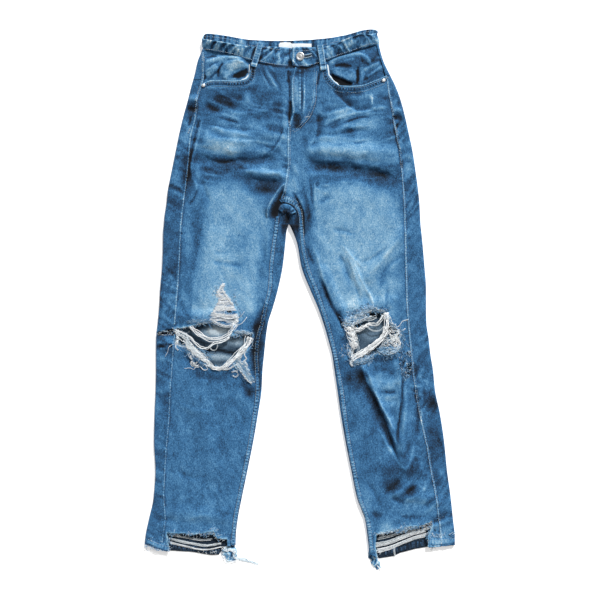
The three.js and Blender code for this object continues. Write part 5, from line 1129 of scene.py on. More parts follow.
def crotch_patch(side):
    """the lower cloth between the inseams, sunk into the hollow between the legs"""
    box = (262, 292, 196, 228) if side == "R" else (286, 306, 196, 228)
    P, T = flat_grid(*box, 0.9)

    def F(x, y):
        f = (tab("R", "ins", y) + 1.2 - x) if side == "R" else (x - tab("L", "ins", y) + 1.2)
        f = -f if side == "R" else -f
        g = (tab("L", "ins", y) - x) if side == "L" else (x - tab("R", "ins", y))
        f = np.minimum(g + 1.2, (CB + 0.05 - x) if side == "R" else (x - CB + 0.05))
        gap = np.minimum(tab("R", "inn", y) - x, 99) if side == "R" else np.minimum(x - tab("L", "inn", y), 99)
        f = np.where(y > 224, np.minimum(f, gap), f)
        f = np.minimum(f, y - 197.5)
        return np.minimum(f, 225.5 - y)
    P, T = clip_mesh(P, F(P[:, 0], P[:, 1]), T)
    x, y = P[:, 0], P[:, 1]
    z, w = top_z(x, y)
    v = smooth(199, 224, y)
    z = z - 1.4 - v * (z - 5.2) * np.exp(-((x - CB) / 2.6) ** 2)
    z = z + 1.6 * np.exp(-((x - 285) / 5) ** 2 - ((y - 207.5) / 3.2) ** 2)
    # the hollow is drawn dark as painted shade, with three darker spots, and lighter over the seam knot as a painted
    # highlight
    wash = 0.30 + 0.05 * fbm(x * 0.3, y * 0.3, 71, 2)
    wash = wash + 0.30 * np.exp(-((x - 284.6) / 5.4) ** 2 - ((y - 207.4) / 2.8) ** 2)
    wash = wash - 0.34 * np.exp(-((x - 286.5) / 3.2) ** 2 - ((y - 218) / 6) ** 2)
    wash = wash - 0.3 * np.exp(-((x - 278) / 3.4) ** 2 - ((y - 204) / 9) ** 2)
    wash = wash - 0.25 * np.exp(-((x - 296.5) / 1.6) ** 2 - ((y - 222) / 10) ** 2)
    return P, T, z, wash


for side, nm in (("R", "right"), ("L", "left")):
    P, T = shell_grid(side)
    x, y = P[:, 0], P[:, 1]
    sp = Soup()
    yoke = seam_y(YOKE_SEAM, x)
    hem = hermite_y(HEM_RIGHT if side == "R" else HEM_LEFT, x)
    tops = P[:, 3] > 0.5
    upper = np.where(tops, y - seam_y(FRONT_SEAM, x) + 1.0, y - seam_y(BACK_SEAM, x) + 1.0)
    for part, F in (("back", np.minimum(y - yoke, hem - y + rag(x, y, 0.2, 97))), ("yoke", np.minimum(yoke - y, upper))):
        Pc, Tc = clip_mesh(P, F, T)
        xx, yy = Pc[:, 0], Pc[:, 1]
        _, w = top_z(xx, yy)
        t = Pc[:, 3]
        wash = wash_and_shade_of(xx, yy, w * t) * t + (1 - t) * (0.5 + 0.06 * fbm(xx * 0.05, yy * 0.04, 3, 3) + 0.14 * np.exp(-((xx - (236 if side == "R" else 340)) / 34) ** 2 - ((yy - 150) / 60) ** 2))
        # painted shade: the top strips are darker round y 224 between x 279 and 300, in the crotch hollow
        wash = wash - 0.03 * t - 0.34 * t * np.exp(-((yy - 224) / (9 if side == "R" else 15)) ** 2) * smooth(300, 297, xx) * smooth(279, 283, xx)
        V, T2, A, mat = thicken(P3(xx, yy, Pc[:, 2]), Tc, 0.0012, {"wash": wash})
        A["wash"] = A["wash"].copy(); A["wash"][len(Pc):] = inner_shade(xx, yy)
        sp = Soup(); sp.add(V, T2, A["wash"], mat)
        if part == "back":
            Pq, Tq, zq, wq = crotch_patch(side)
            V, T2, A, mat = thicken(P3(Pq[:, 0], Pq[:, 1], zq), Tq, 0.0008, {"wash": wq})
            sp.add(V, T2, A["wash"], mat)
        done(sp.build(f"{part}_{nm}_cloth", [DENIM, INNER]), "denim", f"{part}_{nm}")

# ------------------------------------------------------------------ waistband
#            sx    sy    sz    tx    ty    tz      outer face, from the underlap's end round to the buttonhole end
STATIONS = [(313, 65, 7.2, 314, 48.4, 7.4), (295, 66, 7.4, 295, 48.4, 7.8), (284, 66.6, 9.4, 283, 47.4, 10), (268, 64.4, 10.4, 267, 47.2, 12),
            (252, 61.4, 11, 252, 47.8, 15.6), (238, 56.8, 11.4, 237, 46.4, 19), (222, 53, 11, 221, 43.8, 20.4), (208, 50.2, 9.6, 208.6, 41.4, 16.6),
            (202, 49.4, 5.6, 201.6, 38.4, 9.4), (205, 50, 1.9, 206, 33, 2.8), (226, 54.8, 1.5, 226, 35, 1.5), (250, 57.8, 1.5, 250, 39, 1.5),
            (288, 59.8, 1.5, 288, 40, 1.5), (325, 58.3, 1.5, 325, 37.6, 1.5), (346, 54.8, 1.5, 346, 34, 1.5), (362, 51, 1.5, 362, 29.6, 1.5),
            (374.6, 47, 1.9, 373.6, 28.8, 2.8), (378.6, 44.6, 5.6, 377.6, 32, 9.4), (373.4, 45, 9.6, 371.4, 35.4, 16), (360, 49, 11, 359.4, 36, 19.6),
            (346, 54, 11.4, 345.6, 40.6, 19), (332, 58.4, 11.2, 333, 45.2, 15.6), (319, 63.2, 10.8, 322, 47.8, 12.4), (306, 66.8, 10.8, 306, 47.4, 11),
            (292, 67, 10.8, 292, 47.2, 10.8)]
_bandR = np.array(STATIONS[2:9])[::-1]
_bandL = np.array(STATIONS[17:])[::-1]


def band_z(x, y):
    """outer face of the front waistband"""
    x, y = np.asarray(x, float), np.asarray(y, float)
    out = np.zeros(x.shape)
    for tabl, m in ((_bandR, x < 291), (_bandL, x >= 291)):
        sy, sz, ty, tz = (np.interp(x, tabl[:, 0], tabl[:, k]) for k in (1, 2, 4, 5))
        v = np.clip((sy - y) / (sy - ty), 0, 1)
        out = np.where(m, sz + (tz - sz) * v, out)
    return out


def ropes(x, y, back):
    """puckered, ropey folds of the laundered band"""
    u, v = x + 1.6 * noise(x * 0.16, y * 0.2, 221), y + 1.2 * noise(x * 0.2, y * 0.16, 223)
    s1 = np.where(x < 291, 1, -1)
    d1 = 1 - 2.6 * np.abs(noise((u + 0.9 * s1 * v) * 0.150, (v - 0.9 * s1 * u) * 0.045, 203))
    d2 = 1 - 2.4 * np.abs(noise((u + 0.4 * s1 * v) * 0.30, (v - 0.4 * s1 * u) * 0.10, 207))
    d3 = noise(x * 0.75, y * 0.35, 211)
    f = 0.62 * d1 + 0.40 * d2 + 0.30 * d3 - 0.05
    w = 0.7 * (1 - 2.4 * np.abs(noise(x * 0.22, y * 0.05, 215))) + 0.4 * noise(x * 0.8, y * 0.1, 219)
    return np.clip(np.where(back, w, f), -1.3, 1.2)


def build_waistband():
    st = spline(STATIONS, 8)
    du = 0.92
    st, _ = resample(st, du)
    n = len(st)
    nv = 21
    v = np.linspace(0, 1, nv)
    S, Tt = st[:, :3], st[:, 3:]
    G = S[:, None, :] * (1 - v)[None, :, None] + Tt[:, None, :] * v[None, :, None]      # px, px, mm
    bulge = np.sin(v * math.pi)[None, :]
    W = np.stack([MX(G[..., 0]), MY(G[..., 1]), G[..., 2] * 0.001], -1)
    du_ = np.gradient(W, axis=0); dv_ = np.gradient(W, axis=1)
    N = -np.cross(du_, dv_); N /= np.maximum(np.linalg.norm(N, axis=2, keepdims=True), 1e-12)
    # blur the normals along the band so that the turns at the sides stay round
    for _ in range(3):
        N[1:-1] = (N[:-2] + N[1:-1] + N[2:]) / 3
        N /= np.maximum(np.linalg.norm(N, axis=2, keepdims=True), 1e-12)
    idx = np.arange(n)[:, None] / n
    front = (idx < 9 / 25 * 1.02) | (idx > 16.6 / 25)
    back = np.broadcast_to(~front, G.shape[:2])
    f = ropes(G[..., 0], G[..., 1], back)
    body = smooth(0, 0.16, v)[None] * smooth(1.06, 0.9, v)[None]
    disp = (1.6 * f * body + 0.5 * bulge) * np.where(back, 0.3, 1)
    seamline = np.exp(-((v - 0.1) / 0.05) ** 2)[None] + 0.8 * np.exp(-((v - 0.93) / 0.035) ** 2)[None]
    disp = disp - 0.45 * seamline * np.where(back, 0.5, 1)
    O = W + N * (disp * 0.001)[..., None]
    I = W - N * 0.0022 + N * (0.25 * disp * 0.001)[..., None]
    # inner face of the back band, seen from above, has its own puckers
    vin = 0.75 * (1 - 2.4 * np.abs(noise(G[..., 0] * 0.24 + 0.03 * G[..., 1], G[..., 1] * 0.06, 225))) + 0.5 * noise(G[..., 0] * 0.85, G[..., 1] * 0.12, 229)
    I = I - N * (np.where(back, 0.55 * vin, 0.0) * 0.001)[..., None]
    # ring of the cross-section: outer face up, round fold at the top, inner face down, closed at the bottom
    mid = (O[:, -1] + I[:, -1]) / 2
    tdir = dv_[:, -1] / np.maximum(np.linalg.norm(dv_[:, -1], axis=1, keepdims=True), 1e-12)
    half = (O[:, -1] - I[:, -1]) / 2
    arc = [mid + half * math.cos(a) + tdir * 0.0011 * math.sin(a) for a in np.linspace(0, math.pi, 6)[1:-1]]
    ring = np.concatenate([O, np.stack(arc, 1), I[:, ::-1]], axis=1)
    k = ring.shape[1]
    V = ring.reshape(-1, 3)
    T = grid_tris(n, k, wrap=True)
    caps = []
    for row, flip in ((0, False), (n - 1, True)):
        c = len(V); V = np.vstack([V, ring[row].mean(0)])
        kk = np.arange(k); t = np.column_stack([np.full(k, c), row * k + kk, row * k + (kk + 1) % k])
        caps.append(t[:, ::-1] if flip else t)
    T = np.vstack([T] + caps)
    shadow = np.zeros(G.shape[:2])
    for lx, ly0, lx1, ly1 in ((260.6, 42, 253.4, 67), (319.6, 44, 323, 71)):
        c = lx + (lx1 - lx) * (G[..., 1] - ly0) / (ly1 - ly0)
        shadow = shadow + np.exp(-((np.abs(G[..., 0] - c) - 4.0) / 1.5) ** 2) * ~back
    shadow = shadow + 1.1 * np.exp(-((G[..., 0] - 289.4) / 1.6) ** 2) * ~back
    w = 0.535 - 0.34 * shadow + 0.34 * f + 0.10 * fbm(G[..., 0] * 0.5, G[..., 1] * 0.5, 231, 2) + 0.10 * fbm(G[..., 0] * 0.08, G[..., 1] * 0.08, 233, 2)
    w = w - 0.07 * np.exp(-((G[..., 0] - 276) / 16) ** 2) - 0.04 * np.exp(-((G[..., 0] - 352) / 14) ** 2)
    w = w - 0.30 * np.exp(-((v - 0.03) / 0.045) ** 2)[None] + 0.10 * np.exp(-((v - 0.13) / 0.04) ** 2)[None]
    w = w - 0.26 * smooth(367, 374, G[..., 0]) * smooth(0.4, 0.8, v)[None] - 0.08 * smooth(208, 203, G[..., 0]) * smooth(0.5, 0.9, v)[None]
    w = w + 0.34 * np.exp(-((G[..., 0] - 293) / 1.0) ** 2) * ~back * smooth(0.1, 0.3, v)[None]
    w = w + np.where(back, -0.16, 0.12) * smooth(0.93, 1.0, v)[None] - 0.15 * np.exp(-((v - 0.885) / 0.03) ** 2)[None]
    win = 0.38 - 0.14 * smooth(366, 372, G[..., 0]) - 0.1 * smooth(212, 206, G[..., 0]) + 0.30 * vin + 0.05 * noise(G[..., 0] * 0.7, G[..., 1] * 0.7, 237) - 0.10 * smooth(0.93, 1, v)[None] + 0.10 * np.exp(-((v - 0.88) / 0.04) ** 2)[None] - 0.10 * smooth(0.62, 0.5, v)[None]
    wr = np.concatenate([w, np.repeat(w[:, -1:], 4, 1), win[:, ::-1]], axis=1).ravel()
    wr = np.r_[wr, 0.6, 0.6]
    return V, T, wr


V, T, wr = build_waistband()
vol = (V[T[:, 0]] * np.cross(V[T[:, 1]], V[T[:, 2]])).sum() / 6
if vol < 0: T = T[:, ::-1]
done(new_object("waistband_cloth", V, T, {"wash": wr}, [DENIM]), "denim", "waistband")

# ------------------------------------------------------------------ pocket facings, bags, fly parts
# puffs of the pocket facings: path, half width, height mm, wash. The wash is partly the fade of the worn facing and
# partly painted highlight on the lit ridges and painted shade in the grooves
FACING_PUFF_R = [([(204, 63), (211, 59.4), (222, 57), (232, 57.4), (241, 59)], (1.4, 3.0), 1.8, 0.2), ([(220.6, 76), (221.6, 69), (226, 63.6), (236, 60.6), (245, 63)], (0.9, 1.6), 1.6, 0.12),
                 ([(205, 76), (211, 71), (217, 66)], 4.0, 1.4, 0.14), ([(207, 68), (213, 64), (219, 61)], 1.2, -0.8, -0.2), ([(217.6, 77), (218.4, 69), (222.6, 62.6)], 1.1, -1.2, -0.3),
                 ([(203.6, 72), (204.4, 79)], 1.2, -0.4, -0.2), ([(226, 59.6), (238, 59.2)], 0.8, -0.7, -0.16),
                  ([(208, 79), (214, 74), (219, 69)], 1.2, -0.8, -0.22), ([(205, 71), (210, 67.4), (216, 63.4)], 1.2, 0.7, 0.14),
                 ([(212, 78), (216, 74)], 1.4, 0.7, 0.14), ([(224, 78), (229, 79), (236, 79)], 1.4, 0.8, 0.16), ([(226, 71), (229, 68)], 1.6, -0.6, -0.12)]
FACING_PUFF_L = [([(328.5, 68), (331, 61.5), (339, 57.4), (350, 54.4), (357, 53.2), (363, 55), (368, 59), (371, 65)], (1.2, 2.4), 1.5, 0.22),
                 ([(334, 66), (342, 62), (352, 60), (361, 62)], 4.0, -0.4, -0.04), ([(356.6, 69), (356.9, 76), (356.6, 84)], 1.0, -0.5, -0.26),
                 ([(357.4, 66), (357.6, 82)], 1.2, -0.5, -0.22), ([(363, 70), (369, 66.6), (379, 62)], (1.2, 2.4), 1.2, 0.26), ([(366, 77), (374, 71), (382, 65)], (1.0, 2.2), 1.0, 0.2),
                 ([(374, 59), (381, 56)], 2, 0.7, 0.12), ([(370, 62), (376, 57)], 1.4, -0.4, -0.14),
                 ([(334, 65.6), (342, 64.4), (352, 66)], 1.4, -0.3, -0.22), ([(362, 80), (370, 76), (379, 70)], 1.0, -0.7, -0.16),
                 ([(361, 66), (361.6, 76), (360, 84)], 1.6, 0.7, 0.14), ([(360, 60), (366, 63), (369, 68)], 1.4, -0.4, -0.12), ([(338, 63), (346, 60), (354, 58.6)], 1.2, 0.6, 0.1)]


# flaps: outline, softness, height mm, wash; the second outline of each side is the sunken gap under the flap, drawn
# dark as painted shade
FLAPS_R = [([(221.6, 78), (222.4, 70), (226, 64.6), (233, 61.2), (243, 60.6), (248.6, 64), (249, 69), (241, 68.4), (234, 70.4), (230, 76), (225, 79)], 2.2, 1.4, 0.17), ([(246.6, 67.4), (240, 70), (233, 73), (231.6, 77), (238, 78.2), (245, 76.4), (248.4, 71)], 1.4, -1.6, -0.4)]
FLAPS_L = [([(328.6, 68.4), (334, 66.8), (344, 67.6), (352, 68.6), (355.8, 72), (355.9, 82), (349, 81.4), (341, 77.6), (334, 75), (330.6, 72)], 1.4, 1.8, 0.12), ([(330.6, 73.6), (336, 76), (344, 79.4), (352, 82.6), (350, 87), (340, 86), (332, 80.6)], 1.4, -1.6, -0.45)]


def facing(side):
    puffs = FACING_PUFF_R if side == "R" else FACING_PUFF_L
    hole = (239.6, 73.6, 9.5, 4.2) if side == "R" else (341, 78.8, 13.5, 3.8)
    scoop = SCOOP_RIGHT if side == "R" else SCOOP_LEFT
    box = (201, 255, 47, 98) if side == "R" else (320, 388, 42, 98)

    def F(x, y):
        f = poly_sd(x, y, scoop) + 4.5
        f = np.minimum(f, y - seam_y(FRONT_SEAM, x) + 1.5)
        f = np.minimum(f, (x - tab("R", "seam", y) - 0.3) if side == "R" else (tab("L", "seam", y) - 0.3 - x))
        return np.minimum(f, 97 - y)

    def zf(x, y):
        z, w = z_upper(x, y)
        sd = poly_sd(x, y, scoop)
        drop = 2.6 - 0.9 * smooth(1, 9, sd)
        z = z - drop
        for pts, wd, h, ww in puffs:
            d, t, s = seg_dist(x, y, spline(pts, 5) if len(pts) > 2 else pts)
            wa, wb = wd if isinstance(wd, tuple) else (wd, wd)
            g = np.exp(-(d / np.where(s > 0, wb, wa)) ** 2) * smooth(0, 0.12, t + 0.02) * smooth(0, 0.12, 1.02 - t)
            z = z + h * g * smooth(0.2, 3, sd)
            w = w + ww * g
        for poly, soft, h, ww in (FLAPS_R if side == "R" else FLAPS_L):
            g = smooth(-0.5, soft, poly_sd(x, y, poly) + 0.6 * noise(x * 0.2, y * 0.2, 305))
            z = z + h * g * smooth(0.2, 2.4, sd)
            w = w + ww * g
        return z, w

    def wf(x, y, w):
        # base tone: the left facing is drawn darker than the right, painted shade inside its pocket
        return (0.46 if side == "R" else 0.31) + 1.35 * w + 0.16 * fbm(x * 0.13, y * 0.13, 301, 3) + 0.05 * noise(x * 0.5, y * 0.5, 303)
    V, T, A, M = panel("facing", F, box, 0.9, zf, 1.1, wf, None, 0.4)
    return new_object(f"pocket_facing_{'right' if side == 'R' else 'left'}_cloth", V, T, A, [DENIM, INNER], M)


done(facing("R"), "denim_inner", "pocket_facing_right")
done(facing("L"), "denim_inner", "pocket_facing_left")


def bag(side):
    poly = ([(204.6, 53), (222, 56), (240, 60.4), (252, 64), (264, 68), (265, 150), (254, 163), (216, 163), (205.4, 150)] if side == "R" else
            [(379.4, 48.6), (364, 51.6), (348, 57), (333, 61.6), (319, 66), (319, 150), (330, 163), (374, 163), (385.4, 150), (385.4, 86), (381.6, 70)])
    scoop = SCOOP_RIGHT if side == "R" else SCOOP_LEFT
    box = (203, 267, 50, 165) if side == "R" else (317, 388, 46, 165)
    sp = Soup()
    for layer_, drop in ((0, 1.7), (1, 4.3)):
        def F(x, y):
            f = poly_sd(x, y, poly)
            if layer_ == 0: f = np.minimum(f, -poly_sd(x, y, scoop) + (2.2 + 0.5 * noise(x * 0.3, y * 0.3, 8)) * smooth(236 if side == "R" else 342, 244 if side == "R" else 336, x) - 0.8)
            return f

        def zf(x, y):
            z, w = z_upper(x, y)
            e = smooth(3, 0, poly_sd(x, y, poly))
            z = z - drop - (0.8 if layer_ == 0 else -0.8) * e
            sd = poly_sd(x, y, scoop)
            if layer_ == 0: z = z - 0.5 * smooth(-0.5, 2, sd)
            z = np.maximum(z, 4.2 if layer_ == 0 else 3.4)        # the bag stays above the back panel under a deep crease
            return z, w
        V, T, A, M = panel("bag", F, box, (1.5 if layer_ == 0 else 3.0), zf, 0.5, lambda x, y, w: 0.72 + 0.1 * fbm(x * 0.1, y * 0.1, 4, 2), None, 0.6)
        sp.add(V, T, A["wash"], 0)
    return sp.build(f"pocket_bag_{'right' if side == 'R' else 'left'}_cloth", [COTTON])


done(bag("R"), "pocket_cotton", "pocket_bag_right")
done(bag("L"), "pocket_cotton", "pocket_bag_left")


def plain_layer(name, poly, drop, thick, mats, wash, step=2.5):
    xs, ys = [p[0] for p in poly], [p[1] for p in poly]

    def zf(x, y):
        z, w = z_upper(x, y)
        return z - drop - 0.6 * 0, w * 0
    V, T, A, M = panel(name, lambda x, y: poly_sd(x, y, poly), (min(xs) - 1, max(xs) + 1, min(ys) - 1, max(ys) + 1), step, zf, thick,
                       lambda x, y, w: wash + 0.05 * fbm(x * 0.2, y * 0.2, 5, 2), None, wash)
    return new_object(name, V, T, A, mats, np.minimum(M, len(mats) - 1))


done(plain_layer("fly_facing_cloth", [(294.6, 70), (315, 70), (315.4, 100), (311, 113), (300, 128), (293.6, 130), (293, 112)], 3.4, 0.9, [INNER], 0.3), "denim_inner", "fly_facing")
done(plain_layer("fly_shield_cloth", [(286, 70), (311, 70), (310, 104), (296, 126), (287, 126)], 5.6, 1.0, [INNER], 0.3), "denim_inner", "fly_shield")

# ------------------------------------------------------------------ raised seams
def arc_len(path):
    return np.r_[0, np.cumsum(np.hypot(*np.diff(np.asarray(path)[:, :2], axis=0).T))]


def seam_strip(soup, path, w, lift, beads=0.25, pitch=2.8, edge_shade=0.16, crest=0.10, zf=None, wf=None, seed=1, step=0.75, dive=0.7, cut=None):
    """a felled or roped seam: a raised band over the cloth, with the small puckers that washing leaves between the stitches"""
    p, s = resample(spline(path, 6), step)
    t = np.gradient(p, axis=0); t /= np.maximum(np.hypot(*t.T)[:, None], 1e-9)
    nrm = np.column_stack([-t[:, 1], t[:, 0]])
    o = np.array([-1, -0.82, -0.42, 0, 0.42, 0.82, 1.0])
    ww = w / 2 * (1 + 0.10 * noise(s * 0.2, s * 0 + seed, seed))
    X = p[:, 0][:, None] + nrm[:, 0][:, None] * o[None] * ww[:, None]
    Y = p[:, 1][:, None] + nrm[:, 1][:, None] * o[None] * ww[:, None]
    z, cw = (zf or z_upper)(X.ravel(), Y.ravel()); z = z.reshape(X.shape); cw = cw.reshape(X.shape)
    ph = 2 * math.pi * (s / pitch + 0.22 * noise(s * 0.35, s * 0 + 3.3, seed + 2))
    amp = 0.65 + 0.5 * noise(s * 0.11, s * 0 + 7.7, seed + 4)
    b = np.sin(ph)[:, None] * amp[:, None] * np.where(np.abs(o) < 0.9, 1 - 0.6 * np.abs(o), 0)[None]
    prof = (1 - np.abs(o) ** 4)[None] * (1 + 0 * s[:, None])
    Z = z + lift * prof - dive * (np.abs(o) >= 0.99)[None] * 0.6 + beads * b
    base = (wf or (lambda x, y, c: wash_and_shade_of(x, y, c)))(X.ravel(), Y.ravel(), cw.ravel()).reshape(X.shape)
    # edge_shade darkens both edges of the strip, painted shade where the raised seam meets the cloth (a negative value
    # lightens them)
    Wv = base + crest * (1 - np.abs(o) ** 2)[None] + 0.16 * b * (beads / 0.25) - edge_shade * (np.abs(o) > 0.7)[None] + 0.05 * noise(X * 0.9, Y * 0.9, seed + 9)
    T = grid_tris(len(s), len(o))
    V = P3(X.ravel(), Y.ravel(), Z.ravel())
    if cut is not None:
        k = cut(X.ravel(), Y.ravel()); T = T[k[T].all(1)]
        if not len(T): return
    n = vertex_normals(V, T)
    up = np.nansum(n[:, 2]) > 0
    if not up: T = T[:, ::-1]
    V2, T2, A, mat = thicken(V, T, 0.0007, {"wash": Wv.ravel()})
    soup.add(V2, T2, A["wash"], 0)


def stitch_line(store, path, off=0.0, pitch=1.78, length=1.15, r=0.30, lift=0.28, wash=0.8, zf=None, skip=0.04, seed=3, cut=None):
    p, s = resample(spline(path, 6), 0.4)
    t = np.gradient(p, axis=0); t /= np.maximum(np.hypot(*t.T)[:, None], 1e-9)
    nrm = np.column_stack([-t[:, 1], t[:, 0]])
    q = p + nrm * off
    L = s[-1]; n = int(L / pitch)
    if n < 1: return
    c = (np.arange(n) + 0.5) * L / n
    jit = noise(c * 3.1, c * 0 + seed, seed) * 0.12
    keep = _hash(np.arange(n), np.full(n, seed), 5) > skip
    u = np.linspace(-0.5, 0.5, 4)
    pos = (c + jit)[:, None] + u[None] * length
    X = np.interp(pos, s, q[:, 0]); Y = np.interp(pos, s, q[:, 1])
    sl = 0.10 * noise(c * 0.4, c * 0 + 1, seed + 6)
    X = X + (nrm[np.clip((c / L * (len(s) - 1)).astype(int), 0, len(s) - 1), 0] * sl)[:, None]
    if cut is not None: keep &= cut(X, Y).all(1)
    X, Y = X[keep], Y[keep]
    if not len(X): return
    arch = (1 - (2 * u) ** 2)
    z, _ = (zf or z_upper)(X.ravel(), Y.ravel()); z = z.reshape(X.shape)
    Z = z + lift * arch[None] + 0.02
    w = wash + 0.12 * noise(c[keep] * 0.2, c[keep] * 0 + 2, seed + 8)
    store.append((P3(X, Y, Z), r * 0.001, w))


def build_tubes(store, sides=4):
    sp = Soup()
    for P, r, w in store:
        V, T, nv = tubes(P, r, sides)
        sp.add(V, T, np.repeat(np.broadcast_to(np.asarray(w, float), (len(P),)), nv))
    return sp


def on(lift):
    return lambda x, y: (z_upper(x, y)[0] + lift, z_upper(x, y)[1])


seams, st = Soup(), []
OUTSEAM_R = [(202.6, 52), (202.8, 66), (202.7, 77), (200.9, 84), (199.7, 88), (197.6, 95), (196.2, 101), (196.0, 108), (195, 116), (192.6, 126), (190, 136), (188.5, 150),
             (185.6, 178), (182, 207), (180.2, 225), (178.8, 252), (177, 284), (174.6, 312), (173.8, 324)]
OUTSEAM_R2 = [(172.9, 338), (172, 356), (170.4, 376), (168.8, 400), (168, 420), (166, 441), (164, 470), (163, 498), (164.4, 519), (162, 536), (161, 546)]
OUTSEAM_L = [(386.8, 79), (388.2, 90), (390.2, 100.6), (391.8, 109), (393.4, 121), (395.4, 131), (397.4, 141), (399.5, 151), (401.8, 174), (404, 204), (405, 240), (406, 277),
             (407, 308), (409.5, 337), (411, 352), (413.8, 378), (417, 399), (421, 421), (426.6, 445), (430.8, 470), (434.6, 489), (437.4, 508), (439.6, 524), (440.8, 538), (441, 544)]
INSEAM_R = [(277.2, 216), (276.2, 223), (275.2, 232), (273.4, 244), (270.8, 266), (269.4, 288), (264.8, 307), (261.4, 323), (257.4, 337), (255.8, 354), (256.4, 371), (257, 391),
            (254.2, 414), (249.6, 442), (244.2, 470), (238.6, 498), (234.6, 519), (232.8, 537), (232.4, 545)]
INSEAM_L = [(282, 199.5), (290.4, 202), (296, 206), (299.6, 213), (300.6, 222), (301.2, 232), (302.2, 244), (306.6, 266), (315.4, 289), (321.6, 307), (326.6, 323), (330.8, 338), (334.6, 354),
            (337.6, 371), (341.2, 391), (344.2, 414), (348.2, 442), (353.6, 470), (359.4, 498), (367, 519), (369.8, 536), (371.2, 550)]


def wash_plus(d):
    return lambda x, y, c: wash_and_shade_of(x, y, c) + d


# outseams: one welt with a stitched line on each side near the hip, plain below
seam_strip(seams, OUTSEAM_R, 2.2, 0.45, 0.24, 2.9, 0.18, 0.22, seed=11, wf=wash_plus(-0.02))
seam_strip(seams, OUTSEAM_R2, 2.0, 0.35, 0.22, 2.9, 0.16, 0.14, seed=12, wf=wash_plus(-0.02))
seam_strip(seams, OUTSEAM_L, 2.2, 0.45, 0.24, 2.9, 0.18, 0.22, seed=13, wf=wash_plus(-0.02))
stitch_line(st, OUTSEAM_R[:9], 1.0, wash=0.85, zf=on(0.2), seed=14)
stitch_line(st, OUTSEAM_R, -0.6, wash=0.6, zf=on(0.35), seed=15, skip=0.12)
stitch_line(st, OUTSEAM_R2, -0.4, wash=0.55, zf=on(0.35), seed=16, skip=0.2)
stitch_line(st, OUTSEAM_L, 0.5, wash=0.8, zf=on(0.35), seed=17, skip=0.06)
stitch_line(st, OUTSEAM_L, -0.8, wash=0.56, zf=on(0.25), seed=18, skip=0.12)
# inseams: felled, ropey
seam_strip(seams, INSEAM_R, 4.6, 0.6, 0.36, 3.0, 0.24, 0.14, seed=21, wf=wash_plus(-0.02))
seam_strip(seams, INSEAM_L, 4.8, 0.6, 0.40, 2.9, 0.2, 0.12, seed=22, wf=wash_plus(0.0))
stitch_line(st, INSEAM_R, 1.5, wash=0.7, zf=on(0.5), seed=23, skip=0.1)
stitch_line(st, INSEAM_R, -1.4, wash=0.6, zf=on(0.5), seed=24, skip=0.15)
stitch_line(st, INSEAM_L, -1.5, wash=0.75, zf=on(0.5), seed=25, pitch=2.3, length=1.3, skip=0.05)
stitch_line(st, INSEAM_L, 1.5, wash=0.6, zf=on(0.5), seed=26, skip=0.15)
# centre front below the fly
CFS = [(288.2, 127), (288, 145), (288, 163), (287, 172), (286, 179), (284.4, 189), (281, 198)]
seam_strip(seams, CFS, 2.8, 0.45, 0.22, 2.8, 0.22, 0.24, seed=31)
stitch_line(st, CFS, -1.6, wash=0.72, zf=on(0.2), seed=32, skip=0.05)
stitch_line(st, CFS, -0.3, wash=0.66, zf=on(0.4), seed=33, skip=0.1)
# fly: folded edge, ridges and the curved double row
FLY_EDGE = [(294.6, 67.5), (292.7, 73), (291.2, 80), (291.1, 90), (291.2, 100), (292.2, 108), (292.2, 113), (290.4, 119), (288.6, 125.5)]
seam_strip(seams, [(x + 0.9, y) for x, y in FLY_EDGE], 2.2, 0.5, 0.22, 2.6, 0.0, 0.22, seed=34)
seam_strip(seams, [(299.4, 70), (299.5, 84), (299.6, 98), (299.4, 110)], 3.0, 0.5, 0.35, 3.6, 0.06, 0.14, seed=35)
seam_strip(seams, [(304, 69), (304.2, 84), (304, 100), (302.6, 114)], 1.8, 0.25, 0.2, 3.2, 0.05, 0.10, seed=36)
JST = [(316, 71), (315.8, 86), (315.4, 98), (313.4, 107), (309.6, 116), (304, 123.4), (297.4, 129.8), (293, 132)]
stitch_line(st, JST, 0, wash=0.78, zf=on(0.1), seed=37)
stitch_line(st, [(x - 2.3, y - 0.8) for x, y in JST], 0, wash=0.6, zf=on(0.1), seed=38, skip=0.2)
stitch_line(st, [(294.4, 74), (293.4, 82), (293.4, 104), (294, 112)], 0, wash=0.62, zf=on(0.6), seed=39, skip=0.15)
# pocket mouths
seam_strip(seams, [(x, y + 0.4) for x, y in MOUTH_RIGHT[:9]], 1.5, 0.6, 0.22, 2.8, -0.05, 0.26, seed=41, dive=0.3)
seam_strip(seams, [(202.4, 87), (206.4, 84.7), (212.4, 83.2), (222, 83.2), (233, 83.8), (241, 83.4), (248, 81.6), (251.9, 76.6), (252.8, 70), (252.6, 65)], 3.2, 0.4, 0.4, 2.8, 0.1, -0.16, seed=42)
stitch_line(st, [(202.4, 85.6), (206.2, 83.6), (212.2, 82), (222, 82), (233, 82.5), (240.6, 82), (247, 80.4), (250.6, 76), (251.4, 70), (251.3, 65)], 0, wash=0.66, zf=on(0.45), seed=43, skip=0.1)
stitch_line(st, [(202.8, 89.6), (207, 87.4), (213, 86.2), (222, 86.2), (233, 86.8), (241.4, 86.4), (249, 84.2), (253.6, 78), (254.6, 70), (254.4, 66)], 0, wash=0.6, zf=on(0.15), seed=44, skip=0.12)
seam_strip(seams, [(x, y + 0.4) for x, y in MOUTH_LEFT[:9]], 1.5, 0.6, 0.22, 2.8, -0.05, 0.24, seed=45, dive=0.3)
seam_strip(seams, [(387.4, 78.6), (380, 82), (373.4, 84.6), (364.8, 87.8), (355, 89), (346, 89.2), (337, 88), (329.6, 82.6), (325.2, 76.6), (323.6, 68)], 3.2, 0.4, 0.4, 2.8, 0.1, -0.14, seed=46)
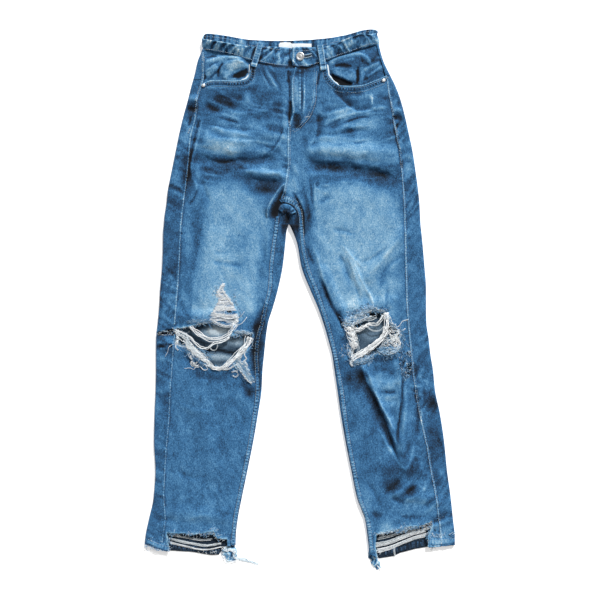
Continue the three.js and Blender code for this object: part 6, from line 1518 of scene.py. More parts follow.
stitch_line(st, [(387, 77), (379.6, 80.4), (373, 83.1), (364.2, 86.4), (355, 87.6), (346, 87.8), (337.5, 86.7), (330.8, 81.6), (326.6, 76), (324.8, 68)], 0, wash=0.68, zf=on(0.45), seed=47, skip=0.1)
stitch_line(st, [(388, 81.4), (380.6, 84.8), (374.2, 87.4), (365.4, 90.8), (355, 92.2), (346, 92.4), (336, 90.8), (328, 84.6), (323.4, 77.4), (322, 69)], 0, wash=0.62, zf=on(0.15), seed=48, skip=0.12)
# crotch: the right leg's last stretch of inseam folds over in two light edges, and the four seams meet in a knot
seam_strip(seams, [(284, 184), (279.4, 188.4), (274.6, 195.4), (269.6, 203), (267, 210), (266.6, 217)], 1.5, 0.8, 0.12, 2.6, 0.1, 0.13, seed=51)
seam_strip(seams, [(280, 201), (283.4, 198.2), (288, 198.6), (292.6, 200.6)], 4.6, 0.8, 0.5, 2.2, 0.1, 0.24, seed=53)
seam_strip(seams, [(279.6, 210.6), (282.4, 206.8), (287, 206.4), (291.4, 209.6), (293.4, 213)], 5.2, 1.4, 0.6, 3.4, -0.10, 0.06, seed=58, wf=wash_plus(0.02))
seam_strip(seams, [(281.6, 213), (286, 210.4), (290.6, 213.6)], 2.6, 1.2, 0.3, 3.0, 0.0, -0.04, seed=59, wf=wash_plus(-0.12))
stitch_line(st, [(283, 195.6), (290, 197), (295.4, 200), (299.6, 205), (301.6, 212), (302.8, 230), (304.6, 246)], 0, wash=0.66, zf=on(0.15), seed=54, skip=0.1)


# hems: what is left of the double fold, stitched
def hem_strip(path, w, seed, wash=0.62):
    seam_strip(seams, path, w, 0.7, 0.28, 3.2, 0.16, 0.10, seed=seed)
    stitch_line(st, path, -w * 0.26, wash=wash, zf=on(0.7), seed=seed + 1, skip=0.05)


hem_strip([(146.5, 540.6), (154, 543.6), (161, 546.6), (167.4, 548)], 7.0, 61)
hem_strip([(428.6, 541.8), (438, 541.6), (447, 540.8), (454.6, 540)], 7.4, 63)
hem_strip([(227.2, 541.6), (230, 541.3), (234.4, 540.8)], 6.0, 65)
hem_strip([(369.8, 550.6), (372.6, 550.4), (375.6, 550.8)], 6.0, 67)
# seam of the waistband: a dark thin fold under it, the lower edge's stitches and a second row above
WB = [(203, 50.6), (212, 52), (222, 53.8), (234, 56.4), (249, 61), (261, 63.4), (271, 65.6), (287.5, 67)]
WBL = [(294, 66.8), (305, 67.4), (317, 64.8), (324, 61.6), (339, 56.6), (353, 52), (367, 46.6), (377.4, 44.8)]


def bandf(d=0.5):
    return lambda x, y: (band_z(x, y) + d, 0 * x)


for path, sd in ((WB, 71), (WBL, 75)):
    stitch_line(st, [(x, y - 2.0) for x, y in path], 0, wash=0.86, zf=bandf(0.75), seed=sd, skip=0.08)
    stitch_line(st, [(x, y - 16.6) if x > 250 and x < 330 else (x, y - 15.4 + abs(x - 290) * 0.02) for x, y in path], 0, wash=0.74, zf=bandf(0.9), seed=sd + 2, skip=0.2)
for x in (293.0,):
    stitch_line(st, [(x + 0.4, 64.6), (x + 0.2, 58), (x + 0.6, 50)], 0, wash=0.85, zf=bandf(0.9), seed=79)


# bar tacks
def bar_tack(a, b, n=7, wash=0.85, w=1.5, zf=None):
    a, b = np.array(a, float), np.array(b, float)
    d = (b - a) / np.hypot(*(b - a)); nn = np.array([-d[1], d[0]])
    t = np.linspace(0, 1, n); c = a[None] + (b - a)[None] * t[:, None]
    u = np.linspace(-0.5, 0.5, 5)
    X = c[:, 0][:, None] + nn[0] * u[None] * w + d[0] * 0.25 * np.sin(np.arange(n) * 2.4)[:, None]
    Y = c[:, 1][:, None] + nn[1] * u[None] * w + d[1] * 0.25 * np.sin(np.arange(n) * 2.4)[:, None]
    z, _ = (zf or on(0.35))(X.ravel(), Y.ravel())
    st.append((P3(X, Y, z.reshape(X.shape) + 0.35 * (1 - (2 * u) ** 2)[None]), 0.00026, np.full(n, wash)))


bar_tack((203.4, 56), (203.4, 61.6)); bar_tack((304.6, 117.2), (309.2, 116.4), zf=on(0.2)); bar_tack((189.6, 128.4), (188, 132.6), 5)
bar_tack((384.6, 78.2), (387.6, 77.2), 5); bar_tack((395, 126), (396.6, 131), 5); bar_tack((288.4, 121), (289.4, 126), 6)
done(seams.build("seams_raised", [DENIM]), "denim")

# ------------------------------------------------------------------ belt loops
def loop_strip(name, path, w, zf, nodes, wash=0.5, fold=True, under=False):
    """a folded strip, stitched along both edges, turned under at its lower end"""
    p, s = resample(spline(path, 6), 0.5)
    t = np.gradient(p[:, :2], axis=0); t /= np.maximum(np.hypot(*t.T)[:, None], 1e-9)
    nrm = np.column_stack([-t[:, 1], t[:, 0]])
    o = np.linspace(-1, 1, 13)
    L = s[-1]
    X = p[:, 0][:, None] + nrm[:, 0][:, None] * o[None] * w / 2
    Y = p[:, 1][:, None] + nrm[:, 1][:, None] * o[None] * w / 2
    ridge = 0.45 * np.exp(-((np.abs(o) - 0.72) / 0.14) ** 2)[None] - 0.35 * np.exp(-(o / 0.3) ** 2)[None]
    b = np.sin(2 * math.pi * s / 2.6)[:, None] * 0.16 * (1 - np.abs(o) ** 3)[None]
    end = smooth(0, 1.6, s) * smooth(0, 1.6, L - s)
    cap = 0.7 * np.exp(-((L - s - 2.4) / 1.3) ** 2) if fold else 0 * s
    Z = zf(p[:, 0], p[:, 1])[:, None] + (ridge + b) * end[:, None] + cap[:, None] - 0.35 * (np.abs(o) > 0.97)[None]
    A = wash + 0.22 * np.exp(-((np.abs(o) - 0.78) / 0.16) ** 2)[None] - 0.06 + 0.5 * b + 0.10 * noise(X * 0.5, Y * 0.5, 401) + 0.3 * (cap / 0.7)[:, None] - 0.22 * np.exp(-((L - s - 5.2) / 1.2) ** 2)[:, None] * (1 if fold else 0)
    T = grid_tris(len(s), len(o))
    sgn = -1 if under else 1
    V = P3(X.ravel(), Y.ravel(), Z.ravel())
    if vertex_normals(V, T)[:, 2].mean() * sgn < 0: T = T[:, ::-1]
    V2, T2, At, mat = thicken(V, T, 0.0015, {"wash": A.ravel()})
    ob = new_object(name, V2, T2, At, [DENIM])
    done(ob, "denim", *nodes)
    for side in (-0.72, 0.72):
        q = np.column_stack([p[:, 0] + nrm[:, 0] * side * w / 2, p[:, 1] + nrm[:, 1] * side * w / 2])[2:-2:6]
        stitch_line(st, q, 0, wash=0.78, zf=lambda x, y: (zf(x, y) + (0.45 if not under else -0.45), 0 * x), seed=int(abs(q[0, 0])) + int(side > 0), lift=0.25 if not under else -0.25)
    return ob


def front_loop_z(x, y):
    b = band_z(x, np.clip(y, 47.6, 66))
    up = np.maximum(b, z_upper(x, np.maximum(y, 66))[0] + 0.6)
    return up + 1.9 + 0.5 * np.exp(-((y - 55) / 6) ** 2)


loop_strip("belt_loop_front_right_cloth", [(260.0, 43.6), (259.2, 47), (257.4, 53), (255.6, 59), (254.0, 64), (253.2, 67)], 6.0, front_loop_z, ["belt_loop_front_right"], 0.56)
loop_strip("belt_loop_front_left_cloth", [(319.6, 45.4), (319.8, 49), (320.8, 55), (321.8, 61), (322.6, 67), (323.0, 70.4)], 6.2, front_loop_z, ["belt_loop_front_left"], 0.6)
for nm, cx, y0, y1 in (("belt_loop_side_right", 227.9, 36.6, 52.4), ("belt_loop_side_left", 348.9, 34.6, 51.6), ("belt_loop_back", 288, 41, 57.8)):
    loop_strip(nm + "_cloth", [(cx, y0), (cx, (y0 + y1) / 2), (cx, y1)], 5.8, lambda x, y: 0.45 + 0 * x, [nm], 0.55, False, True)

# ------------------------------------------------------------------ back pockets and the yoke seam, on the hidden side
for nm, cx in (("back_pocket_right", 245), ("back_pocket_left", 331)):
    poly = [(cx - 30.5, 101), (cx + 30.5, 101), (cx + 28.6, 166), (cx, 180.6), (cx - 28.6, 166)]
    P, T = flat_grid(cx - 32, cx + 32, 100, 182, 2.2)
    P, T = clip_mesh(P, poly_sd(P[:, 0], P[:, 1], poly), T)
    e = poly_sd(P[:, 0], P[:, 1], poly)
    z = 0.35 + 0.1 * fbm(P[:, 0] * 0.1, P[:, 1] * 0.1, 6, 2) - 0.25 * np.exp(-((e - 2) / 1.2) ** 2)
    wash = 0.5 + 0.22 * np.exp(-(e / 1.2) ** 2) - 0.12 * np.exp(-((e - 2.6) / 1) ** 2) + 0.12 * fbm(P[:, 0] * 0.06, P[:, 1] * 0.06, 8, 2)
    V, T2, A, M = thicken(P3(P[:, 0], P[:, 1], z), T[:, ::-1], 0.0011, {"wash": wash})
    done(new_object(nm + "_cloth", V, T2, A, [DENIM]), "denim", nm)
    for ins_ in (2.0, 5.0):
        k = 1 - ins_ / 38
        q = [(cx + (x - cx) * k, 140 + (y - 140) * k) for x, y in poly[1:] + poly[:1]]
        for a, b in zip(q[:-1], q[1:]):
            stitch_line(st, [a, b], 0, wash=0.75, zf=lambda x, y: (0 * x + 0.2, 0 * x), lift=-0.2, seed=int(ins_) + int(a[0]))
    stitch_line(st, [(cx - 29, 105), (cx + 29, 105)], 0, wash=0.75, zf=lambda x, y: (0 * x + 0.2, 0 * x), lift=-0.2, seed=7)
for off in (1.4, 4.2):
    stitch_line(st, [(x, y + off) for x, y in [(206, 80.2), (230, 86), (260, 92), (287, 97), (320, 90), (350, 83.6), (382, 77)]], 0, wash=0.7,
                zf=lambda x, y: (0 * x - 0.05, 0 * x), lift=-0.2, seed=int(off * 3))

# ------------------------------------------------------------------ threads
rng = np.random.default_rng(4025)


def strands(store, path, w, n, z_lift=0.3, r=0.34, wash=0.8, seed=1, tangle=1.0, zf=None, step=1.1, sag=0.0, thick=1.0, end=None, cap=None):
    """a bundle of loose weft threads along a path; w is the width at the start and the end"""
    p, s = resample(spline(path, 6), step)
    t = np.gradient(p, axis=0); t /= np.maximum(np.hypot(*t.T)[:, None], 1e-9)
    nrm = np.column_stack([-t[:, 1], t[:, 0]])
    L = max(s[-1], 1e-6); u = s / L
    w0, w1 = w if isinstance(w, tuple) else (w, w)
    W = w0 + (w1 - w0) * u
    m = len(s)
    o = np.linspace(-0.5, 0.5, n) if n > 1 else np.zeros(1)
    o = o[:, None] + 0 * u[None]
    i = np.arange(n)[:, None]
    o = o + tangle * (0.20 * noise(s[None] * 0.10 + i * 7.1, i * 3.3 + 0 * s[None], seed) + 0.07 * noise(s[None] * 0.45 + i * 5.7, i * 1.9 + 0 * s[None], seed + 3))
    X = p[:, 0][None] + nrm[:, 0][None] * o * W[None]
    Y = p[:, 1][None] + nrm[:, 1][None] * o * W[None]
    X = X + 0.14 * tangle * noise(s[None] * 0.9 + i, i * 2.1 + 0 * s[None], seed + 5)
    Y = Y + 0.14 * tangle * noise(s[None] * 0.9 + i * 2, i * 1.3 + 0 * s[None], seed + 6)
    if zf is None: z0 = np.repeat(z_upper(p[:, 0], p[:, 1])[0][None], n, 0)
    else: z0 = np.repeat(zf(p[:, 0], p[:, 1])[None], n, 0)
    Z = z0 + z_lift - sag * np.sin(u * math.pi)[None] + thick * 0.55 * (noise(s[None] * 0.14 + i * 4.3, i * 6.1 + 0 * s[None], seed + 7) + 0.4 * noise(s[None] * 0.5 + i, i + 0 * s[None], seed + 8))
    Z = np.maximum(Z, 0.5)
    if cap is not None: Z = np.minimum(Z, cap)
    wv = wash + 0.12 * noise(i[:, 0] * 1.7, i[:, 0] * 0.9, seed + 9)
    store.append((P3(X, Y, Z), r * 0.001 * (0.85 + 0.3 * _hash(np.arange(n), np.full(n, seed), 2)), wv))


def curls(store, cx, cy, rx, ry, n, size=2.4, z=0.6, r=0.22, wash=0.8, seed=1, lo=8, turn=1.3):
    """small curly ends of threads in a patch"""
    g = np.random.default_rng(seed)
    m = 12
    a0 = g.uniform(0, 2 * math.pi, n); k = g.uniform(-turn, turn, n) * 2.2
    cx_ = cx + rx * g.normal(0, 0.45, n); cy_ = cy + ry * g.normal(0, 0.45, n)
    L = size * g.uniform(0.5, 1.5, n)
    u = np.linspace(0, 1, m)
    ang = a0[:, None] + k[:, None] * u[None] + 0.8 * np.sin(u[None] * g.uniform(4, 9, n)[:, None])
    X = cx_[:, None] + np.cumsum(np.cos(ang), 1) * (L / m)[:, None]
    Y = cy_[:, None] + np.cumsum(np.sin(ang), 1) * (L / m)[:, None]
    zb, _ = z_upper(cx_, cy_)
    Z = zb[:, None] + z + 0.5 * g.uniform(-0.6, 1, n)[:, None] * np.sin(u[None] * math.pi)
    store.append((P3(X, Y, np.maximum(Z, 0.4)), r * 0.001 * g.uniform(0.7, 1.2, n), wash + g.normal(0, 0.08, n)))


def fringe(store, path, per, length, outward, r=0.15, wash=0.78, seed=1, z=0.1, spread=0.7, closed=False, droop=0.0):
    """fibres standing out of a torn edge. outward: +1 to the left hand of the walk, -1 to the right"""
    P = list(path) + ([path[0]] if closed else [])
    p, s = resample(np.asarray(P, float), 0.25)
    g = np.random.default_rng(seed)
    n = int(s[-1] * per)
    c = g.uniform(0, s[-1], n)
    x = np.interp(c, s, p[:, 0]); y = np.interp(c, s, p[:, 1])
    t = np.gradient(p, axis=0)
    tx = np.interp(c, s, t[:, 0]); ty = np.interp(c, s, t[:, 1]); h = np.maximum(np.hypot(tx, ty), 1e-9)
    nx, ny = ty / h * outward, -tx / h * outward
    dens = 0.5 + 0.5 * noise(c * 0.18, c * 0 + seed, seed)
    keep = g.uniform(0, 1, n) < 0.35 + 0.65 * dens
    x, y, nx, ny, c = x[keep], y[keep], nx[keep], ny[keep], c[keep]; n = len(x)
    a = np.arctan2(ny, nx) + g.normal(0, spread, n)
    L = length * g.gamma(2.2, 0.45, n)
    m = 6; u = np.linspace(0, 1, m)
    k = g.normal(0, 1.1, n)
    ang = a[:, None] + k[:, None] * u[None]
    X = (x - nx * 0.9)[:, None] + np.cumsum(np.cos(ang), 1) * (L / m)[:, None]
    Y = (y - ny * 0.9)[:, None] + np.cumsum(np.sin(ang), 1) * (L / m)[:, None]
    zb, _ = z_upper(x - nx * 1.5, y - ny * 1.5)
    Z = zb[:, None] + z + g.uniform(-0.3, 0.5, n)[:, None] - droop * u[None] * g.uniform(0.2, 1, n)[:, None]
    store.append((P3(X, Y, np.maximum(Z, 0.3)), r * 0.001 * g.uniform(0.6, 1.3, n), wash + g.normal(0, 0.1, n)))


def fuzz(store, path, per, w, size, r=0.17, wash=0.5, seed=1, z=0.3, closed=False):
    """curly half-loose fibres, still blue, along a torn edge"""
    P = list(path) + ([path[0]] if closed else [])
    p, s = resample(np.asarray(P, float), 0.25)
    g = np.random.default_rng(seed)
    n = int(s[-1] * per * 0.42)
    c = g.uniform(0, s[-1], n)
    c = c[g.uniform(0, 1, n) < 0.55 + 0.6 * noise(c * 0.16, c * 0 + seed, seed)]; n = len(c)
    x = np.interp(c, s, p[:, 0]) + w * g.normal(0, 0.5, n); y = np.interp(c, s, p[:, 1]) + w * g.normal(0, 0.5, n)
    m = 7; u = np.linspace(0, 1, m)
    ang = g.uniform(0, 2 * math.pi, n)[:, None] + g.uniform(-3.4, 3.4, n)[:, None] * u[None] + 0.7 * np.sin(u[None] * g.uniform(4, 9, n)[:, None])
    L = 1.35 * size * g.gamma(3, 0.33, n)
    X = x[:, None] + np.cumsum(np.cos(ang), 1) * (L / m)[:, None]; Y = y[:, None] + np.cumsum(np.sin(ang), 1) * (L / m)[:, None]
    zb, _ = z_upper(x, y)
    Z = zb[:, None] + z + 0.5 * g.uniform(-1, 1, n)[:, None] * np.sin(u[None] * math.pi)
    store.append((P3(X, Y, np.maximum(Z, 0.4)), r * 0.0019 * g.uniform(0.6, 1.4, n), wash - 0.04 + g.normal(0, 0.2, n)))


def loops(store, path, n, w, r=0.8, wash=0.94, seed=1, lam=6.0, z=1.0, zamp=0.9, curl=0.5):
    """thick loose yarns that meander along a path, over and under each other"""
    p, s = resample(spline(path, 6) if len(path) > 2 else np.asarray(path, float), 0.55)
    t = np.gradient(p, axis=0); t /= np.maximum(np.hypot(*t.T)[:, None], 1e-9)
    nrm = np.column_stack([-t[:, 1], t[:, 0]])
    g = np.random.default_rng(seed)
    u = s / max(s[-1], 1e-6)
    for k in range(n):
        lk = lam * g.uniform(0.75, 1.35); ph, ph2 = g.uniform(0, 2 * math.pi, 2)
        a, b = sorted(g.uniform(-0.15, 1.15, 2)) if n > 3 and g.random() < 0.5 else (0, 1)
        m = (u >= a) & (u <= b)
        if m.sum() < 6: m = u >= 0
        q = s[m]
        o = w * (0.75 * np.sin(2 * math.pi * q / lk + ph) + 0.45 * noise(q * 0.22, 0 * q + k * 3.3, seed)) + w * g.uniform(-0.35, 0.35)
        al = curl * lk * 0.35 * np.sin(4 * math.pi * q / lk + ph2)
        X = p[m, 0] + nrm[m, 0] * o + t[m, 0] * al; Y = p[m, 1] + nrm[m, 1] * o + t[m, 1] * al
        zb, _ = z_upper(p[m, 0], p[m, 1])
        Z = zb + z + zamp * np.cos(2 * math.pi * q / lk + ph2) * 0.6 + 0.3 * k / max(n, 1)
        store.append((P3(X[None], Y[None], np.maximum(Z, 0.6)[None]), np.array([r * 0.001 * g.uniform(0.75, 1.2)]), np.array([wash + 0.09 * g.normal()])))


fz = []
fuzz(fz, KNEE_RIGHT, 9, 1.5, 2.2, seed=1301, closed=True)
fuzz(fz, [(188, 320.4), (200, 319.4), (212, 318.6)], 14, 2.6, 2.4, seed=1302, wash=0.55)
fuzz(fz, [(234, 330), (243, 331), (252, 333)], 12, 2.6, 2.4, seed=1303, wash=0.5)
fuzz(fz, [(236, 362), (242, 368), (247, 376), (252, 381)], 16, 3.4, 2.8, r=0.2, seed=1304, wash=0.56)
fuzz(fz, [(240, 366), (246, 370), (249, 376)], 14, 2.4, 2.2, r=0.22, seed=1305, wash=0.68)
fuzz(fz, [(176, 344), (190, 354), (204, 367)], 6, 3.0, 2.2, seed=1306, wash=0.5)
fuzz(fz, [(236, 322), (240, 312), (236, 302)], 5, 1.4, 2.0, seed=1307, wash=0.55)
fuzz(fz, KNEE_LEFT, 11, 1.7, 2.4, seed=1311, closed=True)
fuzz(fz, [(344, 324), (349, 318), (356, 313), (364, 309), (371, 306)], 30, 3.4, 3.2, r=0.22, seed=1312, wash=0.5)
fuzz(fz, [(350, 322), (358, 317), (366, 313.6)], 20, 3.0, 3.2, r=0.24, seed=1340, wash=0.66)
fuzz(fz, [(370, 309), (380, 308), (388, 309)], 12, 2.2, 2.4, seed=1313, wash=0.58)
fuzz(fz, [(378, 351), (388, 351), (399, 348)], 20, 3.0, 2.8, r=0.2, seed=1314, wash=0.6)
fuzz(fz, [(396, 326), (402, 336), (403, 346)], 14, 3.4, 2.6, seed=1315, wash=0.56)
fuzz(fz, [(347, 350), (350, 358), (360, 362), (372, 358)], 20, 3.0, 2.8, r=0.2, seed=1316, wash=0.62)
fuzz(fz, [(345, 330), (347, 340), (349, 350)], 12, 2.6, 2.4, seed=1317, wash=0.5)
fuzz(fz, [(401, 352), (402, 364), (403, 376)], 12, 2.4, 2.4, seed=1318, wash=0.42)
for k, s_ in enumerate(SLITS_LEFT): fuzz(fz, s_, 9, 1.0, 1.6, seed=1320 + k, closed=True, wash=0.45)
fuzz(fz, TORN_HEM_RIGHT[:9], 10, 1.6, 2.0, seed=1331, wash=0.6)
fuzz(fz, [(205, 533), (212, 530), (216, 534), (226, 537)], 16, 2.6, 2.4, seed=1332, wash=0.66)
fuzz(fz, TORN_HEM_LEFT[:10], 12, 1.8, 2.2, seed=1333, wash=0.62)
fuzz(fz, [(376, 535), (390, 532), (404, 528), (420, 526)], 14, 2.2, 2.4, seed=1334, wash=0.66)
fuzz(fz, [(429, 530), (428, 538), (431, 545)], 20, 3.0, 2.6, seed=1335, wash=0.66)
fuzz(fz, [(146, 545), (156, 548.6), (167, 551)], 9, 1.2, 1.6, seed=1336, wash=0.5)
fuzz(fz, [(168, 538), (168, 545), (167, 550)], 12, 1.6, 2.0, seed=1337, wash=0.55)
fuzz(fz, [(430, 534), (440, 535), (448, 534), (455, 532)], 9, 1.4, 2.0, seed=1338, wash=0.7)
fuzz(fz, [(146, 537.6), (154, 540.6), (162, 543)], 7, 1.4, 1.8, seed=1339, wash=0.62)
# the chewed edge of the lower layer's hem: short ribs standing across the dark strip
g_ = np.random.default_rng(77)
for x0, y0, x1, y1, n, L in ((171, 548.4, 222, 555.4, 17, 5), (384, 556, 428, 545.4, 15, 6)):
    for k in range(n):
        t_ = (k + g_.uniform(-0.3, 0.3) + 0.5) / n
        x = x0 + (x1 - x0) * t_; y = y0 + (y1 - y0) * t_
        strands(fz, [(x, y - L * g_.uniform(0.7, 1.1)), (x + g_.uniform(-0.6, 0.6), y - L * 0.4), (x + g_.uniform(-0.8, 0.8), y - 0.3)], (1.0, 1.4), 3, 0, 0.26, 0.14 + 0.16 * g_.random(), 1400 + k, 1.0, zf=lambda x, y: 2.0 + 0 * x, thick=0.4)
SIDES = 3


def halves(store):
    """the same tubes as two stores, the wearer's right (-X) and left"""
    out = [], []
    for P, r, w in store:
        m = P[:, :, 0].mean(1) < 0
        r, w = (np.broadcast_to(np.asarray(q, float), (len(P),)) for q in (r, w))
        for k, o in ((m, out[0]), (~m, out[1])):
            if k.any(): o.append((P[k], r[k], w[k]))
    return out


for nm_, part_ in zip(("right", "left"), halves(fz)): done(build_tubes(part_, SIDES).build("torn_edge_fuzz_" + nm_, [FUZZ]), "thread")

fz2 = []
strands(fz2, [(234, 361), (240, 366), (245, 373), (251, 381)], (7.4, 3.0), 15, 0.8, 0.46, 0.72, 1501, 1.6, thick=1.6)
strands(fz2, [(240, 362), (246, 367), (248, 376)], (3.0, 1.6), 6, 1.2, 0.42, 0.9, 1502, 2.2, thick=1.4)
strands(fz2, [(237, 368), (240, 374), (244, 381)], (2.4, 1.2), 4, 0.6, 0.38, 0.3, 1503, 2.2, thick=1.2)
loops(fz2, [(185, 346), (192, 352), (198, 358), (204, 364)], 8, 2.8, 0.42, 0.46, 1504, 6, 0.6)
loops(fz2, [(188, 322), (198, 320.4), (210, 319.6)], 6, 1.4, 0.36, 0.58, 1521, 5, 0.6)
loops(fz2, [(233, 331.6), (243, 331), (252, 334)], 6, 1.5, 0.36, 0.56, 1522, 5, 0.6)
loops(fz2, [(241, 362), (247, 370), (252, 380)], 5, 2.0, 0.4, 0.6, 1523, 6, 1.0)
strands(fz2, [(379, 350), (386, 348.6), (394, 348), (400, 345)], (5.0, 3.0), 12, 0.5, 0.42, 0.56, 1505, 2.0, thick=1.6)
strands(fz2, [(352, 358), (359, 359), (367, 357), (374, 354)], (3.6, 2.4), 8, 0.4, 0.40, 0.5, 1506, 2.2, thick=1.4)
loops(fz2, [(344, 324), (350, 318), (358, 313.4), (366, 309), (372, 305.6)], 9, 2.8, 0.5, 0.66, 1507, 6.5, 1.0, curl=0.8)
loops(fz2, [(348, 325), (355, 320), (363, 316), (369, 314)], 6, 2.2, 0.46, 0.72, 1517, 5.5, 0.8)
loops(fz2, [(372, 306), (376, 310), (382, 311), (388, 309)], 4, 1.5, 0.4, 0.52, 1518, 5, 0.8)
loops(fz2, [(400, 329), (402.6, 338), (401, 347)], 5, 1.8, 0.42, 0.5, 1508, 6, 0.7)
loops(fz2, [(346, 346), (348, 353), (353, 359)], 5, 2.2, 0.42, 0.46, 1519, 6, 0.7)
loops(fz2, [(386, 315), (390, 322), (396, 327)], 4, 1.8, 0.36, 0.6, 1520, 6, 0.8)
strands(fz2, [(403, 368), (402.4, 374), (404.6, 380)], (1.8, 1.4), 4, 0.4, 0.36, 0.5, 1509, 2.6, thick=1.0)
# right knee
kr = []
# worn flame above the tear: the bare weft lies in wavy rows
fl_lo, fl_hi = 283, 325
for k, y in enumerate(np.arange(fl_lo, fl_hi, 0.78)):
    h4 = _hash(np.full(5, k), np.arange(5) + 11, 9)
    if h4[0] < 0.06: continue
    xs_ = np.linspace(205, 240, 141)
    sdv = poly_sd(xs_, np.full_like(xs_, y), FLAME)
    ok = xs_[sdv > -0.2 - 0.9 * h4[1]]
    if len(ok) < 5: continue
    xa, xb = ok.min() - 1.0 * h4[2], ok.max() + 1.0 * h4[3]
    if 310.6 < y < 313.0: xb = min(xb, 224.5)
    if 316.4 < y < 317.6: xa = max(xa, 219)
    if 321.0 < y < 322.6: xa = max(xa, 226)
    wv = 1.25 * smooth(296, 306, y)
    pts = [(xa, y + 0.6 * wv * noise(k * 0.45, 7.0, 3)), ((xa * 2 + xb) / 3, y + wv * noise(k * 0.35, 1.0, 3)), ((xa + 2 * xb) / 3, y + wv * noise(k * 0.35, 4.0, 3)), (xb, y + 0.8 * wv * noise(k * 0.45, 9.0, 3))]
    strands(kr, pts, (0.6, 0.6), 2, 0.2, 0.36, 0.86 + 0.24 * (h4[4] - 0.35), 500 + k, 1.3, step=0.9, thick=1.1)
for pts, sd in (([(223, 283), (219.4, 288), (217.4, 292), (219.4, 296)], 541), ([(221.6, 288.6), (224.4, 293.6), (228, 298.4), (232, 304)], 542), ([(214, 308), (220, 306.6), (228, 307.6), (233, 307)], 543),
                ([(211, 318), (219, 316), (228, 318), (236.4, 316)], 544), ([(217.6, 294), (221.6, 297), (226, 297.6)], 545), ([(212.6, 312), (217, 309), (224, 310.4)], 546)):
    strands(kr, pts, (1.4, 1.4), 4, 0.7, 0.32, 0.9, sd, 1.5, step=0.9, thick=0.8)
B = lambda *a, **k: strands(kr, *a, **k)
B([(190, 326), (196, 332), (203, 336), (210, 339), (219, 339), (227, 335), (232, 329), (235, 324)], (3.0, 3.4), 5, 0.9, wash=0.96, seed=31, sag=0.8, r=0.64, tangle=1.5)
B([(212, 320), (219, 324), (226, 326), (232, 324), (237, 320)], (2.0, 2.4), 5, 0.7, wash=0.86, seed=32, r=0.45)
B([(175, 329), (184, 333), (190, 337), (195, 343), (200, 347), (207, 347.5), (213, 343.5), (222, 341), (229, 336.6)], (1.6, 1.8), 3, 1.2, wash=0.96, seed=33, sag=1.2, tangle=1.8, r=0.6)
B([(249, 336.6), (246, 344), (240, 350), (235, 356), (228, 363), (221, 367.5), (211, 367)], (5.0, 2.4), 8, 1.4, wash=0.97, seed=34, sag=0.2, r=0.58, tangle=1.4)
B([(251, 337), (247, 345), (241, 352), (233, 359)], (2.0, 1.6), 3, 2.2, wash=1.0, seed=234, r=0.4, tangle=1.6)
B([(246, 346), (244, 354), (246, 358), (243, 361)], (1.2, 0.8), 3, 1.2, wash=0.86, seed=235, tangle=1.6)
B([(240, 352), (239, 360), (242, 364)], (1.2, 0.8), 3, 1.2, wash=0.86, seed=236, tangle=1.6)
B([(211, 367), (206, 362), (203, 357), (198, 353), (193, 350), (190, 345), (186, 338), (180, 334), (175, 329.6)], (2.4, 2.0), 2, 1.4, wash=0.86, seed=35, tangle=3.4, sag=0.2, r=0.42)
loops(kr, [(212, 367), (206, 361), (200, 355), (193, 350), (188, 345)], 6, 2.7, 0.50, 0.93, 2001, 7.5, 1.4, curl=0.8)
loops(kr, [(200, 357), (195, 352), (189, 347), (184, 342)], 4, 3.4, 0.4, 0.84, 2002, 6, 1.5, curl=0.9)
loops(kr, [(176, 331), (178, 337), (177, 343)], 3, 1.6, 0.5, 0.9, 2003, 5, 1.2)
loops(kr, [(193, 352), (191, 358), (193, 364), (198, 366)], 3, 1.6, 0.42, 0.84, 2004, 5, 1.2)
loops(kr, [(244, 346), (241, 354), (236, 360)], 3, 1.8, 0.42, 0.8, 2005, 5, 1.6)
B([(213, 366), (205, 358), (196, 350), (190, 344), (183, 340), (176, 336)], (1.4, 1.6), 1, 2.0, wash=0.94, seed=237, tangle=3.2, r=0.5)
B([(196, 350), (200, 354), (198, 360), (194, 364)], (1.0, 0.8), 2, 1.6, wash=0.84, seed=238, tangle=2)
B([(176, 334), (177, 341), (175, 346), (178, 350)], (1.4, 0.8), 3, 1.2, wash=0.84, seed=239, tangle=2)
B([(235, 325), (241, 323), (246.5, 316.5)], (0.6, 0.3), 2, 0.6, wash=0.86, seed=36)
B([(233, 320), (240, 316), (244, 311)], (0.4, 0.3), 1, 0.6, wash=0.8, seed=37)
B([(175.5, 338), (176, 343), (181, 346), (186, 346)], (0.7, 0.5), 2, 0.7, wash=0.82, seed=38)
B([(175, 343), (169, 346), (167, 352), (164.5, 356.5)], (0.5, 0.3), 1, 0.7, wash=0.84, seed=39)
B([(184, 368), (189, 367.4), (194, 368.5), (196, 361)], (0.5, 0.3), 1, 0.7, wash=0.84, seed=40)
B([(216, 341), (217, 346), (214, 350), (210, 348), (211, 344)], (0.5, 0.5), 2, 0.4, wash=0.78, seed=41, sag=1.0)
B([(190, 352), (188, 355), (190.4, 358), (193, 356), (191, 352.4)], (0.5, 0.5), 2, 1.0, wash=0.8, seed=42)
B([(200, 366), (203, 369.4), (207, 368.6), (205, 365)], (0.5, 0.5), 2, 1.0, wash=0.8, seed=43)
B([(191, 361), (194.4, 363), (192, 366), (189.6, 363)], (0.4, 0.4), 1, 1.0, wash=0.8, seed=44)
B([(231, 372), (235, 370.6), (238, 373.4), (235.4, 376.4), (232, 375)], (0.7, 0.7), 2, 0.8, wash=0.84, seed=45)
B([(222, 369), (228, 368.4), (236, 364), (244, 361), (247, 366)], (1.2, 0.8), 3, 0.9, wash=0.8, seed=46)
B([(244, 378), (249, 378.6), (254, 382)], (0.5, 0.4), 2, 0.7, wash=0.8, seed=47)
B([(236, 362), (240, 366), (243, 372)], (0.8, 0.5), 3, 0.9, wash=0.76, seed=48)
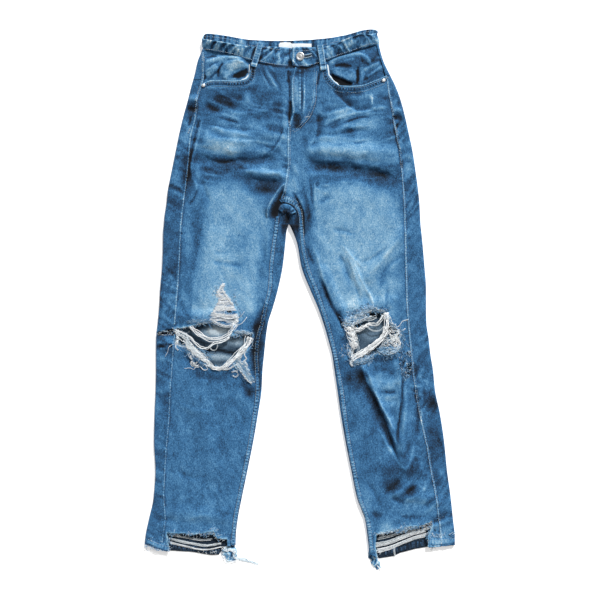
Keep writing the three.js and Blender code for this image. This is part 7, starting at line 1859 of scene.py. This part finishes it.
for cx, cy, rx, ry, n in ((201, 320.6, 11, 1.6, 60), (224, 311.6, 4, 1.4, 16), (219, 322.6, 7, 1.6, 30), (241, 366, 6, 5, 60), (190, 349, 6, 5, 60), (205, 363, 5, 4, 40),
                          (180, 333, 5, 3, 24), (217, 367, 6, 1.6, 30), (238, 334.6, 7, 1.6, 26), (248, 378, 4, 2, 10), (165, 331, 8, 1.2, 20), (216, 288, 3, 6, 14), (234, 300, 2, 10, 16)):
    curls(kr, cx, cy, rx, ry, n // 3, seed=int(cx * 7 + cy), size=2.2, wash=0.8)
    curls(fz2, cx, cy, rx, ry, n, seed=int(cx * 7 + cy) + 9, size=2.3, wash=0.58)
loops(kr, [(236, 364), (242, 372), (247, 379), (251, 383)], 3, 1.2, 0.4, 0.86, 2021, 5, 1.0)
loops(kr, [(240, 362), (246, 367), (250, 375)], 2, 1.0, 0.36, 0.8, 2022, 5, 1.0)
loops(kr, [(185, 338), (188, 346), (194, 352), (200, 358)], 3, 3.4, 0.38, 0.72, 2041, 6.0, 1.2, curl=1.0)
loops(kr, [(175, 330), (181, 335), (188, 339)], 3, 1.8, 0.44, 0.9, 2042, 5.0, 1.4, curl=0.8)
loops(fz2, [(196, 350), (205, 354), (212, 358)], 5, 3.0, 0.42, 0.68, 2043, 6.0, 0.6, curl=1.0)
loops(fz2, [(234, 332), (242, 331.6), (250, 334.6)], 4, 1.8, 0.42, 0.78, 2044, 5.0, 1.0, curl=0.9)
fringe(kr, KNEE_RIGHT, 4, 1.5, -1, seed=71, closed=True)
for k, s_ in enumerate(SLITS_RIGHT): fringe(kr, s_, 4, 0.9, -1, seed=75 + k, closed=True)
sp = build_tubes(kr, SIDES)
done(sp.build("knee_threads_right_loose", [THREAD]), "thread", "knee_threads_right")

# left knee
kl = []
B = lambda *a, **k: strands(kl, *a, **k)
B([(344, 326), (354, 331), (362, 328), (368, 324), (377, 323), (383, 315)], (2.6, 2.8), 5, 0.9, wash=0.9, seed=131, sag=0.4, r=0.56, tangle=2.2)
loops(kl, [(347, 327), (355, 329), (363, 326), (371, 324)], 4, 1.5, 0.6, 0.94, 2011, 6, 1.4)
B([(386, 312), (386.4, 320), (386, 327), (381, 337), (372, 345), (362, 352), (351, 359)], (5.6, 4.6), 9, 1.3, wash=0.97, seed=132, sag=0.4, r=0.6, tangle=1.5)
B([(384, 326), (382, 336), (374, 343), (366, 349), (357, 356)], (2.0, 1.6), 4, 2.4, wash=1.0, seed=232, r=0.4, tangle=1.2)
B([(362, 351), (354, 357), (350, 362), (352, 366)], (3.4, 1.6), 6, 1.6, wash=0.88, seed=233, tangle=2)
B([(390, 330), (381, 339), (371, 348), (360, 356)], (2.0, 2.2), 4, 1.6, wash=0.88, seed=133, sag=0.1, tangle=1.6)
B([(347, 329), (350, 338), (352, 346), (351, 356)], (3.4, 2.4), 3, 0.9, wash=0.84, seed=134, tangle=2.8, r=0.42)
loops(kl, [(346, 325), (349, 333), (353, 341), (354, 348)], 6, 3.0, 0.56, 0.95, 2012, 7.5, 1.5, curl=0.8)
loops(kl, [(350, 328), (354, 336), (356, 345)], 3, 1.8, 0.55, 0.9, 2013, 5.5, 1.2)
B([(345, 327), (347, 333), (352, 336), (349, 342), (353, 348)], (1.8, 1.4), 3, 1.8, wash=0.95, seed=240, tangle=2.6, r=0.4)
B([(350, 326), (356, 329), (353, 334), (357, 339)], (1.6, 1.2), 3, 1.6, wash=0.9, seed=241, tangle=2.6)
B([(352, 330), (356, 338), (358, 347), (356, 355)], (1.6, 1.4), 2, 1.0, wash=0.84, seed=135, tangle=1.8)
B([(398, 334), (391, 337), (384, 342), (380, 349)], (3.0, 2.0), 3, 0.8, wash=0.84, seed=136, tangle=3.0, r=0.42)
loops(kl, [(389, 331), (394, 336), (397, 342), (394, 348)], 4, 3.2, 0.46, 0.92, 2014, 7.5, 1.2, curl=0.9)
loops(kl, [(399, 331), (396, 337), (390, 341), (384, 346)], 4, 2.4, 0.44, 0.88, 2015, 7, 1.2, curl=0.8)
B([(389, 334), (394, 338), (391, 342), (396, 346)], (1.8, 1.4), 3, 1.6, wash=0.92, seed=242, tangle=2.6, r=0.4)
B([(398, 331), (396, 338), (400, 342), (397, 347)], (1.6, 1.2), 3, 1.4, wash=0.9, seed=243, tangle=2.6)
B([(399, 344), (391, 348), (384, 351)], (2.4, 1.8), 2, 1.0, wash=0.84, seed=137, tangle=1.8)
B([(388, 328), (390, 326), (398, 326), (402, 321), (408, 319)], (0.8, 0.4), 2, 0.7, wash=0.86, seed=138)
B([(392, 330), (400, 331), (405, 328)], (0.6, 0.4), 2, 0.7, wash=0.82, seed=139)
B([(346, 325), (353, 321), (360, 317), (368, 318.6), (376, 317)], (2.4, 1.8), 4, 0.6, wash=0.74, seed=140, tangle=3)
B([(366, 326), (372, 330), (379, 330), (384, 326)], (0.8, 0.8), 2, 0.5, wash=0.78, seed=142, sag=0.8)
for k, (x, y, a) in enumerate(((351, 360, 1.9), (355, 361, 1.6), (360, 360, 1.2), (366, 358, 1.0), (382, 351, 1.5), (386, 352, 1.3),
                               (390, 351, 1.2), (394, 350, 1.0), (397, 347, 0.6), (363, 354, 1.2))):
    L = 5.5 + 3 * float(noise(k * 1.3, 0.0, 5))
    strands(fz2, [(x, y), (x + L * 0.5 * math.cos(a) + 0.6, y + L * 0.5 * math.sin(a)), (x + L * math.cos(a + 0.35), y + L * math.sin(a + 0.35))], (1.8, 1.0), 3, 0.9, wash=0.62, seed=150 + k, r=0.34)
for cx, cy, rx, ry, n in ((354, 314, 10, 6, 110), (350, 324, 5, 4, 40), (352, 340, 5, 9, 60), (391, 342, 8, 8, 80), (388, 352, 8, 3, 44), (358, 359, 8, 3, 50), (368, 356, 5, 3, 20),
                          (409, 354, 3, 3, 20), (410, 367, 3, 4, 22), (404.6, 374, 3, 5, 26), (400, 364, 3, 8, 26), (374, 311, 8, 1.4, 16), (344, 352, 5, 8, 16)):
    curls(kl, cx, cy, rx, ry, n // 5 if cx > 399 or cy < 316 else n // 2, seed=int(cx * 5 + cy), size=2.3, wash=0.82)
    curls(fz2, cx, cy, rx, ry, n if cx < 399 else n // 2, seed=int(cx * 5 + cy) + 9, size=2.5, wash=0.56 if cx < 399 else 0.44, r=0.26)
fringe(kl, KNEE_LEFT, 5, 1.6, -1, seed=171, closed=True)
loops(kl, [(345, 324), (351, 318.6), (359, 314.4), (367, 311)], 3, 2.6, 0.42, 0.74, 2031, 6.0, 1.2, curl=0.9)
loops(kl, [(349, 326), (356, 321.6), (364, 318.6), (371, 316.6)], 3, 1.8, 0.40, 0.80, 2032, 5.5, 1.2, curl=0.8)
loops(kl, [(372, 307), (378, 309.4), (385, 311)], 2, 1.4, 0.34, 0.62, 2033, 4.5, 1.0, curl=0.8)
loops(kl, [(347, 344), (348, 351), (351, 357)], 3, 2.0, 0.36, 0.60, 2034, 5.0, 1.0, curl=0.9)
loops(fz2, [(351, 361), (359, 362), (367, 358.6), (374, 355)], 5, 2.2, 0.46, 0.80, 2035, 6.0, 1.1, curl=0.9)
loops(fz2, [(379, 351), (386, 353), (393, 351), (400, 346)], 5, 2.2, 0.46, 0.82, 2036, 6.0, 1.1, curl=0.9)
loops(kl, [(388, 316), (391, 322), (396, 327.6)], 2, 1.6, 0.34, 0.76, 2037, 5.0, 1.0, curl=0.8)
for k, s_ in enumerate(SLITS_LEFT): fringe(fz2, s_, 3, 1.1, -1, seed=175 + k, closed=True, wash=0.42)
done(build_tubes(kl, SIDES).build("knee_threads_left_loose", [THREAD]), "thread", "knee_threads_left")


# hems: the bare weft of the torn strip hangs in rows
def hem_rows(store, top, bottom, n, seed, z=(3.6, 2.2), wash=0.86, dens=2, drop=0):
    T_, B_ = np.asarray(spline(top, 5)), np.asarray(spline(bottom, 5))
    T_, _ = resample(T_, arc_len(T_)[-1] / 40); B_, _ = resample(B_, arc_len(B_)[-1] / 40)
    m = min(len(T_), len(B_)); T_, B_ = T_[:m], B_[:m]
    g = np.random.default_rng(seed)
    for k in range(n):
        f = (k + 0.5) / n
        p = T_ * (1 - f) + B_ * f
        a, b = int(g.integers(0, 3)), m - int(g.integers(1, 4))
        strands(store, p[a:b:3], (0.6, 0.6), dens, 0, 0.36, wash + g.normal(0, 0.05), seed + k * 3, 1.2, zf=lambda x, y: (z[0] + (z[1] - z[0]) * f) + 0 * x, step=1.0, thick=0.6)


for nm_, part_ in zip(("right", "left"), halves(fz2)): done(build_tubes(part_, SIDES).build("torn_edge_curls_" + nm_, [FUZZ]), "thread")

hr = []
hem_rows(hr, [(167.5, 537.5), (180, 540.5), (196, 543.6), (207, 545), (216, 543.6), (226.4, 542.4)], [(167.5, 539.6), (180, 542.8), (196, 546), (207, 547), (216, 545.2), (226.4, 543.4)], 3, 601, wash=0.84)
hem_rows(hr, [(168, 541.8), (182, 545.2), (198, 549), (208, 549.4), (218, 547.4), (226.4, 545.6)], [(168, 543.6), (182, 546.8), (198, 550.4), (208, 550.6), (218, 548.2), (226.4, 546.6)], 2, 631, wash=0.9)
hem_rows(hr, [(168, 534.6), (184, 536.6), (200, 539), (212, 538.4)], [(168, 536.4), (184, 538.6), (200, 541.4), (214, 540.6)], 2, 661, wash=0.78, dens=1)
fringe(hr, TORN_HEM_RIGHT[:9], 6, 1.5, -1, seed=671, wash=0.76)
fringe(hr, [(145, 544.4), (155, 548), (167, 550.6)], 2, 0.7, -1, seed=672, wash=0.6)
for cx, cy, rx, ry, n in ((205, 533, 8, 2, 30), (176, 535, 8, 2, 20), (221, 538, 6, 2, 20), (212, 552, 10, 1.4, 18), (168, 548, 2, 4, 14)):
    curls(hr, cx, cy, rx, ry, n, seed=int(cx * 3 + cy), size=1.8, z=-0.4, wash=0.8)
done(build_tubes(hr, SIDES).build("hem_threads_right_loose", [THREAD]), "thread", "hem_threads_right")

hl = []
hem_rows(hl, [(375, 543), (388, 540.6), (400, 536), (414, 531), (424, 528.4), (431, 525)], [(375, 547.5), (388, 545), (400, 540.4), (414, 535.2), (424, 532.4), (431, 529)], 5, 701, wash=0.88)
hem_rows(hl, [(375.4, 549), (388, 546.6), (400, 542), (414, 536.6), (424, 534), (430, 531)], [(375.6, 553.6), (388, 550.6), (400, 545.4), (414, 540), (424, 537.4), (430, 535)], 5, 731, wash=0.86)
hem_rows(hl, [(377, 537.4), (390, 534.6), (404, 530.4), (418, 528)], [(376, 541), (390, 538), (404, 533.4), (420, 529.6)], 3, 761, wash=0.78, dens=1)
fringe(hl, TORN_HEM_LEFT[:10], 7, 1.6, -1, seed=771, wash=0.78)
strands(hl, [(394.4, 547), (394, 551), (395, 557)], (1.6, 0.7), 4, 0, 0.3, 0.82, 772, zf=lambda x, y: 2.4 + 0 * x)
strands(hl, [(431, 541), (433.4, 545), (431.4, 550.5)], (2.6, 1.6), 6, 0, 0.28, 0.82, 773, tangle=2, zf=lambda x, y: 3.0 + 0 * x)
strands(hl, [(434.6, 541), (434, 546), (435.6, 549)], (1.2, 1.0), 3, 0, 0.28, 0.82, 774, tangle=2, zf=lambda x, y: 3.0 + 0 * x)
for cx, cy, rx, ry, n in ((404, 528, 14, 2, 40), (426, 524, 5, 4, 30), (384, 534, 8, 2, 16), (430, 541, 3, 6, 30), (378, 552, 4, 4, 20), (443, 516, 5, 2, 6)):
    curls(hl, cx, cy, rx, ry, n, seed=int(cx * 3 + cy), size=1.9, z=-0.4, wash=0.8)
done(build_tubes(hl, SIDES).build("hem_threads_left_loose", [THREAD]), "thread", "hem_threads_left")

# tails: a crumpled scrap of the hem with loose threads
def scrap(name, path, widths, z0, wash, seed, node):
    p, s = resample(spline(path, 6), 0.7)
    t = np.gradient(p, axis=0); t /= np.maximum(np.hypot(*t.T)[:, None], 1e-9)
    nrm = np.column_stack([-t[:, 1], t[:, 0]])
    u = s / s[-1]; W = np.interp(u, np.linspace(0, 1, len(widths)), widths)
    o = np.linspace(-1, 1, 17)[None]
    W = W[:, None] * (1 + 0.22 * noise(s[:, None] * 0.5 + 0 * o, np.sign(o) + 0 * s[:, None], seed))
    X = p[:, 0][:, None] + nrm[:, 0][:, None] * o * W / 2; Y = p[:, 1][:, None] + nrm[:, 1][:, None] * o * W / 2
    r = 1 - 2.6 * np.abs(noise(X * 0.30 + 0.12 * Y, Y * 0.17 - 0.06 * X, seed + 1))
    r2 = noise(X * 0.8, Y * 0.8, seed + 2)
    Z = z0 + 2.2 * (1 - o ** 2) * np.sin(np.clip(u * 1.1, 0, 1) * math.pi)[:, None] ** 0.5 + 1.1 * r + 0.25 * r2
    A = wash + 0.30 * (r - 0.2) + 0.10 * r2
    V, T2, At, M = thicken(P3(X.ravel(), Y.ravel(), np.maximum(Z, 0.9).ravel()), grid_tris(len(s), 17), 0.0009, {"wash": A.ravel()})
    done(new_object(name, V, T2, At, [DENIM]), "denim", node)


scrap("hem_tail_right_cloth", [(228.6, 546.6), (228.8, 551), (229.2, 556.6), (229.6, 562)], (10, 14, 15, 12, 8), 1.0, 0.70, 901, "hem_tail_right")
scrap("hem_tail_left_cloth", [(371.6, 551), (372.6, 557), (375.4, 563.6), (378.6, 569.6)], (7, 8, 8, 7, 4.4), 1.0, 0.70, 905, "hem_tail_left")
tr_ = []
zt_ = lambda z: (lambda x, y: z + 0 * x)
strands(tr_, [(222, 547.6), (226, 551), (230, 550), (235, 553)], (2.4, 1.4), 5, 0, 0.34, 0.84, 801, tangle=2.4, zf=zt_(4.4), thick=0.9)
strands(tr_, [(223, 556), (225, 561.4), (229, 562.6), (236, 561)], (1.6, 1.2), 4, 0, 0.34, 0.86, 802, tangle=2.4, zf=zt_(2.4), thick=0.8)
strands(tr_, [(236, 550), (233, 555), (236.4, 560)], (1.4, 1.0), 3, 0, 0.34, 0.8, 806, tangle=2.4, zf=zt_(3.4), thick=0.8)
strands(tr_, [(224, 553), (230, 557.6), (236, 558.4), (246, 561.4), (257.7, 564.3)], (2.4, 2.2), 7, 0, 0.36, 0.62, 803, tangle=2.6, zf=zt_(1.0), thick=0.5)
strands(tr_, [(238, 560), (243, 558.6), (249, 561.4), (254, 562.6)], (1.6, 1.0), 4, 0, 0.34, 0.56, 807, tangle=2.6, zf=zt_(1.0), thick=0.4)
strands(tr_, [(222, 548), (220.6, 554), (222.4, 559)], (1.6, 0.6), 3, 0, 0.3, 0.76, 804, tangle=1.6, zf=zt_(1.0), thick=0.4)
done(build_tubes(tr_, 4).build("hem_tail_right_loose", [THREAD]), "thread", "hem_tail_right")
tl_ = []
strands(tl_, [(371, 556), (374, 562), (378, 567), (380, 570.6)], (2.4, 0.8), 6, 0, 0.32, 0.86, 811, tangle=1.5, zf=zt_(1.0), thick=0.5)
strands(tl_, [(372, 555.6), (371, 561), (373.6, 565)], (1.2, 0.5), 3, 0, 0.3, 0.8, 812, tangle=1.5, zf=zt_(1.0), thick=0.4)
done(build_tubes(tl_, 4).build("hem_tail_left_loose", [THREAD]), "thread", "hem_tail_left")

# ------------------------------------------------------------------ all machine stitches as one mesh
done(build_tubes(st, 3).build("machine_stitches", [STITCH]), "thread")


# ------------------------------------------------------------------ blank label, button, rivets, zip teeth
def label():
    out = [(278.2, 43.4), (279.6, 41.6), (284, 41.2), (289.6, 41.4), (291.4, 42.6), (300, 42.4), (311, 42.6), (311, 46.8), (300, 47), (291.4, 47.2), (291, 53), (284, 54.8), (279.4, 54), (278.2, 50)]
    P, T = flat_grid(277, 312, 40.6, 55.6, 0.5)
    P, T = clip_mesh(P, poly_sd(P[:, 0], P[:, 1], out), T)
    z = 4.75 + 0.22 * noise(P[:, 0] * 0.3, P[:, 1] * 0.2, 901) - 0.15 * np.exp(-(poly_sd(P[:, 0], P[:, 1], out) / 0.6) ** 2)
    wash = 0.74 + 0.12 * noise(P[:, 0] * 0.4, P[:, 1] * 0.5, 903) - 0.25 * np.exp(-((P[:, 0] - 291.2) / 0.5) ** 2)
    V, T2, A, M = thicken(P3(P[:, 0], P[:, 1], z), T, 0.0006, {"wash": wash})
    return new_object("waist_label_blank", V, T2, A, [LABEL])


done(label(), "label_tape", "waist_label")


def lathe(soup, cx, cy, cz, prof, tilt=(0, 0), squash_=1.0, n=40, mat=0):
    """prof: radius and height in mm, from the middle of the top outwards and down"""
    pr = np.asarray(prof, float); a = np.arange(n) / n * 2 * math.pi
    V = np.stack([pr[:, 0][:, None] * np.cos(a)[None], pr[:, 0][:, None] * np.sin(a)[None] * squash_, np.repeat(pr[:, 1][:, None], n, 1)], -1).reshape(-1, 3)
    tx, ty = math.radians(tilt[0]), math.radians(tilt[1])
    Rx = np.array([[1, 0, 0], [0, math.cos(tx), -math.sin(tx)], [0, math.sin(tx), math.cos(tx)]])
    Ry = np.array([[math.cos(ty), 0, math.sin(ty)], [0, 1, 0], [-math.sin(ty), 0, math.cos(ty)]])
    V = V @ (Ry @ Rx).T * 0.001 + np.array([float(MX(cx)), float(MY(cy)), cz * 0.001])
    m = len(pr)
    T = grid_tris(m, n, wrap=True)
    soup.add(V, T[:, ::-1], 0.5, mat)


hw = Soup()
lathe(hw, 299.7, 56.4, 11.6, [(0.01, 1.5), (2.2, 1.45), (3.4, 1.2), (3.9, 1.0), (4.5, 1.15), (5.4, 1.55), (6.4, 1.75), (7.2, 1.55), (7.9, 0.9), (8.2, 0.1), (7.9, -0.55), (6.8, -0.9), (3, -1.0), (2.6, -1.6), (2.6, -3.0), (0.01, -3.0)],
      (4, -9), 1.0, 56)
done(hw.build("button_shank", [METAL]), "metal", "button")
for nm, cx, cy, cz in (("rivet_right", 203.0, 85.3, 11.0), ("rivet_left", 383.0, 80.3, 10.9)):
    hv = Soup()
    lathe(hv, cx, cy, cz, [(0.01, 1.1), (0.9, 1.05), (1.4, 0.75), (1.9, 0.72), (2.6, 0.62), (3.3, 0.45), (3.7, 0.1), (3.7, -0.4), (2, -0.9), (0.01, -0.9)], (0, 0), 0.86, 28)
    done(hv.build(nm + "_cap", [METAL]), "metal", nm)
# buttonhole: a dark slit between two rows of dense stitches, with an eyelet end; the slit is a thin near-black sheet
# laid on the band, painted shade of the opening
bh, bs = [], Soup()
for sgn in (-1, 1):
    a = [(304.2, 56.4 + sgn * 0.9), (307, 56.2 + sgn * 0.75), (311.2, 55 + sgn * 0.7)]
    p, s = resample(spline(a, 6), 0.42)
    t = np.gradient(p, axis=0); t /= np.hypot(*t.T)[:, None]
    n_ = np.column_stack([-t[:, 1], t[:, 0]]) * sgn
    u = np.linspace(0, 1, 4)
    X = p[:, 0][:, None] + n_[:, 0][:, None] * u[None] * 1.1; Y = p[:, 1][:, None] + n_[:, 1][:, None] * u[None] * 1.1
    Z = band_z(X, Y) + 0.9 + 0.5 * np.sin(u * math.pi)[None]
    bh.append((P3(X, Y, Z), 0.00028, np.full(len(p), 0.62)))
done(build_tubes(bh, 4).build("buttonhole_thread", [STITCH]), "thread")
# near-black sheet on the band: painted shade of the buttonhole's slit
x = np.linspace(303.6, 311.2, 18); half = 0.45 * np.sin(np.linspace(0.25, math.pi - 0.15, 18)) + 0.25
cy_ = np.interp(x, [304, 307, 311.2], [56.4, 56.2, 55])
X = np.column_stack([x, x]).ravel(); Y = np.column_stack([cy_ - half, cy_ + half]).ravel()
V = P3(X, Y, band_z(X, Y) + 1.0); T = grid_tris(18, 2)
if vertex_normals(V, T)[:, 2].mean() < 0: T = T[:, ::-1]
V2, T2, A, M = thicken(V, T, 0.0004, {"wash": np.zeros(len(V))})
done(new_object("buttonhole_slit", V2, T2, A, [INNER]), "denim_inner")

tt = Soup()
for k in range(int((433 - 341) / 1.5)):
    y = 82.6 + k * 1.5 / 1.9
    if y > 119: break
    for sx in (-0.35, 0.35):
        x0, y0 = 300.2 + sx * 1.2, y + (0.4 if sx > 0 else 0)
        z0 = float(z_upper(np.array([x0]), np.array([y0]))[0][0]) - 4.2
        c = np.array([[x, yy, z] for x in (-1, 1) for yy in (-1, 1) for z in (-1, 1)], float) * np.array([1.1, 0.45, 0.5]) * 0.001 + P3(x0, y0, z0)
        f = np.array([[0, 1, 3], [0, 3, 2], [4, 6, 7], [4, 7, 5], [0, 4, 5], [0, 5, 1], [2, 3, 7], [2, 7, 6], [0, 2, 6], [0, 6, 4], [1, 5, 7], [1, 7, 3]])
        tt.add(c, f, 0.5)
done(tt.build("zip_teeth", [METAL]), "metal")

# ------------------------------------------------------------------ the hidden solids that stay as they are get their materials
KEEP = {"fly_zip": TAPE, "zip_slider": METAL}
for o in bpy.data.objects:
    for key, m in KEEP.items():
        if o.type == "MESH" and (o.name == key or o.name.startswith(key + ".")) and o.name not in made:
            if not o.material_slots: o.data.materials.append(m)
            for s_ in o.material_slots: s_.link = "OBJECT"; s_.material = m

# ------------------------------------------------------------------ cloth: each piece's flat cut (m), and its area where that isn't a rectangle
FLAT = {
    "front_right_cloth": (0.27, 0.99, 0.175, ["machine_stitches", "seams_raised"]), "front_left_cloth": (0.30, 0.99, 0.18, []),
    "back_right_cloth": (0.36, 0.93, 0.235, []), "back_left_cloth": (0.36, 0.93, 0.235, []),
    "yoke_right_cloth": (0.20, 0.10, 0.012, []), "yoke_left_cloth": (0.22, 0.11, 0.014, []),
    "waistband_cloth": (0.74, 0.036, None, []),
    "pocket_facing_right_cloth": (0.10, 0.09, 0.0052, []), "pocket_facing_left_cloth": (0.125, 0.098, 0.0066, []),
    "pocket_bag_right_cloth": (0.235, 0.21, 0.042, []), "pocket_bag_left_cloth": (0.25, 0.217, 0.046, []),
    "back_pocket_right_cloth": (0.118, 0.152, 0.0165, []), "back_pocket_left_cloth": (0.118, 0.152, 0.0165, []),
    "fly_facing_cloth": (0.044, 0.114, 0.0036, []), "fly_shield_cloth": (0.048, 0.106, 0.0042, []),
    "waist_label_blank": (0.063, 0.027, 0.00095, []), "hem_tail_right_cloth": (0.028, 0.030, None, []), "hem_tail_left_cloth": (0.016, 0.037, None, []),
    "belt_loop_front_right_cloth": (0.0114, 0.05, None, []), "belt_loop_front_left_cloth": (0.0118, 0.052, None, []),
    "belt_loop_side_right_cloth": (0.011, 0.032, None, []), "belt_loop_side_left_cloth": (0.011, 0.034, None, []), "belt_loop_back_cloth": (0.011, 0.033, None, []),
}
floor_me = bpy.data.meshes.new("floor")
floor_me.from_pydata([(-3, -3, -0.0002), (3, -3, -0.0002), (3, 3, -0.0002), (-3, 3, -0.0002)], [], [(0, 1, 2, 3)])
floor = bpy.data.objects.new("floor", floor_me); bpy.context.scene.collection.objects.link(floor)
mf, nf, bf = new_material("floor_paper", 0.95, 0, 0, 0.1)
fn = noise_node(nf, nf.nodes.new("ShaderNodeTexCoord").outputs["Object"], 3, detail=1)
nf.links.new(ramp(nf, math_node(nf, "ADD", fn, 0.5), [(0, (247, 247, 247)), (1, (250, 250, 250))]), bf.inputs["Base Color"])
bf.inputs["Emission Color"].default_value = (1, 1, 1, 1); bf.inputs["Emission Strength"].default_value = 0.38
floor_me.materials.append(mf)
for nm, (w_, l_, ar, with_) in FLAT.items():
    ob = made[nm]
    me = ob.data
    co = np.zeros(len(me.vertices) * 3); me.vertices.foreach_get("co", co); co = co.reshape(-1, 3)
    tri = np.zeros(len(me.polygons) * 3, int); me.polygons.foreach_get("vertices", tri); tri = tri.reshape(-1, 3)

# ------------------------------------------------------------------ light, camera
sc = bpy.context.scene
sc.view_settings.view_transform = "Standard"
wd = sc.world or bpy.data.worlds.new("world"); sc.world = wd; wd.use_nodes = True
bg = wd.node_tree.nodes.get("Background") or wd.node_tree.nodes.new("ShaderNodeBackground")
bg.inputs[0].default_value = (1.0, 0.99, 0.98, 1); bg.inputs[1].default_value = 0.36


def area(name, loc, size, power, target=(0, 0, 0), color=(1, 1, 1)):
    import mathutils
    l = bpy.data.lights.new(name, "AREA"); l.shape = "DISK"; l.size = size; l.energy = power; l.color = color
    o = bpy.data.objects.new(name, l); sc.collection.objects.link(o); o.location = loc
    o.rotation_euler = (mathutils.Vector(target) - mathutils.Vector(loc)).to_track_quat("-Z", "Y").to_euler()
    return o


def sun(name, direction, strength, angle):
    import mathutils
    l = bpy.data.lights.new(name, "SUN"); l.energy = strength; l.angle = math.radians(angle)
    o = bpy.data.objects.new(name, l); sc.collection.objects.link(o)
    o.rotation_euler = mathutils.Vector(direction).to_track_quat("-Z", "Y").to_euler()
    o.location = [-2 * c for c in direction]


sun("key", (-0.42, -1.0, -0.64), 5.0, 10)

cam = bpy.data.cameras.new("cam"); co_ = bpy.data.objects.new("cam", cam); sc.collection.objects.link(co_)
cam.lens = 50; cam.sensor_width = 36; cam.dof.use_dof = False
co_.location = (float(MX(299.5)), float(MY(299.5)), 0.008 + 1.14 * 50 / 36); co_.rotation_euler = (0, 0, 0)
cam.clip_start = 0.05; cam.clip_end = 20
sc.camera = co_
